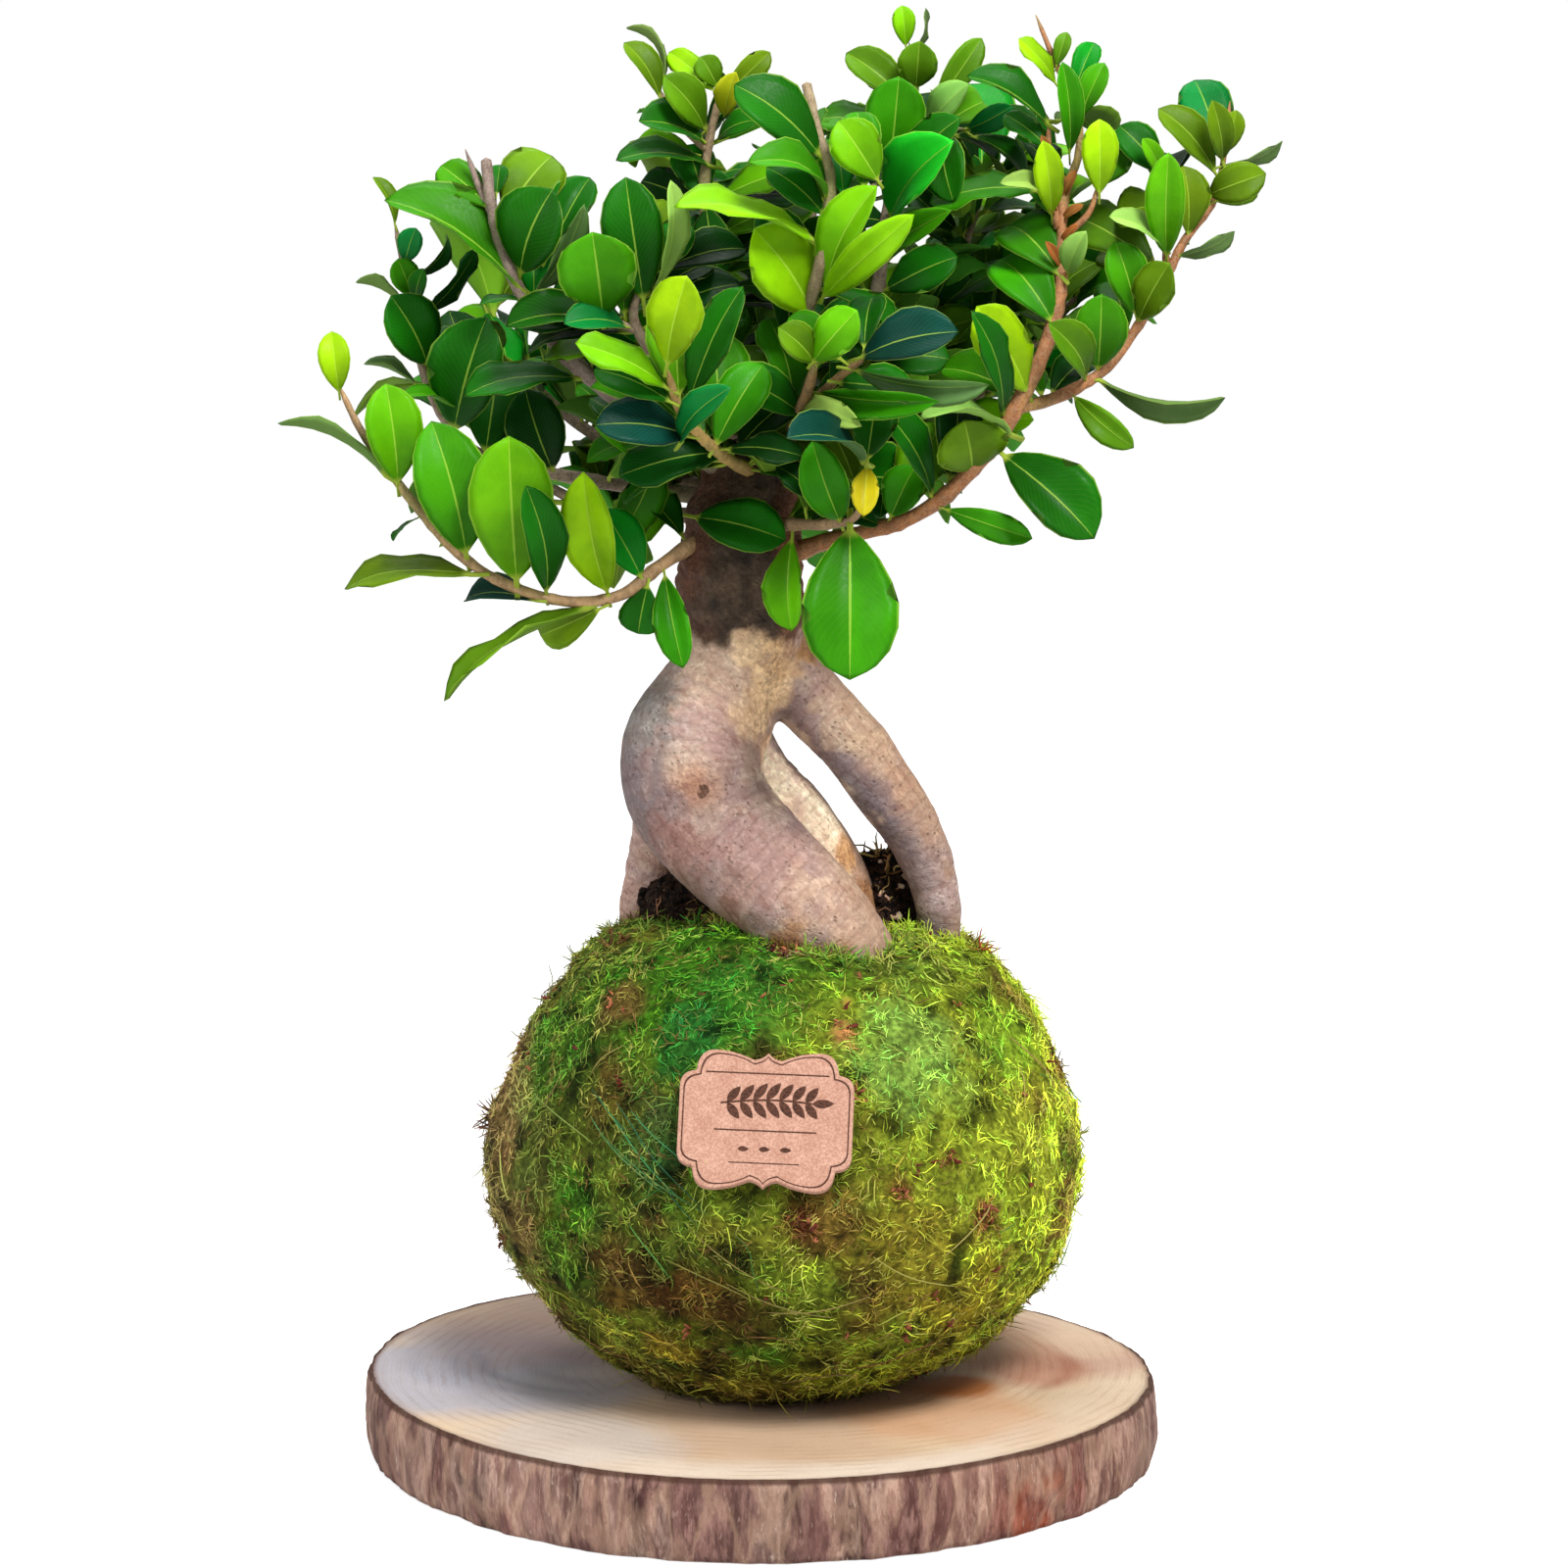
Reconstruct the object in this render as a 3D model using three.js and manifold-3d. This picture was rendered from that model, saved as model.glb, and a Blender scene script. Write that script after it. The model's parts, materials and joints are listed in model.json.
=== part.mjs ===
// Kokedama: a small fig tree with thick aerial roots, planted in a ball of soil and moss that rests on a
// slice of wood. Millimetres, +Z up, front towards -Y, origin at the centre of the slice's underside.
import * as THREE from 'three';
import { mergeVertices } from 'three/addons/utils/BufferGeometryUtils.js';
import Module from 'manifold-3d';

const wasm = await Module();
wasm.setup();

// Gap that pieces keep where one lies on or in another
const GAP = 0.3;
// Edges shorter than this are taken up after a cut or a join
const SLIVER = 0.12;

// Wood slice
const SLICE_RADIUS = 118;
const SLICE_THICKNESS = 24;
const BARK_RELIEF = 1.6;
const BARK_SEGMENTS = 76;

// Moss ball: an upright half height a little under its radius
const BALL_X = 7;
const BALL_Z = 92;
const BALL_RADIUS = 90;
const BALL_HALF_HEIGHT = 74;
const MOSS_THICKNESS = 8;
// The soil ends this far above the slice
const SOIL_CLEARANCE = 5;
const MOSS_LUMP = 2.2;
// The ball is fuller at this height, as a share of its half height, by so many millimetres
const SHOULDER_LEVEL = 0.8;
const SHOULDER_SPREAD = 0.22;
const SHOULDER_RISE = 6;

// Opening in the moss round the roots
const OPENING_X = 12;
const OPENING_Y = 8;
const OPENING_HALF_X = 39;
const OPENING_HALF_Y = 25;

// Soil between the roots
const MOUND_HALF_SIZES = [35, 22, 14];
const MOUND_Z = 154;
const CLUMP_HALF_SIZES = [13, 11, 22];
const CLUMP_CENTRE = [36, 14, 162];

// Cork label
const LABEL_WIDTH = 51;
const LABEL_HEIGHT = 42;
const LABEL_THICKNESS = 3;
const LABEL_NOTCH = 4.5;
const LABEL_CENTRE_X = 1.2;
const LABEL_CENTRE_Z = 121;
const LABEL_LEAN = 27;
const LABEL_TURN = -2.5;
const LABEL_SUNK = 0.6;
// How far out before the label the moss is cleared
const LABEL_CLEARED = 12;

// Leaves
const LEAF_THICKNESS = 1.1;
const LEAF_CLEARANCE = 0.45;
const LEAF_WAVE = 0.05;
const FOOT_SUNK = 2.2;

// The points of the tree are written as they are seen from the front, in the upright plane y = 0, and carried
// to their own depth along the line to an eye at this height and distance.
const EYE_X = 6.4;
const EYE_DISTANCE = 1400;
const EYE_HEIGHT = 402;

const COLOURS = {
  wood: 0xc9ab86,
  soil: 0x3a2a1e,
  moss: 0x5f7a26,
  root: 0xb9a08c,
  cork: 0xe0b396,
  leaf: 0x3f8a1d,
};

// Random numbers that are the same in every run
function seededRandom(seed) {
  let state = seed;
  return () => {
    state = (Math.imul(state, 1664525) + 1013904223) >>> 0;
    return state / 4294967296;
  };
}

function seen(x, z, y) {
  const scale = (EYE_DISTANCE + y) / EYE_DISTANCE;
  return new THREE.Vector3(EYE_X + (x - EYE_X) * scale, y, EYE_HEIGHT - (EYE_HEIGHT - z) * scale);
}

// Solids and meshes

function solid(positions, triangles) {
  const mesh = new wasm.Mesh({
    numProp: 3,
    vertProperties: new Float32Array(positions),
    triVerts: new Uint32Array(triangles),
  });
  return new wasm.Manifold(mesh);
}

function solidFromGeometry(geometry) {
  const bare = geometry.index ? geometry.toNonIndexed() : geometry.clone();
  bare.deleteAttribute('normal');
  bare.deleteAttribute('uv');
  const merged = mergeVertices(bare, 1e-4);
  return solid(merged.getAttribute('position').array, merged.index.array);
}

function namedMesh(name, body, colour, roughness) {
  const { vertProperties, triVerts } = body.getMesh();
  const geometry = new THREE.BufferGeometry();
  geometry.setAttribute('position', new THREE.Float32BufferAttribute(vertProperties, 3));
  geometry.setIndex(Array.from(triVerts));
  geometry.computeVertexNormals();
  const material = new THREE.MeshStandardMaterial({ color: colour, roughness, metalness: 0 });
  const mesh = new THREE.Mesh(geometry, material);
  mesh.name = name;
  return mesh;
}

// The same body with the slivers of its cuts and joins taken up
function tidied(body) {
  return body.asOriginal().simplify(SLIVER);
}

function unite(bodies) {
  return bodies.reduce((sum, body) => sum.add(body));
}

// A body made of rings of points, each joined to the next, with a flat cap at both ends
function ringBody(rings) {
  const positions = [];
  const triangles = [];
  const count = rings[0].length;
  for (const ring of rings) {
    for (const point of ring) positions.push(point.x, point.y, point.z);
  }
  for (let i = 0; i + 1 < rings.length; i += 1) {
    for (let j = 0; j < count; j += 1) {
      const k = (j + 1) % count;
      const a = i * count + j;
      const b = i * count + k;
      triangles.push(a, b, b + count, a, b + count, a + count);
    }
  }
  for (const [first, flip] of [[0, true], [(rings.length - 1) * count, false]]) {
    for (let j = 1; j + 1 < count; j += 1) {
      if (flip) triangles.push(first, first + j + 1, first + j);
      else triangles.push(first, first + j, first + j + 1);
    }
  }
  return solid(positions, triangles);
}

// A tapering tube of the given sides through stations { point, radius }
function tubeBody(stations, sides, lump = () => 1, grow = 0) {
  const points = stations.map((station) => station.point);
  const rings = [];
  let across = new THREE.Vector3(0, 1, 0);
  for (let i = 0; i < points.length; i += 1) {
    const before = points[Math.max(i - 1, 0)];
    const after = points[Math.min(i + 1, points.length - 1)];
    const along = new THREE.Vector3().subVectors(after, before).normalize();
    across = across.clone().addScaledVector(along, -across.dot(along)).normalize();
    const other = new THREE.Vector3().crossVectors(along, across);
    const ring = [];
    for (let j = 0; j < sides; j += 1) {
      const angle = (2 * Math.PI * j) / sides;
      const radius = stations[i].radius * lump(i, angle) + grow;
      ring.push(
        points[i]
          .clone()
          .addScaledVector(across, radius * Math.cos(angle))
          .addScaledVector(other, radius * Math.sin(angle)),
      );
    }
    rings.push(ring);
  }
  return ringBody(rings);
}

// Points as seen from the front, [x, z, y, radius], made into evenly spaced stations on a smooth curve
function smoothStations(route, spacing) {
  const curve = new THREE.CatmullRomCurve3(route.map(([x, z, y]) => seen(x, z, y)));
  const steps = Math.max(2, Math.round(curve.getLength() / spacing));
  const stations = [];
  for (let i = 0; i <= steps; i += 1) {
    const share = curve.getUtoTmapping(i / steps);
    const place = share * (route.length - 1);
    const low = Math.min(Math.floor(place), route.length - 2);
    const radius = THREE.MathUtils.lerp(route[low][3], route[low + 1][3], place - low);
    stations.push({ point: curve.getPoint(share), radius });
  }
  return stations;
}

// Wood slice: a flat sawn disc with furrowed bark round its rim

function woodSlice() {
  // Radius of the rim by angle: not quite round, fullest at the back left
  const rim = (angle) =>
    SLICE_RADIUS -
    2 * Math.cos(angle) + 3.3 * Math.sin(angle) +
    1.7 * Math.cos(2 * angle) - 3.1 * Math.sin(2 * angle) +
    1.4 * Math.cos(3 * angle) + 2 * Math.sin(3 * angle);
  const furrow = (angle, level) => {
    const broad = 0.5 * Math.sin(31 * angle + 0.5 * level) + 0.35 * Math.sin(17 * angle + 1.3);
    return BARK_RELIEF * (broad + 0.25 * Math.cos(43 * angle - level));
  };
  // Each ring: height, inset from the bark's outer face, share of the furrows' depth
  const levels = [
    [0, 1.8, 0.4],
    [2.5, 0, 0.9],
    [12, -0.8, 1],
    [21.5, 0, 0.9],
    [SLICE_THICKNESS, 1, 0.4],
  ];
  const rings = levels.map(([height, inset, share], level) => {
    const ring = [];
    for (let j = 0; j < BARK_SEGMENTS; j += 1) {
      const angle = (2 * Math.PI * j) / BARK_SEGMENTS;
      const radius = rim(angle) - inset + share * furrow(angle, level);
      ring.push(new THREE.Vector3(radius * Math.cos(angle), radius * Math.sin(angle), height));
    }
    return ring;
  });
  return ringBody(rings);
}

// Moss ball

// A closed ball about the ball's centre, of a radius and half height, with lumps raised by a formula
function ballBody(radius, halfHeight, around, upward, lump) {
  const positions = [];
  const triangles = [];
  const put = (polar, angle) => {
    const x = Math.sin(polar) * Math.cos(angle);
    const y = Math.sin(polar) * Math.sin(angle);
    const z = Math.cos(polar);
    const rise = lump(x, y, z);
    positions.push(BALL_X + x * (radius + rise), y * (radius + rise), BALL_Z + z * (halfHeight + rise));
  };
  put(0, 0);
  for (let i = 1; i < upward; i += 1) {
    for (let j = 0; j < around; j += 1) put((Math.PI * i) / upward, (2 * Math.PI * j) / around);
  }
  put(Math.PI, 0);
  const last = 1 + (upward - 1) * around;
  for (let j = 0; j < around; j += 1) {
    const k = (j + 1) % around;
    triangles.push(0, 1 + j, 1 + k);
    for (let i = 0; i < upward - 2; i += 1) {
      const a = 1 + i * around + j;
      const b = 1 + i * around + k;
      triangles.push(a, a + around, b + around, a, b + around, b);
    }
    triangles.push(last, last - around + k, last - around + j);
  }
  return solid(positions, triangles);
}

function mossLump(x, y, z) {
  const broad = Math.sin(5 * x + 2 * y + 1) * Math.cos(4 * z - 3 * y);
  const small = Math.sin(11 * x - 7 * z) * Math.cos(9 * y + 6 * z + 0.8);
  const shoulder = Math.exp(-(((z - SHOULDER_LEVEL) / SHOULDER_SPREAD) ** 2));
  return MOSS_LUMP * (0.65 * broad + 0.35 * small) + SHOULDER_RISE * shoulder;
}

// The packed soil inside the moss
function coreBody(grow) {
  const inset = MOSS_THICKNESS - grow;
  return ballBody(BALL_RADIUS - inset, BALL_HALF_HEIGHT - inset, 22, 11, () => 0);
}

// A tall oval column through the moss round the roots
function openingBody() {
  const rings = [BALL_Z + 20, BALL_Z + 120].map((height) => {
    const ring = [];
    for (let j = 0; j < 20; j += 1) {
      const angle = (2 * Math.PI * j) / 20;
      const wave = 1 + 0.07 * Math.sin(3 * angle) + 0.05 * Math.cos(5 * angle);
      const x = OPENING_X + OPENING_HALF_X * wave * Math.cos(angle);
      const y = OPENING_Y + OPENING_HALF_Y * wave * Math.sin(angle);
      ring.push(new THREE.Vector3(x, y, height));
    }
    return ring;
  });
  return ringBody(rings);
}

// Everything above a height, as a block that a piece is kept inside of
function blockAbove(height) {
  const block = new THREE.BoxGeometry(400, 400, 400);
  block.translate(0, 0, height + 200);
  return solidFromGeometry(block);
}

// The soil's top, raised to a low mound between the roots with a clump behind the front root
function soilMound() {
  const low = new THREE.SphereGeometry(1, 16, 8);
  low.rotateX(Math.PI / 2);
  low.scale(...MOUND_HALF_SIZES);
  low.translate(OPENING_X, OPENING_Y, MOUND_Z);
  const clump = new THREE.SphereGeometry(1, 10, 6);
  clump.rotateX(Math.PI / 2);
  clump.scale(...CLUMP_HALF_SIZES);
  clump.translate(...CLUMP_CENTRE);
  return solidFromGeometry(low).add(solidFromGeometry(clump));
}

// Cork label with stepped, rounded corners and a low point in the middle of its long sides

function labelShape(grow) {
  const half = LABEL_WIDTH / 2 + grow;
  const high = LABEL_HEIGHT / 2 + grow;
  const notch = LABEL_NOTCH;
  const shape = new THREE.Shape();
  shape.moveTo(-half, -high + 2.4 * notch);
  shape.quadraticCurveTo(-half, -high + 1.5 * notch, -half + notch, -high + 1.4 * notch);
  shape.quadraticCurveTo(-half + 1.1 * notch, -high, -half + 2.2 * notch, -high);
  shape.quadraticCurveTo(-half + 3.4 * notch, -high + 0.1, -4, -high + 0.6 * notch);
  shape.quadraticCurveTo(-1.2, -high + 0.5 * notch, 0, -high + 0.1 * notch);
  shape.quadraticCurveTo(1.2, -high + 0.5 * notch, 4, -high + 0.6 * notch);
  shape.quadraticCurveTo(half - 3.4 * notch, -high + 0.1, half - 2.2 * notch, -high);
  shape.quadraticCurveTo(half - 1.1 * notch, -high, half - notch, -high + 1.4 * notch);
  shape.quadraticCurveTo(half, -high + 1.5 * notch, half, -high + 2.4 * notch);
  shape.lineTo(half, high - 2.4 * notch);
  shape.quadraticCurveTo(half, high - 1.5 * notch, half - notch, high - 1.4 * notch);
  shape.quadraticCurveTo(half - 1.1 * notch, high, half - 2.2 * notch, high);
  shape.quadraticCurveTo(half - 3.4 * notch, high - 0.1, 4, high - 0.6 * notch);
  shape.quadraticCurveTo(1.2, high - 0.5 * notch, 0, high - 0.1 * notch);
  shape.quadraticCurveTo(-1.2, high - 0.5 * notch, -4, high - 0.6 * notch);
  shape.quadraticCurveTo(-half + 3.4 * notch, high - 0.1, -half + 2.2 * notch, high);
  shape.quadraticCurveTo(-half + 1.1 * notch, high, -half + notch, high - 1.4 * notch);
  shape.quadraticCurveTo(-half, high - 1.5 * notch, -half, high - 2.4 * notch);
  return shape;
}

// The label's plate, leaning back against the ball; deepen moves its front face out
function labelBody(grow, deepen) {
  const geometry = new THREE.ExtrudeGeometry(labelShape(grow), {
    depth: LABEL_THICKNESS + grow + deepen,
    bevelEnabled: false,
    curveSegments: 3,
  });
  geometry.translate(0, 0, -LABEL_THICKNESS - grow);
  geometry.rotateZ(THREE.MathUtils.degToRad(LABEL_TURN));
  geometry.rotateX(THREE.MathUtils.degToRad(90 - LABEL_LEAN));
  const level = (LABEL_CENTRE_Z - BALL_Z) / BALL_HALF_HEIGHT;
  const front = -BALL_RADIUS * Math.sqrt(1 - level * level) + LABEL_SUNK - LABEL_THICKNESS;
  geometry.translate(LABEL_CENTRE_X, front, LABEL_CENTRE_Z);
  return solidFromGeometry(geometry);
}

// Trunk: the neck and four thick roots. Each route's points are [x, z, y, radius] as seen from the front.

const TRUNK_ROUTES = {
  front: [
    [0, 312, 4, 10],
    [-3, 292, 2, 15],
    [-6, 268, 0, 18.5],
    [-4.5, 251, -1, 17.5],
    [-8.5, 240, -2, 16.5],
    [-14, 230, -4, 19.5],
    [-19, 221, -6, 21.8],
    [-20.5, 212, -8, 21.7],
    [-17, 198, -12, 20.5],
    [-5, 183, -18, 18.5],
    [8, 172, -23, 17],
    [20, 162, -26, 15],
    [31, 147, -26, 12],
    [38, 130, -24, 7],
  ],
  behind: [
    [-8, 236, 6, 13],
    [-4, 214, 10, 12.5],
    [1, 200, 12, 12.5],
    [9, 189, 13, 12.5],
    [17, 176, 13, 11.5],
    [27, 162, 12, 10],
    [35, 146, 12, 8],
    [39, 130, 12, 4.5],
  ],
  right: [
    [-2, 250, 2, 12],
    [8, 237, 1, 11],
    [16, 228.5, 0, 10.5],
    [26, 218, -1, 10.3],
    [36, 205, -1, 10],
    [44, 192.5, -1, 9.3],
    [49.5, 180, 0, 8],
    [52.5, 169, 0, 7],
    [53.5, 156, 1, 6.3],
    [54, 140, 2, 5],
    [53, 128, 2, 3.2],
  ],
  left: [
    [-13, 223, 9, 13],
    [-23, 206, 15, 13],
    [-29.5, 190, 20, 9],
    [-33.5, 177, 24, 8],
    [-36, 165, 26, 7.5],
    [-39, 148, 27, 6],
    [-41, 132, 27, 3.5],
  ],
};

// The roots are a little oval and ribbed, as shares of their radius
const ROOT_OVAL = 0.03;
const ROOT_RIB = 0.02;
const TRUNK_SHAPES = {
  front: { sides: 14, spacing: 12, turn: 1 },
  behind: { sides: 9, spacing: 15, turn: 2 },
  right: { sides: 10, spacing: 14, turn: 3 },
  left: { sides: 9, spacing: 15, turn: 4 },
};

const trunkRoots = Object.entries(TRUNK_ROUTES).map(([name, route]) => {
  const { sides, spacing, turn } = TRUNK_SHAPES[name];
  return { stations: smoothStations(route, spacing), sides, turn };
});

function trunkBody(grow) {
  const bodies = trunkRoots.map(({ stations, sides, turn }) => {
    const lump = (i, angle) => {
      const oval = ROOT_OVAL * Math.sin(2 * angle + 0.9 * i + turn);
      return 1 + oval + ROOT_RIB * Math.cos(3 * angle - 1.7 * i);
    };
    return tubeBody(stations, sides, lump, grow);
  });
  return unite(bodies);
}

function isInTrunk(point) {
  return trunkRoots.some(({ stations }) =>
    stations.some((station, i) => {
      const next = stations[Math.min(i + 1, stations.length - 1)];
      const piece = new THREE.Line3(station.point, next.point);
      const near = piece.closestPointToPoint(point, true, new THREE.Vector3());
      return near.distanceTo(point) < station.radius * (1 + ROOT_OVAL + ROOT_RIB) + 1;
    }),
  );
}

// Branches. A stem's points are [x, z, y, radius] as seen from the front. A leaf is
// [base x, base z, tip x, tip z, how far its tip lies behind its base, width, roll in degrees], also as seen
// from the front; roll 0 shows its face and 90 its edge. Its foot is carried to the nearest stem.

const BRANCHES = {
  left_low: {
    stems: [
      [
        [-10, 282, -2, 2.6], [-26, 274, -14, 2.3], [-43, 261.5, -26, 1.9], [-58, 260, -31, 1.7],
        [-73, 264, -34, 1.7], [-87, 271.5, -35, 1.7], [-99, 284, -34, 1.6], [-112, 301, -31, 1.4],
        [-124, 320, -28, 1.1], [-125, 324, -28, 0.9],
      ],
    ],
    leaves: [
      [-108, 295, -111, 324, -6, 17, 10],
      [-88, 274, -97, 312, -10, 22, 5],
      [-73, 266, -75, 307.5, -16, 25, 0],
      [-64.5, 263, -69, 293, -24, 14, 25],
      [-46, 263, -53, 297.5, -20, 16, -20],
      [-36, 267, -47, 287, -2, 14, 0],
      [-86, 268, -124, 267, 4, 16, 35],
      [-67, 260, -88, 261, 12, 12, 20],
      [-51, 258.5, -96, 235, -14, 10, 45],
      [-48, 258, -66, 250, 8, 12, -30],
      [-34, 265, -37, 250.5, 2, 13, 0],
      [-29, 268, -24, 241, -12, 11, 10],
      [-111, 297, -142, 314, 0, 10, 82],
      [-102, 285, -110, 279, -6, 6, 60],
      [-125, 322, -127, 339.5, -2, 9.5, 0],
      [-20, 285, 6, 279, -14, 17, 5],
    ],
  },
  left_high: {
    stems: [
      [
        [-5, 296, 0, 3.6], [-25, 307, -10, 3.2], [-42, 320, -18, 3], [-55, 330, -22, 2.7],
        [-66, 343, -26, 2.4], [-74, 357, -28, 2.1], [-79, 374, -30, 1.9], [-81, 390, -30, 1.7],
      ],
      [[-78, 371, -29, 1.3], [-83, 382, -28, 1.1], [-87, 393, -27, 0.8]],
    ],
    leaves: [
      [-71, 352, -109, 379.5, -6, 24, 35],
      [-80, 376, -94, 388, 10, 12, 0],
      [-70, 349, -83, 349, -4, 6, 40],
      [-76, 374, -62, 392, 8, 20, 0],
      [-71, 357, -62, 381, -12, 23, -10],
      [-63, 362, -51, 385, 6, 13, 0],
      [-67, 351, -52, 374, -22, 8, 65],
      [-78, 380, -77, 389, 4, 6, 0],
      [-54, 326, -87, 324, -14, 17, 30],
    ],
  },
  left_middle: {
    stems: [
      [
        [-8, 290, 6, 3], [-38, 294, 6, 2.4], [-62, 298, 2, 2.1], [-82, 303, -4, 1.8], [-92, 311, -6, 1.6],
        [-99, 325, -8, 1.5], [-103, 342, -8, 1.3], [-105, 356, -8, 1.1], [-108, 372, -8, 0.9],
      ],
    ],
    leaves: [
      [-99, 330, -109, 350, -10, 18, 10],
      [-103, 350, -107, 361, -4, 9, 0],
      [-102, 324, -117, 331, -2, 7, 45],
      [-105, 347, -119, 355, 4, 7, 82],
      [-108, 371, -114, 385, 0, 6, 40],
      [-105, 360, -102, 370, -4, 8, 0],
      [-102, 349, -100, 358, -8, 6, 0],
      [-103, 356, -92, 368, 6, 6, 70],
      [-101, 344, -85, 364, 12, 8, 65],
      [-91, 311, -82, 343, -14, 23, 0],
      [-90, 315, -105, 322, -18, 8, 40],
      [-82, 304, -78, 330, 8, 20, 10],
      [-62, 299, -70, 322, -8, 18, -15],
    ],
  },
  centre_left: {
    stems: [
      [
        [-2, 298, -4, 2.6], [-11, 303, -34, 2], [-20, 311, -58, 1.6], [-26, 320, -71, 1.4],
        [-28, 329, -77, 1.1],
      ],
    ],
    leaves: [
      [-28, 330, -22, 356, -12, 17, -10],
      [-28, 323, -55, 336, -10, 13, 20],
      [-27, 319, -49, 329, -2, 13, 10],
      [-22, 318, -8, 352, -12, 13, -10],
      [-24, 307, -11, 323, -30, 10, 15],
      [-22, 309, -48, 313, -18, 16, 0],
      [-11, 304, -42, 297, -10, 16, 10],
      [-14, 306, 0, 330, 4, 15, 0],
    ],
  },
  upper_left: {
    stems: [
      [
        [-4, 306, -2, 2.6], [-20, 320, -18, 2.2], [-33, 334, -33, 1.9], [-38, 346, -42, 1.5],
        [-33, 358, -45, 1.1],
      ],
      [[-36, 340, -38, 1.5], [-47, 344, -43, 1.1]],
    ],
    leaves: [
      [-47, 344, -50, 369, -16, 23, 0],
      [-35, 349, -40, 384, -10, 18, -5],
      [-32, 352, -26, 383, -14, 9, 55],
      [-40, 341, -58, 342.5, -14, 11, 10],
      [-33, 357, -22, 372, 2, 12, 0],
    ],
  },
  top_left: {
    stems: [
      [
        [-2, 308, 6, 3], [-10, 334, 4, 2.4], [-15, 360, 2, 2], [-17, 384, 2, 1.7], [-15, 398, 2, 1.4],
        [-12, 410, 2, 1],
      ],
      [[-16, 393, 2, 1.3], [-28, 405, 2, 1], [-31, 412, 2, 0.8]],
    ],
    leaves: [
      [-15, 388, -42, 391, -14, 12, 30],
      [-17, 395, -35, 402, -16, 15, 15],
      [-20, 392, -36, 397, 2, 8, 0],
      [-17, 399, -28, 414, -8, 13, 0],
      [-30, 408, -40, 424, 0, 10, 25],
      [-29, 413, -38, 429, 4, 7, 80],
      [-14, 410, -27, 421, 6, 9, 0],
      [-13, 411, -18, 420, -2, 9, 0],
      [-11, 403, -8, 415, -10, 8, 0],
      [-11, 409, 2, 421, -2, 8, 25],
      [-13, 396, -2, 402, -14, 9, 0],
      [-17, 378, -22, 394, 12, 14, 0],
    ],
  },
  top_centre: {
    stems: [
      [
        [1, 310, 0, 3], [7, 330, -18, 2.6], [13, 346, -36, 2.3], [18, 364, -48, 2], [20, 386, -48, 1.7],
        [16, 399, -44, 1.6], [13, 412, -40, 1.6],
      ],
      [[18, 376, -48, 1.3], [28, 380, -50, 1.1], [35, 384, -50, 0.9]],
    ],
    leaves: [
      [17, 391, -7, 412, -8, 19, 10],
      [19, 379, -2, 391, -20, 13, 25],
      [18, 374, 2, 388, -4, 13, 10],
      [16, 366, -23, 380, -18, 17, 40],
      [15, 345, 0, 369, -18, 23, 0],
      [34, 384, 23, 401, -4, 15, -10],
      [19, 352, 33, 382, -14, 15, -20],
      [18, 350, 43, 373, -24, 11, 30],
      [30, 381, 28, 404, 10, 12, 0],
      [24, 379, 22, 394, 14, 10, 0],
    ],
  },
  top_right: {
    stems: [
      [
        [6, 308, 6, 3.4], [20, 322, 0, 2.8], [32, 340, -6, 2.4], [35, 362, -10, 2], [38, 382, -10, 1.7],
        [43, 402, -6, 1.4], [45, 418, -4, 1], [43, 424, -4, 0.8],
      ],
      [[41, 394, -8, 1.3], [52, 400, -8, 1], [60, 399, -8, 0.8]],
    ],
    leaves: [
      [37, 385, 40, 414, -10, 18, 5],
      [39, 380, 55, 402, -16, 15, -10],
      [38, 373, 54, 395, -30, 20, 0],
      [36, 363, 54, 375, -26, 9, 30],
      [42, 423, 41, 434.5, -2, 7, 0],
      [45, 421, 47.5, 434, 4, 5, 75],
      [45, 411, 46, 424, -8, 12, 0],
      [50, 405, 64, 425, -2, 9, 20],
      [60, 399, 73, 405.5, -6, 8, 40],
      [49, 399, 60, 412, -12, 10, 0],
      [44, 405, 25, 421, 2, 12, 0],
      [36, 352, 56, 362, -10, 14, 10],
      [37, 372, 20, 372, 14, 14, 0],
    ],
  },
  centre_right: {
    stems: [
      [[6, 304, -2, 2.6], [11, 316, -34, 2], [15, 328, -58, 1.5], [16, 333, -66, 1]],
      [[10, 314, -29, 1.7], [22, 326, -53, 1.4], [30, 332, -64, 1]],
    ],
    leaves: [
      [15, 331, 28, 346, -10, 13, 10],
      [15, 331, 5, 341, -8, 11, 0],
      [29, 332, 57, 340, -14, 16, 0],
      [27, 329, 66, 324, -12, 9, 55],
      [17, 322, 50, 319, -24, 9, 45],
      [11, 317, 26, 314, -34, 9, 25],
      [12, 315, -10, 327, -14, 14, 0],
      [22, 325, 44, 322, 2, 14, 10],
    ],
  },
  low_front: {
    stems: [
      [[0, 283, -4, 2.4], [11, 283, -28, 2], [20, 283, -44, 1.6], [27, 284, -52, 1.2], [31, 300, -55, 0.9]],
    ],
    leaves: [
      [26, 282, 26, 238, -16, 28, 0],
      [23, 284, 15, 306, -12, 14, -20],
      [31, 300, 30, 286, -10, 8, 0],
      [9, 279, 8, 252, -8, 13, 25],
      [30, 301, 8, 309, -10, 15, 25],
      [31, 302, 34, 322, 6, 15, 0],
    ],
  },
  right: {
    stems: [
      [
        [6, 273, -2, 3.4], [22, 279, -10, 2.6], [38, 282.5, -18, 2.4], [51, 289, -24, 2.5],
        [63, 300.5, -28, 2.7], [73, 314, -30, 2.8], [81, 330, -29, 2.6], [87, 346, -27, 2.3],
        [88, 364, -24, 1.9], [89, 382, -21, 1.5], [94, 398, -18, 1.2], [88, 413, -16, 1], [80, 432, -14, 0.7],
      ],
      [[87, 370, -23, 1.3], [84, 388, -24, 1.1], [84, 402, -24, 0.8]],
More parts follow.
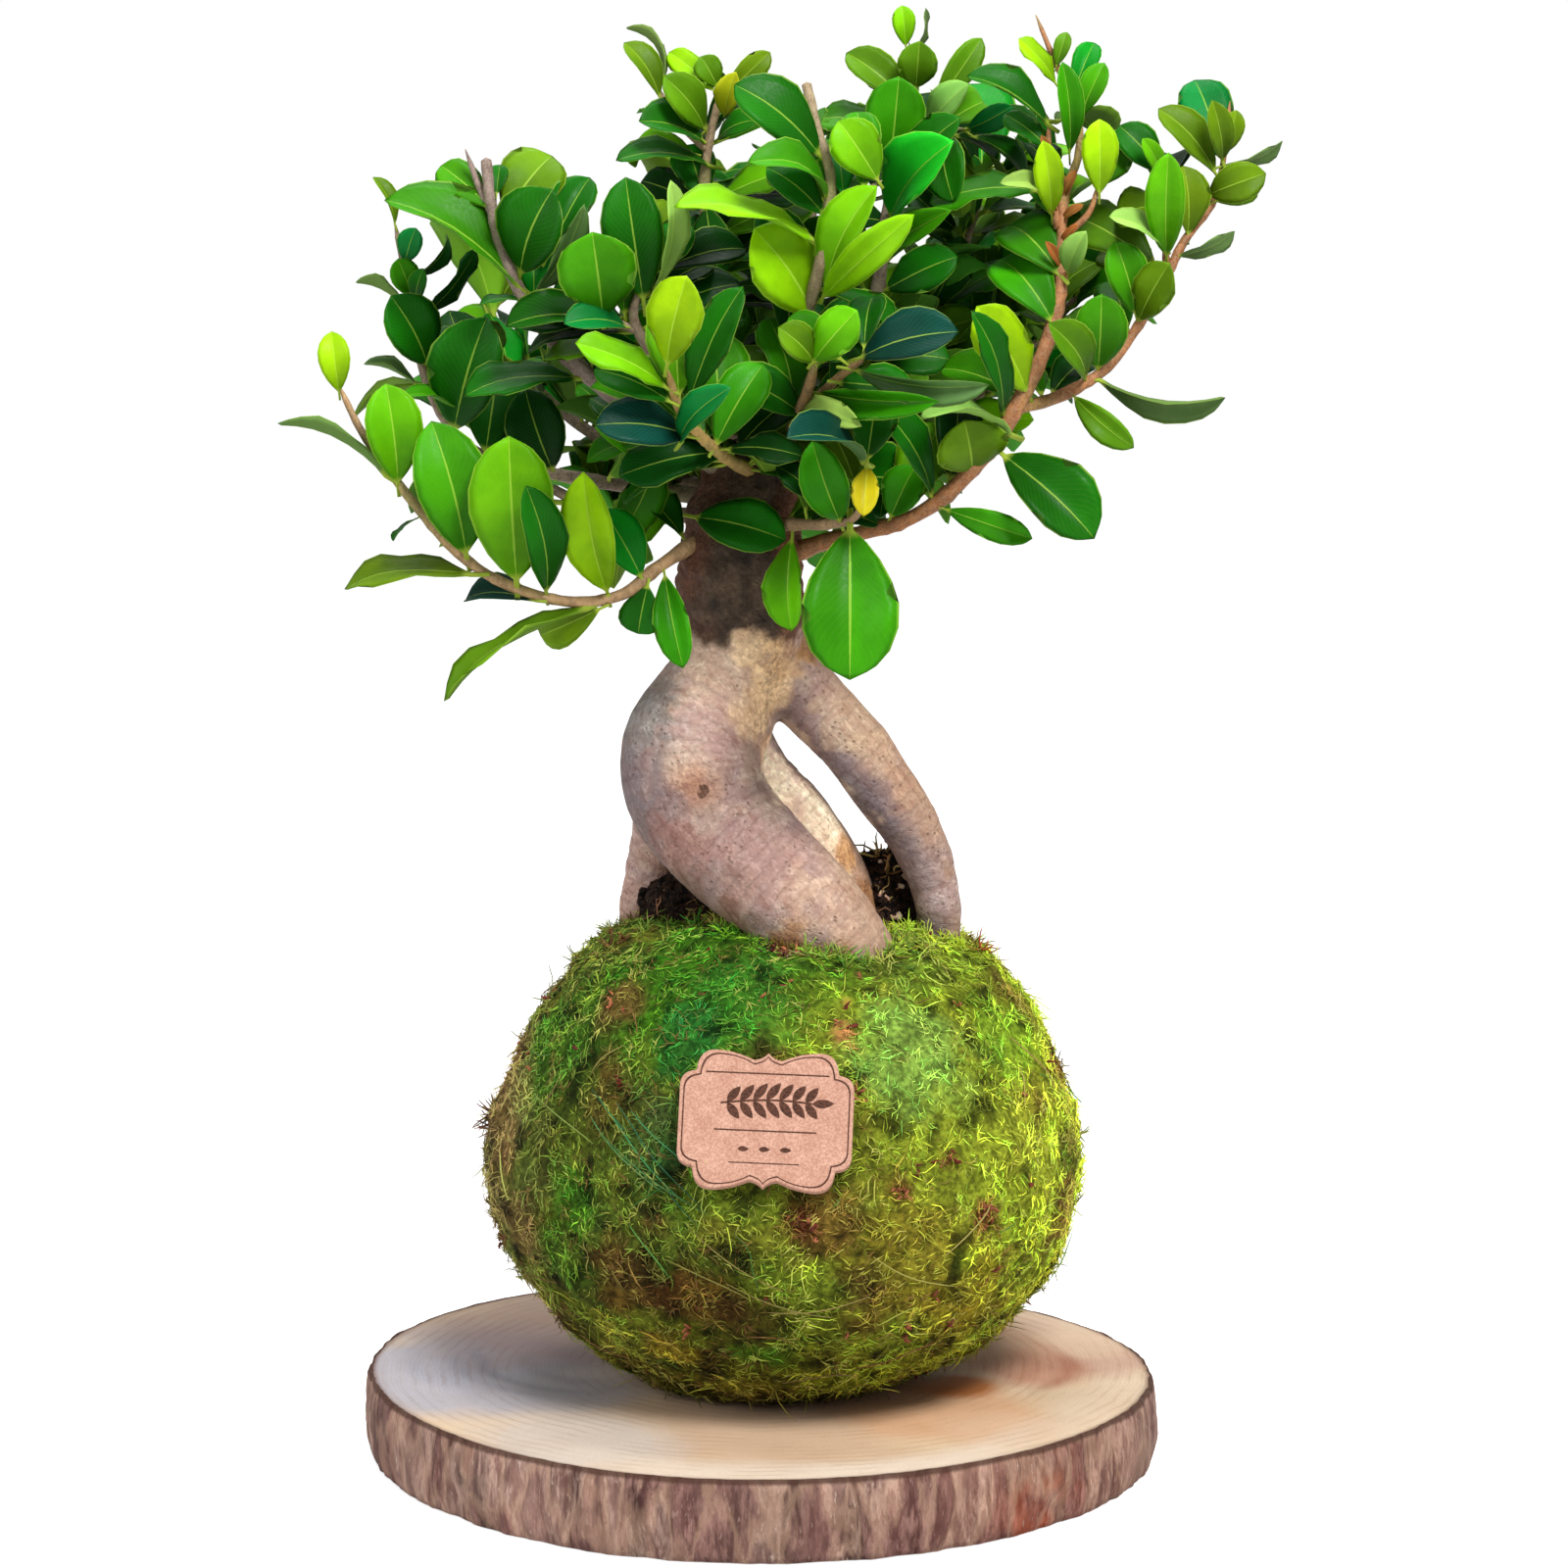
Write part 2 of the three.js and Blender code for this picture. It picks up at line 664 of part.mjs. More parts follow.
      [[89, 368, -24, 1.2], [95, 373, -25, 1], [99, 384, -25, 0.8]],
      [
        [75, 317, -29.5, 2], [88, 321, -25, 1.9], [99, 327, -22, 1.8], [109, 339, -20, 1.7],
        [117, 352, -18, 1.6], [125, 368, -15, 1.4], [132, 377, -12, 1.2], [135, 388, -10, 1],
        [137, 407, -8, 0.8],
      ],
      [[119, 357, -17, 1.1], [118, 374, -18, 0.9], [117, 386, -18, 0.8]],
    ],
    leaves: [
      [71, 303.5, 98, 280, -14, 21, 0],
      [54, 287.5, 79, 279, -8, 9, 25],
      [62, 299, 60, 313, -12, 22, 0],
      [74, 309, 48, 316, -28, 10, 40],
      [50, 291, 33, 320, -20, 13, 20],
      [38, 285, 45, 300, -4, 13, 0],
      [78, 322, 63, 347, -16, 17, 0],
      [71, 315, 65, 344, -26, 11, 25],
      [84, 400, 61, 415, -4, 14, 30],
      [84, 393, 71, 403, 4, 9, 15],
      [83, 380, 71, 384, -12, 6, 0],
      [90, 357, 95, 369, -12, 8, 0],
      [85, 374, 83, 394, -14, 9, 0],
      [90, 392, 88, 418, -8, 8, 10],
      [93, 402, 100, 418, -2, 8, 0],
      [91, 409, 97, 424, 6, 8, 0],
      [86, 417, 89, 427, 0, 5, 0],
      [86, 412, 75, 425, -2, 8, 20],
      [99, 380, 99, 401, -6, 11, 0],
      [86, 342, 70, 362, 14, 18, 0],
      [88, 356, 72, 372, 16, 18, 0],
      [92, 321, 109, 306, -8, 9, 30],
      [99, 326, 136, 320, -6, 10, 78],
      [99, 329, 100, 350, -12, 16, 0],
      [95, 326, 85, 342, -14, 13, 0],
      [111, 343, 120, 360, -14, 13, 0],
      [122, 362, 139, 368, -2, 7, 70],
      [110, 345, 104, 366, -4, 13, 0],
      [118, 364, 103, 374, -14, 9, 20],
      [119, 362, 119, 391, -16, 12, -15],
      [118, 377, 104, 374, 6, 13, 0],
      [117, 386, 105, 400, 0, 12, 0],
      [133, 386, 117, 405, -4, 13, 15],
      [131, 380, 147, 386, -8, 12, 25],
      [133, 378, 146, 383, 4, 8, 40],
      [135, 390, 127, 414, 4, 16, 0],
      [135, 390, 132, 407, -10, 8, 0],
      [136, 392, 139, 404, -4, 7, 10],
      [134, 388, 153, 394, 2, 7, 80],
      [125, 368, 124, 388, -2, 12, 20],
      [117, 385, 112, 396, -8, 6, 0],
    ],
  },
};

// Branches that the front view hides: one stem each, [x, y, z, radius] in the part's own frame. Their leaves
// follow a rule: one every few millimetres, each turned on round the stem from the last, sizes by the seed.

const HIDDEN_BRANCHES = {
  back_left: {
    seed: 116,
    route: [[-8, 6, 290, 3], [-38, 28, 300, 2.4], [-66, 48, 318, 1.9], [-86, 62, 346, 1.2]],
  },
  back: {
    seed: 101,
    route: [[-2, 10, 300, 3], [-8, 44, 314, 2.4], [-16, 74, 338, 1.8], [-20, 86, 368, 1.2]],
  },
  back_right: {
    seed: 100,
    route: [[8, 8, 292, 3], [38, 38, 300, 2.4], [64, 60, 324, 1.9], [78, 68, 354, 1.2]],
  },
  back_top: {
    seed: 100,
    route: [[2, 8, 312, 2.8], [8, 30, 338, 2.3], [14, 46, 364, 1.7], [16, 54, 382, 1.1]],
  },
  back_low: {
    seed: 100,
    route: [[2, 8, 284, 2.8], [8, 46, 282, 2.2], [14, 78, 292, 1.7], [16, 94, 314, 1.1]],
  },
  side_right: {
    seed: 118,
    route: [[12, 2, 290, 2.8], [44, 24, 304, 2.2], [74, 36, 326, 1.8], [96, 36, 350, 1.1]],
  },
  side_left: {
    seed: 109,
    route: [[-14, 4, 286, 2.8], [-46, 26, 284, 2.2], [-74, 34, 298, 1.7], [-90, 30, 318, 1.1]],
  },
  side_high: {
    seed: 100,
    route: [[9, 7, 299, 2.4], [34, 22, 322, 2.1], [58, 28, 358, 1.6], [68, 26, 390, 1.1]],
  },
};
const HIDDEN_LEAF_STEP = 9;
const HIDDEN_LEAF_TURN = 137.5;
const HIDDEN_LEAF_LENGTHS = [26, 42];
// Their width, as a share of their length
const WIDE = 0.56;

// Leaf blades by length: how far along the blade each row is, and its share of the full width there

const BLADES = [
  { from: 28, rows: [[0.15, 0.36], [0.4, 0.86], [0.68, 1], [0.92, 0.62]] },
  { from: 15, rows: [[0.25, 0.62], [0.6, 1], [0.9, 0.66]] },
  { from: 0, rows: [[0.4, 0.92], [0.82, 0.76]] },
];

// The points of a leaf: a foot sunk in the stem, rows across the blade and a tip. Its two faces meet in a
// sharp edge and are split into triangles alike. The blade is listed apart from the wedge at the stem.
function leafMesh(leaf, grow) {
  const along = new THREE.Vector3().subVectors(leaf.tip, leaf.base);
  const length = along.length();
  along.normalize();
  const up = leaf.face.clone().addScaledVector(along, -leaf.face.dot(along)).normalize();
  const side = new THREE.Vector3().crossVectors(along, up);
  const thick = LEAF_THICKNESS / 2 + grow;
  const positions = [];
  const put = (point) => positions.push(point.x, point.y, point.z) / 3 - 1;
  const foot = put(leaf.foot);
  const rows = BLADES.find(({ from }) => length >= from).rows.map(([share, wide], i) => {
    const rise = leaf.arch * length * 4 * share * (1 - share);
    const middle = leaf.base.clone().addScaledVector(along, share * length).addScaledVector(up, rise);
    const half = (wide * leaf.width) / 2 + grow;
    const wave = LEAF_WAVE * leaf.width * Math.sin(2.4 * i + leaf.phase);
    const lift = leaf.cup * half;
    return [
      put(middle.clone().addScaledVector(side, -half).addScaledVector(up, lift + wave)),
      put(middle.clone().addScaledVector(up, thick)),
      put(middle.clone().addScaledVector(side, half).addScaledVector(up, lift - wave)),
      put(middle.clone().addScaledVector(up, -thick)),
    ];
  });
  const tip = put(leaf.tip.clone().addScaledVector(along, grow));
  const wedge = [];
  const blade = [];
  for (let j = 0; j < 4; j += 1) {
    const k = (j + 1) % 4;
    wedge.push([foot, rows[0][k], rows[0][j]]);
    for (let i = 0; i + 1 < rows.length; i += 1) {
      const [a, b] = [rows[i][j], rows[i][k]];
      const [c, d] = [rows[i + 1][j], rows[i + 1][k]];
      const pair = j % 2 === 0 ? [[a, b, d], [a, d, c]] : [[a, b, c], [b, d, c]];
      (i === 0 && rows.length > 3 ? wedge : blade).push(...pair);
    }
    const last = rows[rows.length - 1];
    blade.push([last[j], last[k], tip]);
  }
  return { positions, triangles: [...wedge, ...blade], blade };
}

// Crossing test between two meshes: an edge of either that passes through a triangle of the other

function soup(positions, triangles) {
  const corner = (i) => [positions[3 * i], positions[3 * i + 1], positions[3 * i + 2]];
  const faces = triangles.map((triangle) => triangle.map(corner));
  const low = [0, 1, 2].map((axis) => Math.min(...faces.flat().map((point) => point[axis])));
  const high = [0, 1, 2].map((axis) => Math.max(...faces.flat().map((point) => point[axis])));
  return { faces, low, high };
}

function boxesMeet(a, b) {
  return [0, 1, 2].every((axis) => a.low[axis] <= b.high[axis] && b.low[axis] <= a.high[axis]);
}

const minus = (a, b) => [a[0] - b[0], a[1] - b[1], a[2] - b[2]];
const cross = (a, b) => [a[1] * b[2] - a[2] * b[1], a[2] * b[0] - a[0] * b[2], a[0] * b[1] - a[1] * b[0]];
const dot = (a, b) => a[0] * b[0] + a[1] * b[1] + a[2] * b[2];

function edgePierces(start, end, [a, b, c]) {
  const ray = minus(end, start);
  const first = minus(b, a);
  const second = minus(c, a);
  const normal = cross(ray, second);
  const scale = dot(first, normal);
  if (Math.abs(scale) < 1e-9) return false;
  const offset = minus(start, a);
  const u = dot(offset, normal) / scale;
  if (u < 0 || u > 1) return false;
  const turned = cross(offset, first);
  const v = dot(ray, turned) / scale;
  if (v < 0 || u + v > 1) return false;
  const t = dot(second, turned) / scale;
  return t >= 0 && t <= 1;
}

function pierces(a, b) {
  return a.faces.some((face) =>
    b.faces.some((other) => [0, 1, 2].some((i) => edgePierces(face[i], face[(i + 1) % 3], other))),
  );
}

function soupsCross(a, b) {
  return boxesMeet(a, b) && (pierces(a, b) || pierces(b, a));
}

// Growing the crown: every leaf is bent clear of the stems and leaves that stand before it

const crown = { stems: [], leaves: [] };
const limbs = {};

function addObstacles(name, stations, sides) {
  for (let i = 0; i + 1 < stations.length; i += 1) {
    const body = tubeBody(stations.slice(i, i + 2), sides, () => 1, LEAF_CLEARANCE).getMesh();
    const triangles = [];
    for (let j = 0; j < body.triVerts.length; j += 3) {
      triangles.push(Array.from(body.triVerts.slice(j, j + 3)));
    }
    crown.stems.push({ name, soup: soup(body.vertProperties, triangles) });
  }
}

function addStems(name, routes) {
  limbs[name] = { stations: routes, leaves: [] };
  for (const stations of routes) addObstacles(name, stations, 5);
}

// The stem point, clear of the trunk, that is seen nearest to a place in the front view
function nearestSeen(name, x, z) {
  let best = null;
  for (const stations of limbs[name].stations) {
    for (let i = 0; i + 1 < stations.length; i += 1) {
      for (let k = 0; k <= 4; k += 1) {
        const spot = stations[i].point.clone().lerp(stations[i + 1].point, k / 4);
        const far = seen(x, z, spot.y).distanceTo(spot);
        if ((!best || far < best.far) && !isInTrunk(spot)) best = { spot, far, i, stations };
      }
    }
  }
  return best;
}

// A foot that lies a little back from a stem's end, on the far side of its axis from where the leaf goes
function sunkFoot(spot, stations, towards) {
  const [before, end] = stations.slice(-2);
  const back = Math.max(0, FOOT_SUNK - end.point.distanceTo(spot));
  const inward = new THREE.Vector3().subVectors(before.point, end.point).normalize();
  const out = new THREE.Vector3().subVectors(towards, spot).normalize();
  const across = out.addScaledVector(inward, -out.dot(inward));
  return spot.clone().addScaledVector(inward, back).addScaledVector(across, -0.5 * end.radius);
}

function isClear(name, leaf) {
  const grown = leafMesh(leaf, LEAF_CLEARANCE);
  const whole = soup(grown.positions, grown.triangles);
  const blade = soup(grown.positions, grown.blade);
  if (crown.stems.some((stem) => stem.name !== name && soupsCross(whole, stem.soup))) return false;
  return !crown.leaves.some((other) =>
    other.name === name ? soupsCross(blade, other.blade) : soupsCross(whole, other.whole),
  );
}

function placeLeaf(name, choices) {
  const leaf = choices.find((choice) => isClear(name, choice));
  if (!leaf) return;
  const { positions, triangles, blade } = leafMesh(leaf, 0);
  crown.leaves.push({ name, whole: soup(positions, triangles), blade: soup(positions, blade) });
  limbs[name].leaves.push(solid(positions, triangles.flat()));
}

// The tip of a leaf is tried at these depths until the leaf is clear; its face looks up and to the front
const DEPTH_TRIALS = [0, -6, 6, -12, 12, -18, 18, -25, 25, -32, 32];
const FACING = new THREE.Vector3(0, -0.88, 0.47);
const SEEN_ARCH = 0.1;
const HIDDEN_ARCH = 0.12;
const LEAF_CUP = 0.16;

function placeSeenLeaves(name, leaves) {
  leaves.forEach(([baseX, baseZ, tipX, tipZ, behind, width, roll], index) => {
    const { spot, stations } = nearestSeen(name, baseX, baseZ);
    const base = seen(baseX, baseZ, spot.y - 1);
    const foot = sunkFoot(spot, stations, seen(tipX, tipZ, base.y + behind));
    const choices = DEPTH_TRIALS.map((trial) => {
      const tip = seen(tipX, tipZ, base.y + behind + trial);
      const along = new THREE.Vector3().subVectors(tip, base).normalize();
      const facing = FACING.clone().addScaledVector(along, -FACING.dot(along)).normalize();
      const face = facing.applyAxisAngle(along, THREE.MathUtils.degToRad(roll));
      return { foot, base, tip, face, width, arch: SEEN_ARCH, cup: LEAF_CUP, phase: index };
    });
    placeLeaf(name, choices);
  });
}

function placeRuledLeaves(name, seed) {
  const random = seededRandom(seed);
  const [stations] = limbs[name].stations;
  const curve = new THREE.CatmullRomCurve3(stations.map((station) => station.point));
  const length = curve.getLength();
  let turn = random() * 360;
  for (let at = 16; at <= length; at += HIDDEN_LEAF_STEP) {
    const share = Math.min(at / length, 1);
    const spot = curve.getPointAt(share);
    if (isInTrunk(spot)) continue;
    const stem = curve.getTangentAt(share);
    const size = THREE.MathUtils.lerp(...HIDDEN_LEAF_LENGTHS, random());
    const spread = 48 + 22 * random();
    const across = new THREE.Vector3(0, 0, 1).cross(stem).normalize();
    const choices = [];
    for (const shrink of [1, 0.8, 0.62]) {
      for (const swing of [0, 25, -25, 50, -50, 80, -80]) {
        const out = across.clone().applyAxisAngle(stem, THREE.MathUtils.degToRad(turn + swing));
        const lean = THREE.MathUtils.degToRad(spread);
        const along = stem.clone().multiplyScalar(Math.cos(lean)).addScaledVector(out, Math.sin(lean));
        along.z += 0.18;
        along.normalize();
        const base = spot.clone().addScaledVector(along, 3);
        const tip = spot.clone().addScaledVector(along, 3 + size * shrink);
        const foot = sunkFoot(spot, stations, tip);
        const face = stem.clone().multiplyScalar(0.5).add(new THREE.Vector3(0, 0, 1));
        const width = WIDE * size * shrink;
        choices.push({ foot, base, tip, face, width, arch: HIDDEN_ARCH, cup: LEAF_CUP, phase: at });
      }
    }
    placeLeaf(name, choices);
    turn += HIDDEN_LEAF_TURN;
  }
}

const STEM_SPACING = 14;
for (const { stations, sides } of trunkRoots) addObstacles('trunk', stations, sides);
for (const [name, { stems }] of Object.entries(BRANCHES)) {
  addStems(name, stems.map((route) => smoothStations(route, STEM_SPACING)));
}
for (const [name, { route }] of Object.entries(HIDDEN_BRANCHES)) {
  const curve = new THREE.CatmullRomCurve3(route.map(([x, y, z]) => new THREE.Vector3(x, y, z)));
  const steps = Math.round(curve.getLength() / STEM_SPACING);
  const stations = curve.getSpacedPoints(steps).map((point, i) => {
    const radius = THREE.MathUtils.lerp(route[0][3], route[route.length - 1][3], i / steps);
    return { point, radius };
  });
  addStems(name, [stations]);
}
for (const [name, { leaves }] of Object.entries(BRANCHES)) placeSeenLeaves(name, leaves);
for (const [name, { seed }] of Object.entries(HIDDEN_BRANCHES)) placeRuledLeaves(name, seed);

function branchBody(name, trunkGrown) {
  const stems = limbs[name].stations.map((stations) => tubeBody(stations, 5));
  return tidied(unite([...stems, ...limbs[name].leaves]).subtract(trunkGrown));
}

// The whole object

const trunk = tidied(trunkBody(0));
const trunkGrown = trunkBody(GAP);
const aboveSlice = blockAbove(SLICE_THICKNESS + GAP);

const coreGrown = coreBody(GAP);
const soilBottom = SLICE_THICKNESS + SOIL_CLEARANCE;
const soil = tidied(coreBody(0).add(soilMound()).intersect(blockAbove(soilBottom)).subtract(trunkGrown));

const moss = tidied(
  ballBody(BALL_RADIUS, BALL_HALF_HEIGHT, 34, 18, mossLump)
    .intersect(aboveSlice)
    .subtract(coreGrown.intersect(blockAbove(soilBottom - GAP)))
    .subtract(openingBody())
    .subtract(trunkGrown)
    .subtract(labelBody(GAP, LABEL_CLEARED)),
);

const object = new THREE.Group();
object.add(namedMesh('wood_slice', woodSlice(), COLOURS.wood, 0.75));
object.add(namedMesh('soil_ball', soil, COLOURS.soil, 1));
object.add(namedMesh('moss_cover', moss, COLOURS.moss, 0.95));
object.add(namedMesh('trunk', trunk, COLOURS.root, 0.8));
object.add(namedMesh('label_plaque', labelBody(0, 0), COLOURS.cork, 0.85));
for (const name of Object.keys(limbs)) {
  object.add(namedMesh(`leafy_branch_${name}`, branchBody(name, trunkGrown), COLOURS.leaf, 0.4));
}

export default object;
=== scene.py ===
"""A kokedama: a small fig tree in a ball of moss on a slice of wood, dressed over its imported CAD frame.

The points of the tree are written as they are seen from the front, in millimetres, and are carried to their
own depth along the line to the eye. Every mesh is made in millimetres and stored in metres.
"""

import json
import math
import random

import bmesh
import bpy
import numpy as np
from mathutils import Matrix, Vector
from mathutils.bvhtree import BVHTree
from mathutils.kdtree import KDTree

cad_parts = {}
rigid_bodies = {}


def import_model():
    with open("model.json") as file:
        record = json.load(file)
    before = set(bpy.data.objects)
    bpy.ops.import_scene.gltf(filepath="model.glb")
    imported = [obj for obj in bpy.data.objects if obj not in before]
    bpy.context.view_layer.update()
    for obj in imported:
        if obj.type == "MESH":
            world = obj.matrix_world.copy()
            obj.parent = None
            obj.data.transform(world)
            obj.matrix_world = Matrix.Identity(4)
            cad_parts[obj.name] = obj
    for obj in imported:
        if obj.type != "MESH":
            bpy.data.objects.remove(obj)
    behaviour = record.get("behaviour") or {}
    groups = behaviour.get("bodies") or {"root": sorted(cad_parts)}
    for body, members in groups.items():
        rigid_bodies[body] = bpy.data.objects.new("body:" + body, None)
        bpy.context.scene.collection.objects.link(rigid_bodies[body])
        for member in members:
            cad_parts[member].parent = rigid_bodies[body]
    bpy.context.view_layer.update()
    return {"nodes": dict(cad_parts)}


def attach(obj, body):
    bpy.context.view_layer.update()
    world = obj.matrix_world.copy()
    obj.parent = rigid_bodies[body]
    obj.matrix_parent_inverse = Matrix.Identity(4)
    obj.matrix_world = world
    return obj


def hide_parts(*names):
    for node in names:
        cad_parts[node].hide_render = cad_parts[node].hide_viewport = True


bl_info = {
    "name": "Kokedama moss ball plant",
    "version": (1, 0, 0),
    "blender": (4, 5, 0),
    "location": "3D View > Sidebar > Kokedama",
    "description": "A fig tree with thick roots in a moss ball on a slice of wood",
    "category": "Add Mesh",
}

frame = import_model()

MM = 0.001

# The eye that the front view is seen from, and the camera that stands there
EYE_X = 6.4
EYE_DISTANCE = 1400
EYE_HEIGHT = 402
EYE = Vector((EYE_X, -EYE_DISTANCE, EYE_HEIGHT))
CAMERA_PITCH = 8
CAMERA_LENS = 108.63
CAMERA_SENSOR = 36

# Moss ball
BALL_X = 7
BALL_Z = 92
BALL_RADIUS = 90
BALL_HALF_HEIGHT = 74

# Wood slice
SLICE_RADIUS = 118
SLICE_THICKNESS = 24
# Its pith, and the width of a broad and of a fine growth ring, in metres
PITH = (0.006, 0.012, 0)
RING_WIDTH = 0.0042
FINE_RING_WIDTH = 0.0013

# Cork label
LABEL_WIDTH = 51
LABEL_HEIGHT = 42
LABEL_THICKNESS = 3
LABEL_NOTCH = 4.5
LABEL_CENTRE_X = 1.2
LABEL_CENTRE_Z = 121
LABEL_LEAN = 27
LABEL_TURN = -2.5
LABEL_SUNK = 0.6
# How deep the print reaches into the cork, and how far it stands out
LABEL_PRINT = (-0.3, 0.09)

# Leaf colours as the photograph shows them, in display values
# painted light and shade: lime and bright stand partly for light through the leaves, dark and deep partly for
# shade inside the crown
LEAF_TINTS = {
    "lime": (0.54, 0.76, 0.02),
    "bright": (0.40, 0.68, 0.02),
    "mid": (0.22, 0.54, 0.02),
    "dark": (0.08, 0.38, 0.03),
    "deep": (0.03, 0.25, 0.04),
    "teal": (0.03, 0.48, 0.20),
    "blue": (0.03, 0.24, 0.20),
    "olive": (0.36, 0.52, 0.05),
    "grey": (0.34, 0.46, 0.24),
    "pale": (0.56, 0.74, 0.34),
    "emerald": (0.03, 0.55, 0.10),
    "vivid": (0.10, 0.74, 0.14),
    "yellow": (0.66, 0.66, 0.08),
    "dry": (0.62, 0.36, 0.18),
}

# Routes of the trunk's roots, [x, z, y, radius] as seen from the front
TRUNK_ROUTES = {
    "front": [
        [0, 312, 4, 10], [-3, 292, 2, 15], [-6, 268, 0, 18.5], [-4.5, 251, -1, 17.5], [-8.5, 240, -2, 16.5],
        [-14, 230, -4, 19.5], [-19, 221, -6, 21.8], [-20.5, 212, -8, 21.7], [-17, 198, -12, 20.5],
        [-5, 183, -18, 18.5], [8, 172, -23, 17], [20, 162, -26, 15], [31, 147, -26, 12], [38, 130, -24, 7],
    ],
    "behind": [
        [-10, 236, 4, 12], [-7, 215, 6, 11.5], [0, 201, 6, 13.4], [10, 189.5, 6, 14.6], [18.5, 176.5, 7, 13],
        [27.5, 162, 9, 10.6], [35, 146, 12, 8], [39, 130, 12, 4.5],
    ],
    "right": [
        [-2, 250, 2, 12], [8, 237, 1, 11], [16, 228.5, 0, 10.5], [26, 218, -1, 10.3], [36, 205, -1, 10],
        [44, 192.5, -1, 9.3], [49.5, 180, 0, 8], [52.5, 169, 0, 7], [53.5, 156, 1, 6.3], [54, 140, 2, 5],
        [53, 128, 2, 3.2],
    ],
    "left": [
        [-13, 223, 9, 13], [-23, 206, 15, 13], [-29.5, 190, 20, 9], [-33.5, 177, 24, 8], [-36, 165, 26, 7.5],
        [-39, 148, 27, 6], [-41, 132, 27, 3.5],
    ],
}
# Stations of the frame, and the finer rings of the scene
TRUNK_SPACINGS = {"front": 12, "behind": 15, "right": 14, "left": 15}
TRUNK_ROUGHNESS = 0.05
TRUNK_STEP = 4
TRUNK_SIDES = 28
TRUNK_VOXEL = 1.25
# Stems: stations of the frame, and the finer rings of the scene
STEM_SPACING = 14
STEM_STEP = 2.2
STEM_SIDES = 8

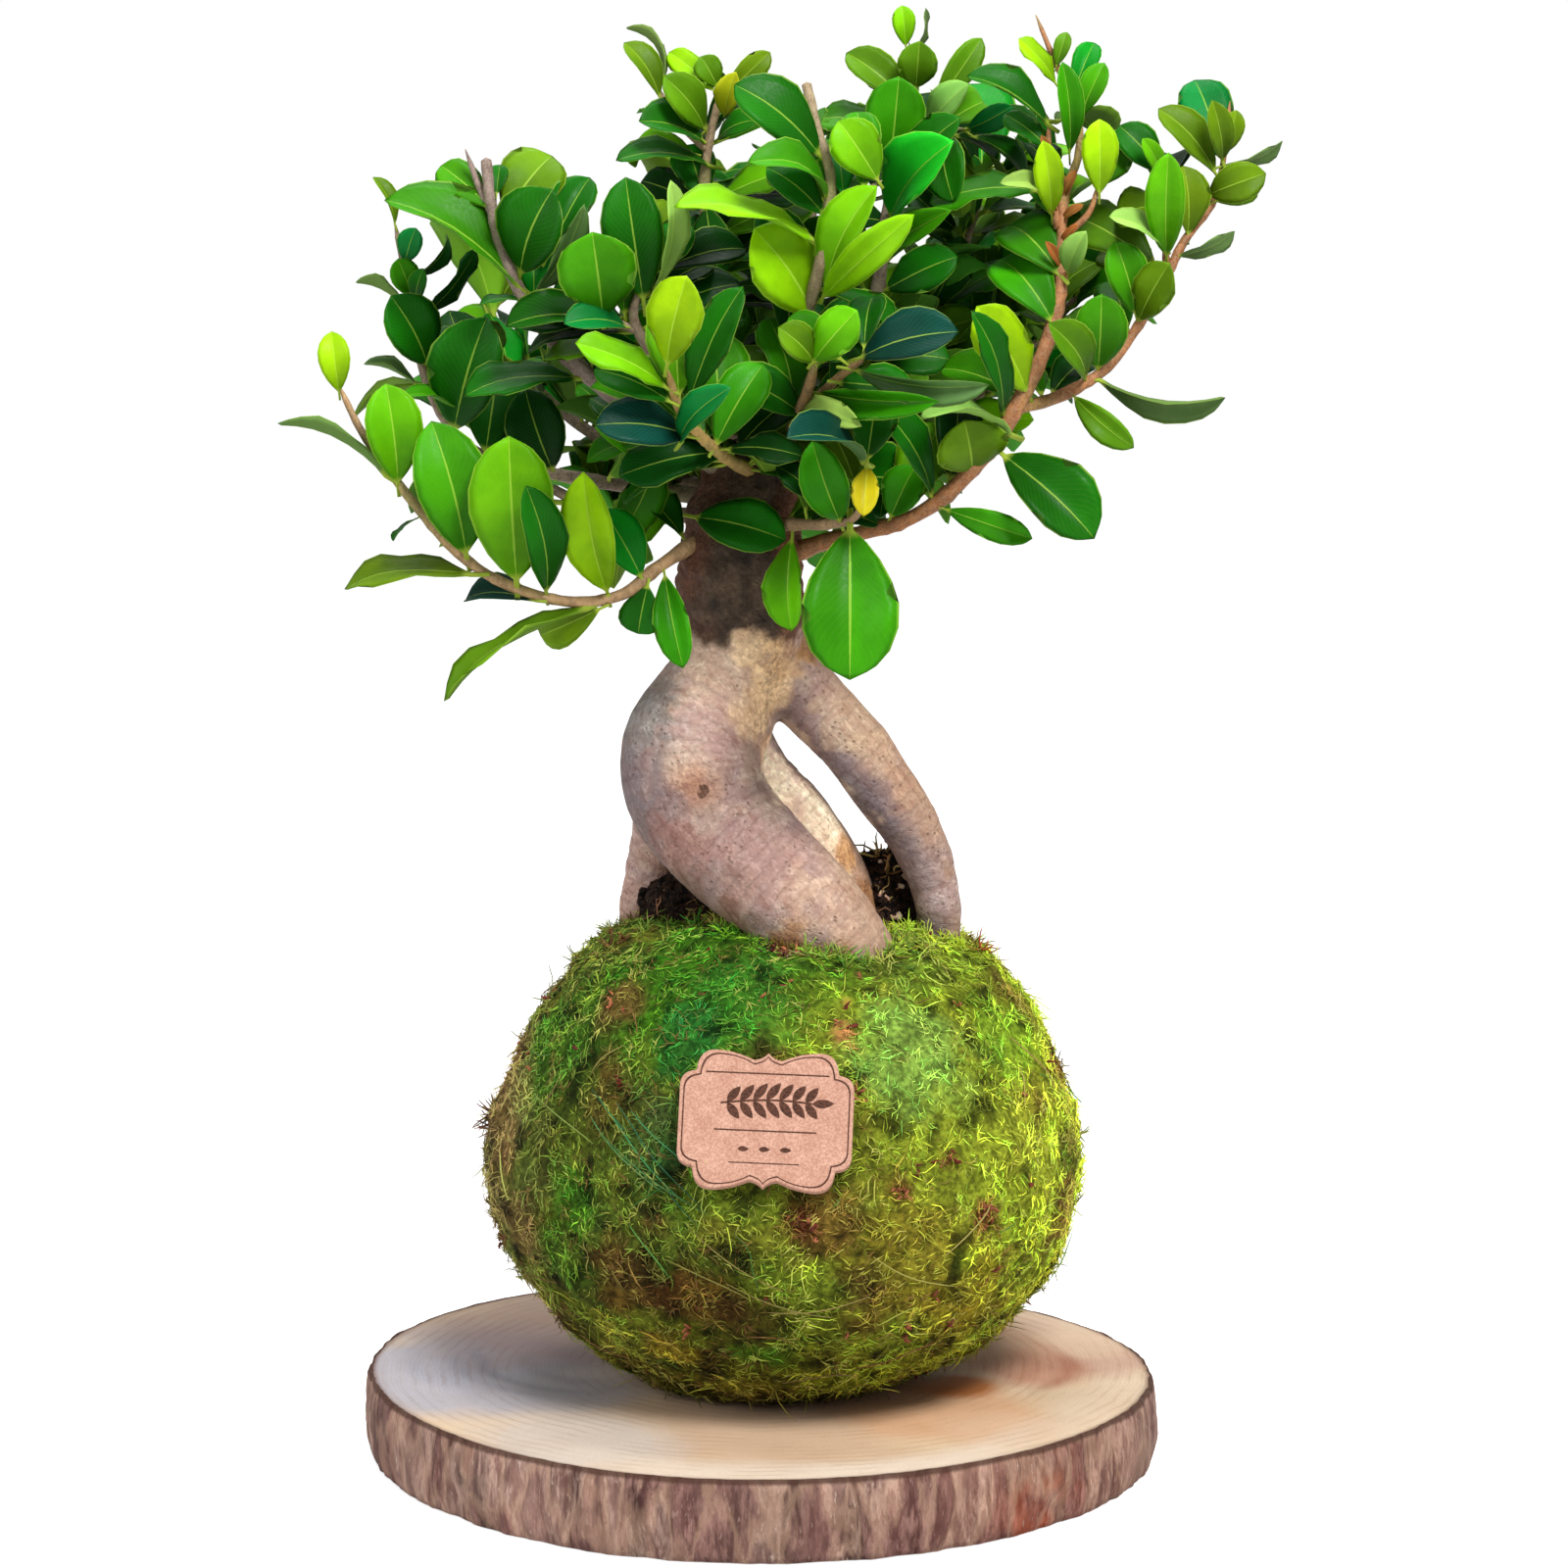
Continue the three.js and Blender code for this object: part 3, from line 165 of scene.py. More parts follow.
# Branches that the front shows. A stem's points are [x, z, y, radius]. A leaf is [base x, base z, tip x,
# tip z, how far its tip lies behind its base, width, roll in degrees, tint], also as seen from the front.
BRANCHES = {
    "left_low": {
        "bark": (0.70, 0.55, 0.38),
        "stems": [[
            [-10, 282, -2, 2.6], [-26, 274, -14, 2.3], [-43, 261.5, -26, 1.9], [-58, 260, -31, 1.7],
            [-73, 264, -34, 1.7], [-87, 271.5, -35, 1.7], [-99, 284, -34, 1.6], [-112, 301, -31, 1.4],
            [-124, 320, -28, 1.1], [-125, 324, -28, 0.9],
        ]],
        "leaves": [
            [-108, 295, -111, 324, -6, 17, 10, "bright"], [-88, 274, -97, 312, -10, 22, 5, "mid"],
            [-73, 266, -75, 307.5, -16, 25, 0, "bright"], [-64.5, 263, -69, 293, -24, 14, 25, "dark"],
            [-46, 263, -53, 297.5, -20, 16, -20, "lime"], [-36, 267, -47, 287, -2, 14, 0, "emerald"],
            [-86, 268, -124, 267, 4, 16, 35, "olive"], [-67, 260, -88, 261, 12, 12, 20, "blue"],
            [-51, 258.5, -96, 235, -14, 10, 45, "olive"], [-48, 258, -66, 250, 8, 12, -30, "olive"],
            [-34, 265, -37, 250.5, 2, 13, 0, "dark"], [-29, 268, -24, 241, -12, 11, 10, "mid"],
            [-111, 297, -142, 314, 0, 10, 82, "grey"], [-102, 285, -110, 279, -6, 6, 60, "dark"],
            [-125, 322, -127, 339.5, -2, 9.5, 0, "lime"], [-20, 285, 6, 279, -14, 17, 5, "dark"],
        ],
    },
    "left_high": {
        "bark": (0.55, 0.47, 0.44),
        "stems": [
            [
                [-5, 296, 0, 3.6], [-25, 307, -10, 3.2], [-42, 320, -18, 3], [-55, 330, -22, 2.7],
                [-66, 343, -26, 2.4], [-74, 357, -28, 2.1], [-79, 374, -30, 1.9], [-81, 390, -30, 1.7],
            ],
            [[-78, 371, -29, 1.3], [-83, 382, -28, 1.1], [-87, 393, -27, 0.8]],
        ],
        "leaves": [
            [-71, 352, -109, 379.5, -6, 24, 35, "mid"], [-80, 376, -94, 388, 10, 12, 0, "mid"],
            [-70, 349, -83, 349, -4, 6, 40, "dark"], [-76, 374, -62, 392, 8, 20, 0, "olive"],
            [-71, 357, -62, 381, -12, 23, -10, "dark"], [-63, 362, -51, 385, 6, 13, 0, "dark"],
            [-67, 351, -52, 374, -22, 8, 65, "grey"], [-78, 380, -77, 389, 4, 6, 0, "dark"],
            [-54, 326, -87, 324, -14, 17, 30, "dark"],
        ],
    },
    "left_middle": {
        "bark": (0.56, 0.48, 0.42),
        "stems": [[
            [-8, 290, 6, 3], [-38, 294, 6, 2.4], [-62, 298, 2, 2.1], [-82, 303, -4, 1.8], [-92, 311, -6, 1.6],
            [-99, 325, -8, 1.5], [-103, 342, -8, 1.3], [-105, 356, -8, 1.1], [-108, 372, -8, 0.9],
        ]],
        "leaves": [
            [-99, 330, -109, 350, -10, 18, 10, "dark"], [-103, 350, -107, 361, -4, 9, 0, "mid"],
            [-102, 324, -117, 331, -2, 7, 45, "grey"], [-105, 347, -119, 355, 4, 7, 82, "grey"],
            [-108, 371, -114, 385, 0, 6, 40, "olive"], [-105, 360, -102, 370, -4, 8, 0, "teal"],
            [-102, 349, -100, 358, -8, 6, 0, "dark"], [-103, 356, -92, 368, 6, 6, 70, "deep"],
            [-101, 344, -85, 364, 12, 8, 65, "deep"], [-91, 311, -82, 343, -14, 23, 0, "dark"],
            [-90, 315, -105, 322, -18, 8, 40, "mid"], [-82, 304, -78, 330, 8, 20, 10, "dark"],
            [-62, 299, -70, 322, -8, 18, -15, "deep"],
        ],
    },
    "centre_left": {
        "bark": (0.72, 0.58, 0.30),
        "stems": [[
            [-2, 298, -4, 2.6], [-11, 303, -34, 2], [-20, 311, -58, 1.6], [-26, 320, -71, 1.4],
            [-28, 329, -77, 1.1],
        ]],
        "leaves": [
            [-28, 330, -22, 356, -12, 17, -10, "lime"], [-28, 323, -55, 336, -10, 13, 20, "bright"],
            [-27, 319, -49, 329, -2, 13, 10, "dark"], [-22, 318, -8, 352, -12, 13, -10, "dark"],
            [-24, 307, -11, 323, -30, 10, 15, "teal"], [-22, 309, -48, 313, -18, 16, 0, "blue"],
            [-11, 304, -42, 297, -10, 16, 10, "deep"], [-14, 306, 0, 330, 4, 15, 0, "mid"],
        ],
    },
    "upper_left": {
        "bark": (0.56, 0.48, 0.40),
        "stems": [
            [
                [-4, 306, -2, 2.6], [-20, 320, -18, 2.2], [-33, 334, -33, 1.9], [-38, 346, -42, 1.5],
                [-33, 358, -45, 1.1],
            ],
            [[-36, 340, -38, 1.5], [-47, 344, -43, 1.1]],
        ],
        "leaves": [
            [-47, 344, -50, 369, -16, 23, 0, "mid"], [-35, 349, -40, 384, -10, 18, -5, "dark"],
            [-32, 352, -26, 383, -14, 9, 55, "pale"], [-40, 341, -58, 342.5, -14, 11, 10, "teal"],
            [-33, 357, -22, 372, 2, 12, 0, "dark"],
        ],
    },
    "top_left": {
        "bark": (0.60, 0.50, 0.38),
        "stems": [
            [
                [-2, 308, 6, 3], [-10, 334, 4, 2.4], [-15, 360, 2, 2], [-17, 384, 2, 1.7], [-15, 398, 2, 1.4],
                [-12, 410, 2, 1],
            ],
            [[-16, 393, 2, 1.3], [-28, 405, 2, 1], [-31, 412, 2, 0.8]],
        ],
        "leaves": [
            [-15, 388, -42, 391, -14, 12, 30, "dark"], [-17, 395, -35, 402, -16, 15, 15, "dark"],
            [-20, 392, -36, 397, 2, 8, 0, "bright"], [-17, 399, -28, 414, -8, 13, 0, "olive"],
            [-30, 408, -40, 424, 0, 10, 25, "olive"], [-29, 413, -38, 429, 4, 7, 80, "grey"],
            [-14, 410, -27, 421, 6, 9, 0, "lime"], [-13, 411, -18, 420, -2, 9, 0, "olive"],
            [-11, 403, -8, 415, -10, 8, 0, "yellow"], [-11, 409, 2, 421, -2, 8, 25, "olive"],
            [-13, 396, -2, 402, -14, 9, 0, "dark"], [-17, 378, -22, 394, 12, 14, 0, "dark"],
        ],
    },
    "top_centre": {
        "bark": (0.60, 0.52, 0.40),
        "stems": [
            [
                [1, 310, 0, 3], [7, 330, -18, 2.6], [13, 346, -36, 2.3], [18, 364, -48, 2],
                [20, 386, -48, 1.7], [16, 399, -44, 1.6], [13, 412, -40, 1.6],
            ],
            [[18, 376, -48, 1.3], [28, 380, -50, 1.1], [35, 384, -50, 0.9]],
        ],
        "leaves": [
            [17, 391, -7, 412, -8, 19, 10, "dark"], [19, 379, -2, 391, -20, 13, 25, "mid"],
            [18, 374, 2, 388, -4, 13, 10, "dark"], [16, 366, -23, 380, -18, 17, 40, "lime"],
            [15, 345, 0, 369, -18, 23, 0, "lime"], [34, 384, 23, 401, -4, 15, -10, "bright"],
            [19, 352, 33, 382, -14, 15, -20, "bright"], [18, 350, 43, 373, -24, 11, 30, "lime"],
            [30, 381, 28, 404, 10, 12, 0, "mid"], [24, 379, 22, 394, 14, 10, 0, "emerald"],
        ],
    },
    "top_right": {
        "bark": (0.52, 0.46, 0.40),
        "stems": [
            [
                [6, 308, 6, 3.4], [20, 322, 0, 2.8], [32, 340, -6, 2.4], [35, 362, -10, 2],
                [38, 382, -10, 1.7],
                [43, 402, -6, 1.4], [45, 418, -4, 1], [43, 424, -4, 0.8],
            ],
            [[41, 394, -8, 1.3], [52, 400, -8, 1], [60, 399, -8, 0.8]],
        ],
        "leaves": [
            [37, 385, 40, 414, -10, 18, 5, "mid"], [39, 380, 55, 402, -16, 15, -10, "dark"],
            [38, 373, 54, 395, -30, 20, 0, "vivid"], [36, 363, 54, 375, -26, 9, 30, "mid"],
            [42, 423, 41, 434.5, -2, 7, 0, "lime"], [45, 421, 47.5, 434, 4, 5, 75, "grey"],
            [45, 411, 46, 424, -8, 12, 0, "olive"], [50, 405, 64, 425, -2, 9, 20, "olive"],
            [60, 399, 73, 405.5, -6, 8, 40, "teal"], [49, 399, 60, 412, -12, 10, 0, "pale"],
            [44, 405, 25, 421, 2, 12, 0, "olive"], [36, 352, 56, 362, -10, 14, 10, "dark"],
            [37, 372, 20, 372, 14, 14, 0, "deep"],
        ],
    },
    "centre_right": {
        "bark": (0.62, 0.46, 0.28),
        "stems": [
            [[6, 304, -2, 2.6], [11, 316, -34, 2], [15, 328, -58, 1.5], [16, 333, -66, 1]],
            [[10, 314, -29, 1.7], [22, 326, -53, 1.4], [30, 332, -64, 1]],
        ],
        "leaves": [
            [15, 331, 28, 346, -10, 13, 10, "bright"], [15, 331, 5, 341, -8, 11, 0, "olive"],
            [29, 332, 57, 340, -14, 16, 0, "blue"], [27, 329, 66, 324, -12, 9, 55, "grey"],
            [17, 322, 50, 319, -24, 9, 45, "mid"], [11, 317, 26, 314, -34, 9, 25, "pale"],
            [12, 315, -10, 327, -14, 14, 0, "dark"], [22, 325, 44, 322, 2, 14, 10, "dark"],
        ],
    },
    "low_front": {
        "bark": (0.58, 0.46, 0.32),
        "stems": [[
            [0, 283, -4, 2.4], [11, 283, -28, 2], [20, 283, -44, 1.6], [27, 284, -52, 1.2],
            [31, 300, -55, 0.9],
        ]],
        "leaves": [
            [26, 282, 26, 238, -16, 28, 0, "mid"], [23, 284, 15, 306, -12, 14, -20, "mid"],
            [31, 300, 30, 286, -10, 8, 0, "yellow"], [9, 279, 8, 252, -8, 13, 25, "bright"],
            [30, 301, 8, 309, -10, 15, 25, "blue"], [31, 302, 34, 322, 6, 15, 0, "dark"],
        ],
    },
    "right": {
        "bark": (0.66, 0.42, 0.24),
        "stems": [
            [
                [6, 273, -2, 3.4], [22, 279, -10, 2.6], [38, 282.5, -18, 2.4], [51, 289, -24, 2.5],
                [63, 300.5, -28, 2.7], [73, 314, -30, 2.8], [81, 330, -29, 2.6], [87, 346, -27, 2.3],
                [88, 364, -24, 1.9], [89, 382, -21, 1.5], [94, 398, -18, 1.2], [88, 413, -16, 1],
                [80, 432, -14, 0.7],
            ],
            [[87, 370, -23, 1.3], [84, 388, -24, 1.1], [84, 402, -24, 0.8]],
            [[89, 368, -24, 1.2], [95, 373, -25, 1], [99, 384, -25, 0.8]],
            [
                [75, 317, -29.5, 2], [88, 321, -25, 1.9], [99, 327, -22, 1.8], [109, 339, -20, 1.7],
                [117, 352, -18, 1.6], [125, 368, -15, 1.4], [132, 377, -12, 1.2], [135, 388, -10, 1],
                [137, 407, -8, 0.8],
            ],
            [[119, 357, -17, 1.1], [118, 374, -18, 0.9], [117, 386, -18, 0.8]],
        ],
        "leaves": [
            [71, 303.5, 98, 280, -14, 21, 0, "dark"], [54, 287.5, 79, 279, -8, 9, 25, "mid"],
            [62, 299, 60, 313, -12, 22, 0, "olive"], [74, 309, 48, 316, -28, 10, 40, "pale"],
            [50, 291, 33, 320, -20, 13, 20, "dark"], [38, 285, 45, 300, -4, 13, 0, "mid"],
            [78, 322, 63, 347, -16, 17, 0, "lime"], [71, 315, 65, 344, -26, 11, 25, "dark"],
            [84, 400, 61, 415, -4, 14, 30, "dark"], [84, 393, 71, 403, 4, 9, 15, "dark"],
            [83, 380, 71, 384, -12, 6, 0, "pale"], [90, 357, 95, 369, -12, 8, 0, "pale"],
            [85, 374, 83, 394, -14, 9, 0, "lime"], [90, 392, 88, 418, -8, 8, 10, "mid"],
            [93, 402, 100, 418, -2, 8, 0, "mid"], [91, 409, 97, 424, 6, 8, 0, "emerald"],
            [86, 417, 89, 427, 0, 5, 0, "olive"], [86, 412, 75, 425, -2, 8, 20, "lime"],
            [99, 380, 99, 401, -6, 11, 0, "lime"], [86, 342, 70, 362, 14, 18, 0, "mid"],
            [88, 356, 72, 372, 16, 18, 0, "mid"], [92, 321, 109, 306, -8, 9, 30, "olive"],
            [99, 326, 136, 320, -6, 10, 78, "grey"], [99, 329, 100, 350, -12, 16, 0, "mid"],
            [95, 326, 85, 342, -14, 13, 0, "olive"], [111, 343, 120, 360, -14, 13, 0, "olive"],
            [122, 362, 139, 368, -2, 7, 70, "grey"], [110, 345, 104, 366, -4, 13, 0, "mid"],
            [118, 364, 103, 374, -14, 9, 20, "pale"], [119, 362, 119, 391, -16, 12, -15, "bright"],
            [118, 377, 104, 374, 6, 13, 0, "olive"], [117, 386, 105, 400, 0, 12, 0, "dark"],
            [133, 386, 117, 405, -4, 13, 15, "olive"], [131, 380, 147, 386, -8, 12, 25, "olive"],
            [133, 378, 146, 383, 4, 8, 40, "olive"], [135, 390, 127, 414, 4, 16, 0, "teal"],
            [135, 390, 132, 407, -10, 8, 0, "olive"], [136, 392, 139, 404, -4, 7, 10, "olive"],
            [134, 388, 153, 394, 2, 7, 80, "grey"], [125, 368, 124, 388, -2, 12, 20, "olive"],
            [117, 385, 112, 396, -8, 6, 0, "bright"],
        ],
    },
}

# Branches that the front hides: one stem each, [x, y, z, radius], with leaves placed by a rule
HIDDEN_BRANCHES = {
    "back_left": (116, [[-8, 6, 290, 3], [-38, 28, 300, 2.4], [-66, 48, 318, 1.9], [-86, 62, 346, 1.2]]),
    "back": (101, [[-2, 10, 300, 3], [-8, 44, 314, 2.4], [-16, 74, 338, 1.8], [-20, 86, 368, 1.2]]),
    "back_right": (100, [[8, 8, 292, 3], [38, 38, 300, 2.4], [64, 60, 324, 1.9], [78, 68, 354, 1.2]]),
    "back_top": (100, [[2, 8, 312, 2.8], [8, 30, 338, 2.3], [14, 46, 364, 1.7], [16, 54, 382, 1.1]]),
    "back_low": (100, [[2, 8, 284, 2.8], [8, 46, 282, 2.2], [14, 78, 292, 1.7], [16, 94, 314, 1.1]]),
    "side_right": (118, [[12, 2, 290, 2.8], [44, 24, 304, 2.2], [74, 36, 326, 1.8], [96, 36, 350, 1.1]]),
    "side_left": (109, [[-14, 4, 286, 2.8], [-46, 26, 284, 2.2], [-74, 34, 298, 1.7], [-90, 30, 318, 1.1]]),
    "side_high": (100, [[9, 7, 299, 2.4], [34, 22, 322, 2.1], [58, 28, 358, 1.6], [68, 26, 390, 1.1]]),
}
HIDDEN_BARK = (0.52, 0.44, 0.36)
HIDDEN_TINTS = ["mid", "mid", "dark", "dark", "bright", "emerald", "olive", "deep"]
# Where the first leaf stands on the stem, the step and turn from each leaf to the next, the range of the
# leaves' lengths and of their lean from the stem, how much they lift, and their stalks' length
HIDDEN_FIRST_LEAF = 16
HIDDEN_LEAF_STEP = 9
HIDDEN_LEAF_TURN = 137.5
HIDDEN_LEAF_LENGTHS = (26, 42)
HIDDEN_LEANS = (48, 70)
HIDDEN_LIFT = 0.18
HIDDEN_STALK = 3
# What is tried in turn for a leaf that finds no room: shares of its length, and turns in degrees
HIDDEN_SHRINKS = [1, 0.8, 0.62]
HIDDEN_SWINGS = [0, 25, -25, 50, -50, 80, -80]
# Width of a hidden leaf as a share of its length
WIDE = 0.56
# Depths that are tried in turn for the tip of a listed leaf, and the way that its upper side faces
DEPTH_TRIALS = [0, -6, 6, -12, 12, -18, 18, -25, 25, -32, 32]
FACING = Vector((0, -0.88, 0.47))
# A leaf of the frame is found by its tip, to this many millimetres
TIP_MATCH = 0.6

# The part of the crown that is full of leaves, as seen from the front: x, z
CROWN_OUTLINE = [
    (-38, 408), (-26, 415), (-7, 415), (12, 411), (28, 413), (44, 415), (65, 409), (87, 404), (110, 400),
    (129, 392), (138, 381), (127, 365), (108, 344), (96, 322), (77, 311), (54, 294), (32, 277), (12, 279),
    (-9, 281), (-23, 280), (-34, 272), (-50, 288), (-60, 303), (-70, 320), (-87, 313), (-99, 328),
    (-95, 344), (-79, 348), (-75, 373), (-77, 388), (-60, 390), (-48, 381), (-42, 398),
]
# Leaves that fill the crown behind those that are listed: how many are tried on a branch, their lengths and
# stalks, how close they may come to others, and how close they may be seen beside a listed leaf behind them
FILLER_TRIES = 320
FILLER_LENGTHS = (19, 32)
FILLER_STALK = 3.5
FILLER_CLEARANCE = 3.7
FILLER_SIDESTEP = 5.5
# painted shade: the leaves that fill the inside of the crown are made darker by this factor
FILLER_PAINTED_SHADE = 0.75
FILLER_TINTS = ["mid", "dark", "dark", "dark", "deep", "deep", "mid", "bright", "olive", "emerald"]

# Dry scales on the right branch: base x, base z, tip x, tip z
DRY_SCALES = [
    (86, 372, 82, 380), (88, 378, 92, 387), (89, 371, 94, 377), (87, 384, 83, 391), (88, 366, 92, 371),
    (86, 391, 82, 397), (89, 380, 86, 388), (88, 360, 84, 366),
]

# Leaf shapes that the branches pick from: arch, cup of the two halves, curl of the tip, wave of the edge
LEAF_SHAPES = [
    (0.10, 0.22, 0.05, 0.02),
    (0.12, 0.38, 0.02, 0.01),
    (0.05, 0.16, 0.12, 0.04),
    (0.16, 0.34, 0.10, 0.02),
    (0.08, 0.50, 0.06, 0.03),
    (0.10, 0.10, -0.03, 0.05),
]
# Faces along and across a leaf; its stalk and half its thickness, as shares of its length
LEAF_ROWS = 9
LEAF_COLUMNS = 6
LEAF_STALK = 0.13
LEAF_HALF_THICKNESS = 0.012
# Leaves shorter than this have one of the plain shapes
SMALL_LEAF = 14
SMALL_LEAF_SHAPES = [0, 2, 5]


# Colour, randomness and curves


def display(colour):
    """A display colour as the linear values that Blender works in."""
    return tuple(c / 12.92 if c <= 0.04045 else ((c + 0.055) / 1.055) ** 2.4 for c in colour)


def lumps(points, size, seed):
    """Smooth random values of -1 to 1 that change over size, at points in millimetres."""
    scaled = np.asarray(points, float) / size
    low = np.floor(scaled).astype(np.int64)
    part = scaled - low
    part = part * part * (3 - 2 * part)
    total = np.zeros(len(scaled))
    for corner in range(8):
        step = np.array([corner & 1, corner >> 1 & 1, corner >> 2 & 1])
        cell = low + step
        mixed = (cell[:, 0] * 73856093) ^ (cell[:, 1] * 19349663) ^ (cell[:, 2] * 83492791) ^ (seed * 7919)
        mixed = ((mixed ^ (mixed >> 13)) * 1274126177) & 0xFFFFFFFF
        mixed = (mixed ^ (mixed >> 16)) & 0xFFFF
        total += np.prod(np.where(step == 1, part, 1 - part), axis=1) * (mixed / 32767.5 - 1)
    return total


def seen(x, z, y):
    """The point at depth y that is seen at x, z of the upright plane y = 0."""
    scale = (EYE_DISTANCE + y) / EYE_DISTANCE
    return Vector((EYE_X + (x - EYE_X) * scale, y, EYE_HEIGHT - (EYE_HEIGHT - z) * scale))


class SmoothCurve:
    """A centripetal curve through points, with places along it by length."""

    DIVISIONS = 200

    def __init__(self, points):
        self.points = [Vector(point) for point in points]
        places = [self.point(i / self.DIVISIONS) for i in range(self.DIVISIONS + 1)]
        self.lengths = [0.0]
        for before, after in zip(places, places[1:]):
            self.lengths.append(self.lengths[-1] + (after - before).length)

    @property
    def length(self):
        return self.lengths[-1]

    def point(self, t):
        points = self.points
        place = (len(points) - 1) * t
        i = min(int(math.floor(place)), len(points) - 2)
        weight = place - i
        before = points[i - 1] if i > 0 else 2 * points[0] - points[1]
        after = points[i + 2] if i + 2 < len(points) else 2 * points[-1] - points[-2]
        start, end = points[i], points[i + 1]
        spans = ((before, start), (start, end), (end, after))
        gaps = [(b - a).length_squared ** 0.25 for a, b in spans]
        middle = gaps[1] if gaps[1] >= 1e-4 else 1.0
        first = gaps[0] if gaps[0] >= 1e-4 else middle
        last = gaps[2] if gaps[2] >= 1e-4 else middle
        lean_in = (start - before) / first - (end - before) / (first + middle) + (end - start) / middle
        lean_out = (end - start) / middle - (after - start) / (middle + last) + (after - end) / last
        lean_in *= middle
        lean_out *= middle
        square = -3 * start + 3 * end - 2 * lean_in - lean_out
        cube = 2 * start - 2 * end + lean_in + lean_out
        return start + lean_in * weight + square * weight**2 + cube * weight**3

    def share(self, u):
        """The curve's own parameter at a share u of its length."""
        target = u * self.length
        high = next((i for i, far in enumerate(self.lengths) if far > target), len(self.lengths) - 1)
        low = max(high - 1, 0)
        if self.lengths[low] == target:
            return low / self.DIVISIONS
        part = (target - self.lengths[low]) / (self.lengths[high] - self.lengths[low])
        return (low + part) / self.DIVISIONS

    def point_at(self, u):
        return self.point(self.share(u))

    def tangent_at(self, u):
        t = self.share(u)
        low, high = max(t - 0.0001, 0), min(t + 0.0001, 1)
        return (self.point(high) - self.point(low)).normalized()


def refined(stations, spacing):
    """Evenly spaced (point, radius) along a smooth curve through stations of the same kind."""
    points, radii = zip(*stations)
    curve = SmoothCurve(points)
    steps = max(2, round(curve.length / spacing))
    finer = []
    for i in range(steps + 1):
        share = curve.share(i / steps)
        place = share * (len(points) - 1)
        low = min(int(place), len(points) - 2)
        radius = radii[low] + (radii[low + 1] - radii[low]) * (place - low)
        finer.append((curve.point(share), radius))
    return finer


def route_stations(route, spacing):
    """Stations of a route whose points, [x, z, y, radius], are as seen from the front."""
    return refined([(seen(x, z, y), radius) for x, z, y, radius in route], spacing)


TRUNK_STATIONS = {name: route_stations(route, TRUNK_SPACINGS[name]) for name, route in TRUNK_ROUTES.items()}


def in_trunk(point):
    """Whether a point lies in the roots or within a millimetre of them."""
    for stations in TRUNK_STATIONS.values():
        for i, (start, radius) in enumerate(stations):
            end = stations[min(i + 1, len(stations) - 1)][0]
            line = end - start
            part = 0 if line.length_squared == 0 else (point - start).dot(line) / line.length_squared
            if (start + line * min(max(part, 0), 1) - point).length < radius * (1 + TRUNK_ROUGHNESS) + 1:
                return True
    return False


# Meshes


def new_object(name, mesh):
    made = bpy.data.objects.new(name, mesh)
    bpy.context.scene.collection.objects.link(made)
    return made


def mesh_from(name, points, faces, smooth=True):
    """A mesh from points in millimetres."""
    mesh = bpy.data.meshes.new(name)
    mesh.from_pydata((np.asarray(points, float) * MM).tolist(), [], faces)
    mesh.validate()
    mesh.polygons.foreach_set("use_smooth", [smooth] * len(mesh.polygons))
    mesh.update()
    return mesh


def places(mesh):
    """Where the mesh's points are, in millimetres."""
    flat = np.empty(len(mesh.vertices) * 3, np.float32)
    mesh.vertices.foreach_get("co", flat)
    return flat.reshape(-1, 3).astype(float) / MM


def normals(mesh):
    flat = np.empty(len(mesh.vertices) * 3, np.float32)
    mesh.vertices.foreach_get("normal", flat)
    return flat.reshape(-1, 3).astype(float)


def move(mesh, points):
    """Puts the mesh's points at places in millimetres."""
    mesh.vertices.foreach_set("co", (points * MM).astype(np.float32).ravel())
    mesh.update()


def paint(mesh, colours):
    """Stores a linear colour on every vertex, as its tint."""
    filled = np.ones((len(colours), 4), np.float32)
    filled[:, :3] = colours
    mesh.attributes.new("tint", "FLOAT_COLOR", "POINT").data.foreach_set("color", filled.ravel())


def mark(mesh, values, name):
    """Stores a number on every vertex under a name."""
    mesh.attributes.new(name, "FLOAT", "POINT").data.foreach_set("value", np.asarray(values, np.float32))


def toward(base, colour, share):
    """Linear colours moved by a share towards a display colour."""
    return base + (np.array(display(colour)) - base) * share


def zoned(points, base, zones, rough, size):
    """Base colours with soft-edged spots laid over them: (centre, radius, display colour, strength)."""
    colours = np.array(base, float)
    ragged = rough * lumps(points, size, 5) + 0.5 * rough * lumps(points, size / 2.4, 9)
    for centre, radius, colour, strength in zones:
        far = np.linalg.norm(points - np.asarray(centre, float), axis=1) / radius + ragged
        share = strength * np.clip((1.15 - far) / 0.45, 0, 1)
        colours = toward(colours, colour, share[:, None])
    return colours


def finished_mesh(made):
    """The object's mesh with its modifiers applied."""
    depsgraph = bpy.context.evaluated_depsgraph_get()
    depsgraph.update()
    return bpy.data.meshes.new_from_object(made.evaluated_get(depsgraph), depsgraph=depsgraph)


def drop(made):
    """Removes a helper object."""
    bpy.data.objects.remove(made, do_unlink=True)


def remeshed(name, mesh, voxel, smoothing):
    """An even, closed and smoothed mesh of everything in mesh."""
    work = new_object(name, mesh)
    remesh = work.modifiers.new("Even mesh", "REMESH")
    remesh.mode = "VOXEL"
    remesh.voxel_size = voxel * MM
    remesh.use_smooth_shade = True
    smooth = work.modifiers.new("Soften", "SMOOTH")
    smooth.factor = 0.5
    smooth.iterations = smoothing
    made = finished_mesh(work)
    drop(work)
    made.name = name
    return made


def merged_copy(node):
    """A merged copy of a CAD node's mesh."""
    mesh = frame["nodes"][node].data.copy()
    shape = bmesh.new()
    shape.from_mesh(mesh)
    bmesh.ops.remove_doubles(shape, verts=shape.verts, dist=0.02 * MM)
    shape.to_mesh(mesh)
    shape.free()
    mesh.materials.clear()
    return mesh


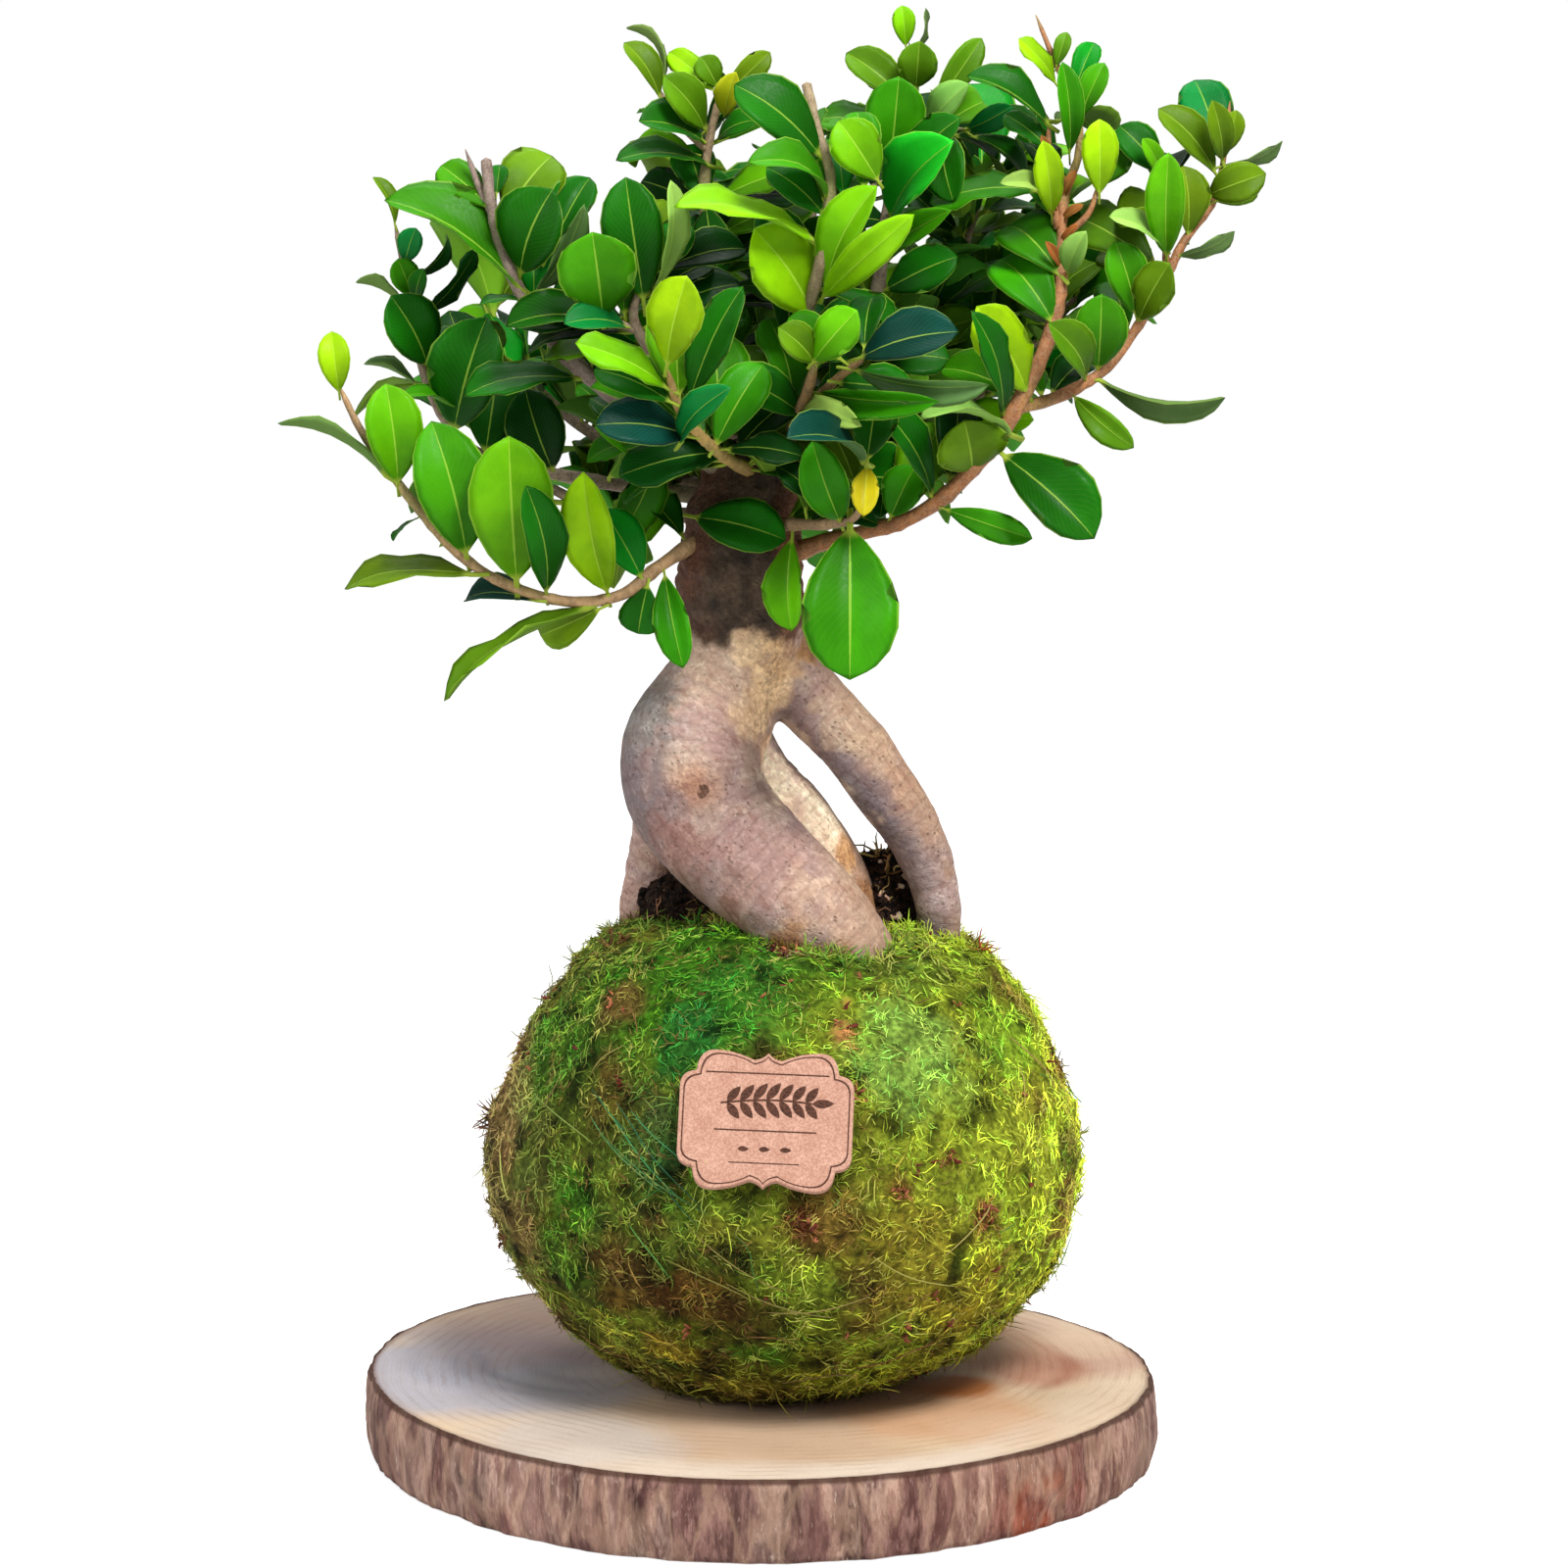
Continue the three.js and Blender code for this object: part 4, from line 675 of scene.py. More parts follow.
def tube(stations, sides, profile=None):
    """Points and faces of a closed tube; profile(i, angle) is a factor of the radius."""
    points, faces = [], []
    across = Vector((0, 1, 0))
    for i, (point, radius) in enumerate(stations):
        before = stations[max(i - 1, 0)][0]
        after = stations[min(i + 1, len(stations) - 1)][0]
        along = (after - before).normalized()
        across = (across - along * across.dot(along)).normalized()
        other = along.cross(across)
        for j in range(sides):
            angle = 2 * math.pi * j / sides
            size = radius * (profile(i, angle) if profile else 1)
            points.append(point + across * (size * math.cos(angle)) + other * (size * math.sin(angle)))
    last = (len(stations) - 1) * sides
    for i in range(len(stations) - 1):
        for j in range(sides):
            a, b = i * sides + j, i * sides + (j + 1) % sides
            faces.append((a, b, b + sides, a + sides))
    points.append(stations[0][0])
    points.append(stations[-1][0] + (stations[-1][0] - stations[-2][0]).normalized() * stations[-1][1] * 0.5)
    low, high = len(points) - 2, len(points) - 1
    for j in range(sides):
        k = (j + 1) % sides
        faces.append((low, k, j))
        faces.append((high, last + j, last + k))
    return points, faces


def joined(parts):
    """One list of points and faces from several."""
    points, faces = [], []
    for some, more in parts:
        start = len(points)
        points.extend(some)
        faces.extend(tuple(i + start for i in face) for face in more)
    return points, faces


# Nodes


def put(tree, kind, links=None, **settings):
    """A new node with its settings, and its inputs linked or set."""
    node = tree.nodes.new(kind)
    for key, value in settings.items():
        setattr(node, key, value)
    for key, value in (links or {}).items():
        if isinstance(value, bpy.types.NodeSocket):
            tree.links.new(value, node.inputs[key])
        else:
            node.inputs[key].default_value = value
    return node


def blend(tree, factor, first, second, mode="MIX"):
    """The colour between two others."""
    node = put(tree, "ShaderNodeMix", {0: factor, 6: first, 7: second}, data_type="RGBA", blend_type=mode)
    return node.outputs[2]


def maths(tree, operation, first, second=0.0):
    return put(tree, "ShaderNodeMath", {0: first, 1: second}, operation=operation).outputs[0]


def times(tree, first, second):
    return maths(tree, "MULTIPLY", first, second)


def plus(tree, first, second):
    return maths(tree, "ADD", first, second)


def spread(tree, value, low, high, start=0.0, end=1.0):
    """Value between low and high carried to between start and end, smoothly and no further."""
    links = {"Value": value, "From Min": low, "From Max": high, "To Min": start, "To Max": end}
    return put(tree, "ShaderNodeMapRange", links, interpolation_type="SMOOTHSTEP").outputs[0]


def rgba(colour):
    """The linear colour of a display colour, as a socket takes it."""
    return (*display(colour), 1.0)


def shader_group(name, inputs, outputs):
    """An empty shader group; returns it and the sockets of its input and output."""
    tree = bpy.data.node_groups.new(name, "ShaderNodeTree")
    for label, kind, value in inputs:
        tree.interface.new_socket(label, in_out="INPUT", socket_type=kind).default_value = value
    for label, kind in outputs:
        tree.interface.new_socket(label, in_out="OUTPUT", socket_type=kind)
    return tree, put(tree, "NodeGroupInput").outputs, put(tree, "NodeGroupOutput").inputs


def mottle_group():
    """Builds the shared group of blotches: a mask from 0 to 1 and a finer height."""
    tree, given, out = shader_group(
        "Mottle",
        [
            ("Vector", "NodeSocketVector", (0, 0, 0)),
            ("Scale", "NodeSocketFloat", 100.0),
            ("Softness", "NodeSocketFloat", 0.2),
        ],
        [("Mask", "NodeSocketFloat"), ("Height", "NodeSocketFloat")],
    )
    links = {"Vector": given["Vector"], "Scale": given["Scale"], "Detail": 6.0, "Roughness": 0.62}
    noise = put(tree, "ShaderNodeTexNoise", links)
    low = maths(tree, "SUBTRACT", 0.5, given["Softness"])
    high = plus(tree, 0.5, given["Softness"])
    tree.links.new(spread(tree, noise.outputs[0], low, high), out["Mask"])
    tree.links.new(noise.outputs[0], out["Height"])


def mottled(tree, coordinates, scale, softness):
    """The mask and height of blotches, at a scale per metre."""
    links = {"Vector": coordinates, "Scale": scale, "Softness": softness}
    return put(tree, "ShaderNodeGroup", links, node_tree=bpy.data.node_groups["Mottle"]).outputs


def new_material(name, roughness, specular):
    """A material with its shader ready; returns it, its tree, the shader and the object coordinates."""
    made = bpy.data.materials.new(name)
    made.use_nodes = True
    tree = made.node_tree
    tree.nodes.clear()
    shader = put(tree, "ShaderNodeBsdfPrincipled", {"Roughness": roughness, "Specular IOR Level": specular})
    put(tree, "ShaderNodeOutputMaterial", {"Surface": shader.outputs[0]})
    return made, tree, shader, put(tree, "ShaderNodeTexCoord").outputs["Object"]


def stretched(tree, coordinates, scale):
    """Coordinates with a factor on each axis: less than 1 draws a pattern out."""
    return put(tree, "ShaderNodeMapping", {"Vector": coordinates, "Scale": scale}).outputs[0]


def bumped(tree, shader, height, strength, distance):
    """Lets a height tilt the surface that the shader sees."""
    bump = put(tree, "ShaderNodeBump", {"Strength": strength, "Distance": distance, "Height": height})
    tree.links.new(bump.outputs[0], shader.inputs["Normal"])


def stored(tree, name, output="Fac"):
    """What the mesh stores under a name."""
    return put(tree, "ShaderNodeAttribute", attribute_name=name).outputs[output]


def tint_of(tree):
    return stored(tree, "tint", "Color")


def toned(tree, colour, factors):
    """A colour with each channel times its own factor."""
    return blend(tree, 1.0, colour, (*factors, 1), "MULTIPLY")


def leaf_material():
    """Leaves: a pale rib, veins and edge on the tint of each, duller below, brighter towards the tip, painted
    shade on one half.
    """
    made, tree, shader, place = new_material("leaf_surface", 0.4, 0.2)
    shader.inputs["IOR"].default_value = 1.3
    tint = tint_of(tree)
    under = stored(tree, "under")
    across, along, _ = put(
        tree, "ShaderNodeSeparateXYZ", {0: put(tree, "ShaderNodeUVMap", uv_map="blade").outputs[0]}
    ).outputs
    off_middle = maths(tree, "ABSOLUTE", maths(tree, "SUBTRACT", across, 0.5))
    tapering = maths(tree, "MULTIPLY_ADD", along, -0.016)
    tapering.node.inputs[2].default_value = 0.026
    rib = maths(tree, "SUBTRACT", 1.0, spread(tree, maths(tree, "DIVIDE", off_middle, tapering), 0.5, 1.2))
    rib = times(tree, rib, 0.6)
    edge = spread(tree, off_middle, 0.466, 0.496, 0.0, 0.6)
    stalk = spread(tree, along, 0.03, 0.10, 0.9, 0.0)
    waves = maths(tree, "MULTIPLY_ADD", along, 17.0)
    tree.links.new(times(tree, off_middle, -13.0), waves.node.inputs[2])
    vein = spread(tree, maths(tree, "SINE", times(tree, waves, 6.2832)), 0.72, 1.0)
    blotch = mottled(tree, place, 80.0, 0.2)
    fine = mottled(tree, place, 900.0, 0.3)
    deeper = toned(tree, tint, (0.5, 0.62, 0.5))
    colour = blend(tree, times(tree, blotch["Mask"], 0.6), tint, deeper)
    tipward = spread(tree, along, 0.1, 0.9, 0.72, 1.14)
    # painted shade: one half of each leaf is darker, as if its fold turned it from the light
    painted_half_shade = spread(tree, across, 0.47, 0.53, 1.06, 0.80)
    colour = blend(tree, 1.0, colour, times(tree, tipward, painted_half_shade), "MULTIPLY")
    paler = blend(tree, 0.42, tint, rgba((0.70, 0.86, 0.35)))
    colour = blend(tree, times(tree, vein, 0.05), colour, paler)
    dull = blend(tree, 0.35, tint, rgba((0.50, 0.62, 0.26)))
    colour = blend(tree, times(tree, under, 0.75), colour, dull)
    lines = maths(tree, "MAXIMUM", rib, edge)
    colour = blend(tree, lines, colour, blend(tree, 0.62, tint, rgba((0.72, 0.86, 0.32))))
    colour = blend(tree, stalk, colour, rgba((0.62, 0.70, 0.24)))
    tree.links.new(colour, shader.inputs["Base Color"])
    rough = spread(tree, fine["Height"], 0.3, 0.7, 0.32, 0.5)
    tree.links.new(plus(tree, rough, times(tree, under, 0.22)), shader.inputs["Roughness"])
    height = plus(tree, times(tree, vein, -0.05), times(tree, lines, 0.8))
    bumped(tree, shader, plus(tree, height, times(tree, fine["Height"], 0.3)), 0.5, 0.0003)
    return made


def stem_material():
    """Twigs: bark with darker blotches and pale specks."""
    made, tree, shader, place = new_material("stem_bark", 0.6, 0.35)
    blotch = mottled(tree, stretched(tree, place, (1, 1, 0.6)), 420.0, 0.12)
    speck = mottled(tree, place, 1500.0, 0.1)
    tint = tint_of(tree)
    shade = toned(tree, tint, (0.42, 0.38, 0.36))
    colour = blend(tree, times(tree, blotch["Mask"], 0.7), tint, shade)
    pale = blend(tree, 0.6, tint, rgba((0.82, 0.74, 0.6)))
    colour = blend(tree, times(tree, speck["Mask"], 0.3), colour, pale)
    tree.links.new(colour, shader.inputs["Base Color"])
    bumped(tree, shader, plus(tree, blotch["Height"], speck["Height"]), 0.6, 0.0004)
    return made


def trunk_material():
    """Roots: folds along their grain, pores, coarse bark where it is marked, and the scar."""
    made, tree, shader, place = new_material("trunk_bark", 0.62, 0.3)
    tint = tint_of(tree)
    grain = stored(tree, "grain", "Vector")
    wrinkles = mottled(tree, stretched(tree, grain, (7, 1, 1)), 130.0, 0.14)
    broad = mottled(tree, place, 75.0, 0.16)
    fine = mottled(tree, place, 700.0, 0.06)
    pits = put(tree, "ShaderNodeTexVoronoi", {"Vector": place, "Scale": 420.0, "Randomness": 1.0})
    pit = spread(tree, pits.outputs["Distance"], 0.08, 0.26, 1.0, 0.0)
    some = spread(tree, broad["Height"], 0.45, 0.57)
    pit = times(tree, pit, some)
    shade = toned(tree, tint, (0.60, 0.52, 0.50))
    colour = blend(tree, times(tree, wrinkles["Mask"], 0.42), tint, shade)
    cream = toned(tree, tint, (1.22, 1.18, 1.12))
    colour = blend(tree, times(tree, broad["Mask"], 0.4), colour, cream)
    colour = blend(tree, times(tree, fine["Mask"], 0.46), colour, shade)
    dark = toned(tree, tint, (0.28, 0.20, 0.16))
    colour = blend(tree, times(tree, pit, 0.5), colour, dark)
    flecks = mottled(tree, stretched(tree, grain, (2.2, 1, 1)), 260.0, 0.05)
    fleck = times(tree, flecks["Mask"], spread(tree, broad["Height"], 0.52, 0.62, 0.0, 0.45))
    colour = blend(tree, fleck, colour, shade)
    coarse = stored(tree, "coarse")
    grit = mottled(tree, place, 620.0, 0.1)
    gritty = toned(tree, tint, (0.78, 0.61, 0.45))
    lighter = toned(tree, tint, (1.9, 1.75, 1.5))
    gritty = blend(tree, grit["Mask"], gritty, lighter)
    colour = blend(tree, times(tree, coarse, 0.6), colour, gritty)
    middle = mottled(tree, place, 240.0, 0.05)
    rosy = toned(tree, tint, (0.80, 0.66, 0.62))
    colour = blend(tree, times(tree, middle["Mask"], 0.46), colour, rosy)
    grains = put(tree, "ShaderNodeTexVoronoi", {"Vector": place, "Scale": 560.0, "Randomness": 1.0})
    grain_mask = spread(tree, grains.outputs["Distance"], 0.16, 0.38, 1.0, 0.0)
    grain_mask = times(tree, grain_mask, spread(tree, middle["Height"], 0.54, 0.44, 0.0, 0.5))
    colour = blend(tree, grain_mask, colour, toned(tree, tint, (1.38, 1.36, 1.32)))
    turned = put(
        tree, "ShaderNodeMapping", {"Vector": place, "Rotation": (0, math.radians(40), 0)}
    ).outputs[0]
    streaks = mottled(tree, stretched(tree, turned, (1, 1, 0.34)), 400.0, 0.03)
    scratch = toned(tree, tint, (0.58, 0.42, 0.37))
    colour = blend(tree, spread(tree, streaks["Height"], 0.56, 0.63, 0.0, 0.6), colour, scratch)
    flake = toned(tree, tint, (1.34, 1.32, 1.26))
    colour = blend(tree, spread(tree, streaks["Height"], 0.43, 0.36, 0.0, 0.55), colour, flake)
    torn = times(tree, maths(tree, "SUBTRACT", streaks["Height"], 0.5), 14.0)
    scar = stored(tree, "scar")
    scar = plus(tree, scar, torn)
    colour = blend(tree, spread(tree, scar, 2.0, 8.0, 0.42, 0.0), colour, rgba((0.66, 0.46, 0.34)))
    colour = blend(tree, spread(tree, scar, 0.9, 2.1, 0.85, 0.0), colour, rgba((0.30, 0.19, 0.13)))
    tree.links.new(colour, shader.inputs["Base Color"])
    height = plus(tree, times(tree, wrinkles["Height"], -1.1), fine["Height"])
    rough_height = times(tree, coarse, times(tree, grit["Height"], 3.0))
    height = plus(tree, height, rough_height)
    bumped(tree, shader, maths(tree, "SUBTRACT", height, pit), 0.75, 0.0009)
    return made


def moss_material(name, bright):
    """Strands: each with a hue and brightness of its own by its shade, lifted by painted light, some brown
    and some like straw.
    """
    made, tree, shader, place = new_material(name, 0.72, 0.22)
    tint = tint_of(tree)
    shade = stored(tree, "shade")
    hue = spread(tree, shade, 0.0, 1.0, 0.475, 0.525)
    varied = maths(tree, "FRACT", times(tree, shade, 7.31))
    # painted light: strands are lighter than their tint, up to 1.8 times at full brightness, to make up for
    # the shade among them
    level = spread(tree, varied, 0.0, 1.0, 0.78 * bright, 1.8 * bright)
    links = {"Hue": hue, "Saturation": 1.0, "Value": level, "Fac": 1.0, "Color": tint}
    colour = put(tree, "ShaderNodeHueSaturation", links).outputs[0]
    pick = maths(tree, "FRACT", times(tree, shade, 13.7))
    brown = spread(tree, pick, 0.15, 0.10, 0.0, 0.75)
    straw = spread(tree, pick, 0.87, 0.93, 0.0, 0.6)
    colour = blend(tree, brown, colour, rgba((0.46, 0.31, 0.17)))
    colour = blend(tree, straw, colour, rgba((0.80, 0.78, 0.40)))
    noise = put(tree, "ShaderNodeTexNoise", {"Vector": place, "Scale": 420.0, "Detail": 3.0})
    dry = spread(tree, noise.outputs[0], 0.55, 0.70, 0.0, 0.4)
    colour = blend(tree, dry, colour, rgba((0.66, 0.60, 0.30)))
    tree.links.new(colour, shader.inputs["Base Color"])
    return made


def bed_material():
    """The ground under the moss: a darker tone of its colours."""
    made, tree, shader, place = new_material("moss_bed", 0.95, 0.1)
    small = mottled(tree, place, 500.0, 0.15)
    dark = toned(tree, tint_of(tree), (0.22, 0.2, 0.18))
    colour = blend(tree, small["Mask"], dark, toned(tree, tint_of(tree), (0.6, 0.55, 0.5)))
    tree.links.new(colour, shader.inputs["Base Color"])
    bumped(tree, shader, small["Height"], 1.0, 0.002)
    return made


def soil_material():
    """Soil: dark crumbs with a few pale bits."""
    made, tree, shader, place = new_material("soil_crumb", 0.92, 0.15)
    small = mottled(tree, place, 520.0, 0.1)
    speck = mottled(tree, place, 1100.0, 0.04)
    colour = blend(tree, small["Mask"], rgba((0.06, 0.045, 0.04)), rgba((0.22, 0.15, 0.11)))
    bits = spread(tree, speck["Height"], 0.66, 0.70)
    colour = blend(tree, bits, colour, rgba((0.72, 0.62, 0.50)))
    tree.links.new(colour, shader.inputs["Base Color"])
    bumped(tree, shader, small["Height"], 1.0, 0.002)
    return made


def wood_material():
    """The sawn faces of the slice: broad and fine rings round the pith, clouds and pores."""
    made, tree, shader, place = new_material("sawn_wood", 0.7, 0.25)
    bend = mottled(tree, place, 14.0, 0.3)
    flat = stretched(tree, place, (1, 1, 0))
    away = put(tree, "ShaderNodeVectorMath", {0: flat, 1: PITH}, operation="DISTANCE").outputs["Value"]
    away = plus(tree, away, times(tree, bend["Height"], 0.012))
    rings = maths(tree, "SINE", times(tree, away, 2 * math.pi / RING_WIDTH))
    noise = put(tree, "ShaderNodeTexNoise", {"Vector": place, "Scale": 60.0, "Detail": 4.0})
    ring = times(tree, spread(tree, rings, 0.1, 1.0), spread(tree, noise.outputs[0], 0.35, 0.65))
    finer = maths(tree, "SINE", times(tree, away, 2 * math.pi / FINE_RING_WIDTH))
    pores = mottled(tree, place, 1400.0, 0.12)
    tint = tint_of(tree)
    line = toned(tree, tint, (0.66, 0.55, 0.46))
    colour = blend(tree, times(tree, ring, 0.36), tint, line)
    colour = blend(tree, spread(tree, finer, -1.0, 1.0, 0.0, 0.14), colour, line)
    cloud = mottled(tree, place, 45.0, 0.2)
    colour = blend(tree, times(tree, cloud["Mask"], 0.2), colour, line)
    colour = blend(tree, times(tree, pores["Mask"], 0.16), colour, line)
    tree.links.new(colour, shader.inputs["Base Color"])
    height = plus(tree, times(tree, ring, -0.5), times(tree, pores["Height"], 0.6))
    bumped(tree, shader, height, 0.35, 0.0004)
    return made


def bark_material():
    """The slice's bark: upright flakes, plates with seams, and a dark rim at the top."""
    made, tree, shader, place = new_material("slice_bark", 0.85, 0.2)
    tall = stretched(tree, place, (1, 1, 0.22))
    flakes = mottled(tree, tall, 330.0, 0.1)
    drift = put(tree, "ShaderNodeTexNoise", {"Vector": tall, "Scale": 150.0, "Detail": 4.0}).outputs["Color"]
    moved = put(
        tree, "ShaderNodeVectorMath",
        {0: drift, 1: (0.014, 0.014, 0.014), 2: stretched(tree, place, (1, 1, 0.35))},
        operation="MULTIPLY_ADD",
    ).outputs[0]
    cells = put(tree, "ShaderNodeTexVoronoi", {"Vector": moved, "Scale": 80.0})
    plate = put(tree, "ShaderNodeSeparateColor", {0: cells.outputs["Color"]}).outputs[0]
    edges = put(tree, "ShaderNodeTexVoronoi", {"Vector": moved, "Scale": 80.0}, feature="DISTANCE_TO_EDGE")
    seam = spread(tree, edges.outputs["Distance"], 0.03, 0.16, 0.6, 0.0)
    broad = mottled(tree, stretched(tree, place, (1, 1, 0.5)), 70.0, 0.12)
    fine = mottled(tree, stretched(tree, place, (1, 1, 0.25)), 800.0, 0.1)
    tint = tint_of(tree)
    dark = toned(tree, tint, (0.42, 0.33, 0.35))
    pale = blend(tree, 0.42, tint, rgba((0.82, 0.69, 0.62)))
    colour = blend(tree, flakes["Mask"], dark, pale)
    colour = blend(tree, times(tree, broad["Mask"], 0.6), colour, tint)
    colour = blend(tree, times(tree, fine["Mask"], 0.4), colour, dark)
    chips = spread(tree, fine["Height"], 0.60, 0.68, 0.0, 0.5)
    colour = blend(tree, chips, colour, rgba((0.84, 0.75, 0.68)))
    maroon = toned(tree, colour, (0.60, 0.47, 0.50))
    colour = blend(tree, spread(tree, plate, 0.42, 0.62, 0.0, 0.85), colour, maroon)
    tan = blend(tree, 0.55, colour, rgba((0.74, 0.60, 0.50)))
    colour = blend(tree, seam, colour, tan)
    rim_share = stored(tree, "rim")
    colour = blend(tree, times(tree, rim_share, 0.85), colour, rgba((0.27, 0.17, 0.13)))
    tree.links.new(colour, shader.inputs["Base Color"])
    height = plus(tree, flakes["Height"], times(tree, fine["Height"], 0.5))
    height = maths(tree, "SUBTRACT", height, times(tree, seam, 0.6))
    bumped(tree, shader, height, 0.9, 0.0016)
    return made


def cork_material():
    """Cork with specks."""
    made, tree, shader, place = new_material("cork", 0.8, 0.25)
    speck = mottled(tree, place, 1500.0, 0.08)
    broad = mottled(tree, place, 260.0, 0.2)
    base = blend(tree, broad["Mask"], rgba((0.78, 0.61, 0.53)), rgba((0.72, 0.54, 0.46)))
    colour = blend(tree, times(tree, speck["Mask"], 0.5), base, rgba((0.56, 0.37, 0.30)))
    tree.links.new(colour, shader.inputs["Base Color"])
    bumped(tree, shader, speck["Height"], 0.5, 0.0004)
    return made


def ink_material():
    """Burnt lines on the cork."""
    made, tree, shader, place = new_material("burnt_line", 0.75, 0.2)
    speck = mottled(tree, place, 1600.0, 0.15)
    colour = blend(tree, speck["Mask"], rgba((0.20, 0.11, 0.08)), rgba((0.36, 0.22, 0.16)))
    tree.links.new(colour, shader.inputs["Base Color"])
    return made


def random_value(tree, low, high, seed):
    """A random number for each point."""
    links = {2: low, 3: high, "Seed": seed}
    return put(tree, "FunctionNodeRandomValue", links, data_type="FLOAT").outputs[1]


def given_attribute(tree, name, kind):
    return put(tree, "GeometryNodeInputNamedAttribute", {"Name": name}, data_type=kind).outputs[0]


def picked_shapes(tree, collection):
    """The shapes of a collection, to pick from by number."""
    links = {"Collection": collection, "Separate Children": True, "Reset Children": True}
    return put(tree, "GeometryNodeCollectionInfo", links).outputs[0]


def real_copies(tree, points, shapes, kind, rotation, scale, finish):
    """A copy of a shape on each point, made real, with its material."""
    links = {
        "Points": points, "Instance": shapes, "Pick Instance": True, "Instance Index": kind,
        "Rotation": rotation, "Scale": scale,
    }
    copies = put(tree, "GeometryNodeInstanceOnPoints", links)
    real = put(tree, "GeometryNodeRealizeInstances", {"Geometry": copies.outputs[0]})
    return put(tree, "GeometryNodeSetMaterial", {"Geometry": real.outputs[0], "Material": finish}).outputs[0]


def nodes_tree(name, inputs):
    """An empty geometry nodes tree with its inputs; returns it and the sockets of its input and output."""
    tree = bpy.data.node_groups.new(name, "GeometryNodeTree")
    tree.interface.new_socket("Geometry", in_out="INPUT", socket_type="NodeSocketGeometry")
    for label, kind, value in inputs:
        socket = tree.interface.new_socket(label, in_out="INPUT", socket_type="NodeSocket" + kind)
        if value is not None:
            socket.default_value = value
    tree.interface.new_socket("Geometry", in_out="OUTPUT", socket_type="NodeSocketGeometry")
    return tree, put(tree, "NodeGroupInput").outputs, put(tree, "NodeGroupOutput").inputs


def scatter_tree():
    """Copies of small shapes strewn over a surface, thickest where a stored cover is highest."""
    tree, given, out = nodes_tree("Strewn shapes", [
        ("Shapes", "Collection", None),
        ("Per square metre", "Float", 1000.0),
        ("Cover", "String", "cover"),
        ("Seed", "Int", 1),
        ("Smallest", "Float", 0.7),
        ("Largest", "Float", 1.3),
        ("Lean", "Float", 0.3),
        ("Material", "Material", None),
    ])
    density = times(tree, given_attribute(tree, given["Cover"], "FLOAT"), given["Per square metre"])
    strewn = put(
        tree, "GeometryNodeDistributePointsOnFaces",
        {"Mesh": given["Geometry"], "Density": density, "Seed": given["Seed"]},
    )
    lean_low = times(tree, given["Lean"], -1.0)
    low = put(tree, "ShaderNodeCombineXYZ", {0: lean_low, 1: lean_low, 2: 0.0})
    high = put(tree, "ShaderNodeCombineXYZ", {0: given["Lean"], 1: given["Lean"], 2: 2 * math.pi})
    turn = put(
        tree, "FunctionNodeRandomValue",
        {0: low.outputs[0], 1: high.outputs[0], "Seed": given["Seed"]}, data_type="FLOAT_VECTOR",
    )
    turned = put(
        tree, "FunctionNodeRotateRotation",
        {
            "Rotation": strewn.outputs["Rotation"],
            "Rotate By": put(tree, "FunctionNodeEulerToRotation", {0: turn.outputs[0]}).outputs[0],
        },
        rotation_space="LOCAL",
    )
    size = random_value(tree, given["Smallest"], given["Largest"], plus(tree, given["Seed"], 11.0))
    kind_seed = plus(tree, given["Seed"], 23.0)
    kind = put(tree, "FunctionNodeRandomValue", {4: 0, 5: 97, "Seed": kind_seed}, data_type="INT")
    shade = random_value(tree, 0.0, 1.0, plus(tree, given["Seed"], 41.0))
    marked = put(
        tree, "GeometryNodeStoreNamedAttribute",
        {"Geometry": strewn.outputs["Points"], "Name": "shade", "Value": shade},
        data_type="FLOAT", domain="POINT",
    )
    done = real_copies(
        tree, marked.outputs[0], picked_shapes(tree, given["Shapes"]), kind.outputs[2], turned.outputs[0],
        size, given["Material"],
    )
    tree.links.new(done, out[0])


def foliage_tree():
    """Leaves set on a branch: one for each point of another object, with its own shape, turn and size."""
    tree, given, out = nodes_tree("Leaves on a branch", [
        ("Leaf points", "Object", None),
        ("Leaf shapes", "Collection", None),
        ("Size factor", "Float", 1.0),
        ("Material", "Material", None),
    ])
    points = put(tree, "GeometryNodeObjectInfo", {"Object": given["Leaf points"]})
    turn = put(tree, "FunctionNodeEulerToRotation", {0: given_attribute(tree, "turn", "FLOAT_VECTOR")})
    size = given_attribute(tree, "size", "FLOAT_VECTOR")
    grown = put(tree, "ShaderNodeVectorMath", {0: size, "Scale": given["Size factor"]}, operation="SCALE")
    leafy = real_copies(
        tree, points.outputs["Geometry"], picked_shapes(tree, given["Leaf shapes"]),
        given_attribute(tree, "kind", "INT"), turn.outputs[0], grown.outputs[0], given["Material"],
    )
    both = put(tree, "GeometryNodeJoinGeometry")
    tree.links.new(leafy, both.inputs[0])
    tree.links.new(given["Geometry"], both.inputs[0])
    tree.links.new(both.outputs[0], out[0])
    return tree


def grow(base, tree, values, name):
    """The plain object that a geometry nodes tree makes of base; base is left as it was."""
    modifier = base.modifiers.new(tree.name, "NODES")
    modifier.node_group = tree
    for item in tree.interface.items_tree:
        if item.item_type == "SOCKET" and item.in_out == "INPUT" and item.name in values:
            modifier[item.identifier] = values[item.name]
    mesh = finished_mesh(base)
    base.modifiers.remove(modifier)
    mesh.name = name
    return new_object(name, mesh)


def shape_collection(name, meshes):
    """A collection of shapes for a tree to pick from."""
    collection = bpy.data.collections.new(name)
    for i, mesh in enumerate(meshes):
        collection.objects.link(bpy.data.objects.new(f"{name}_{i:02d}", mesh))
    return collection


def drop_collection(collection):
    """Removes a collection of shapes with what it holds."""
    for made in list(collection.objects):
        drop(made)
    bpy.data.collections.remove(collection)


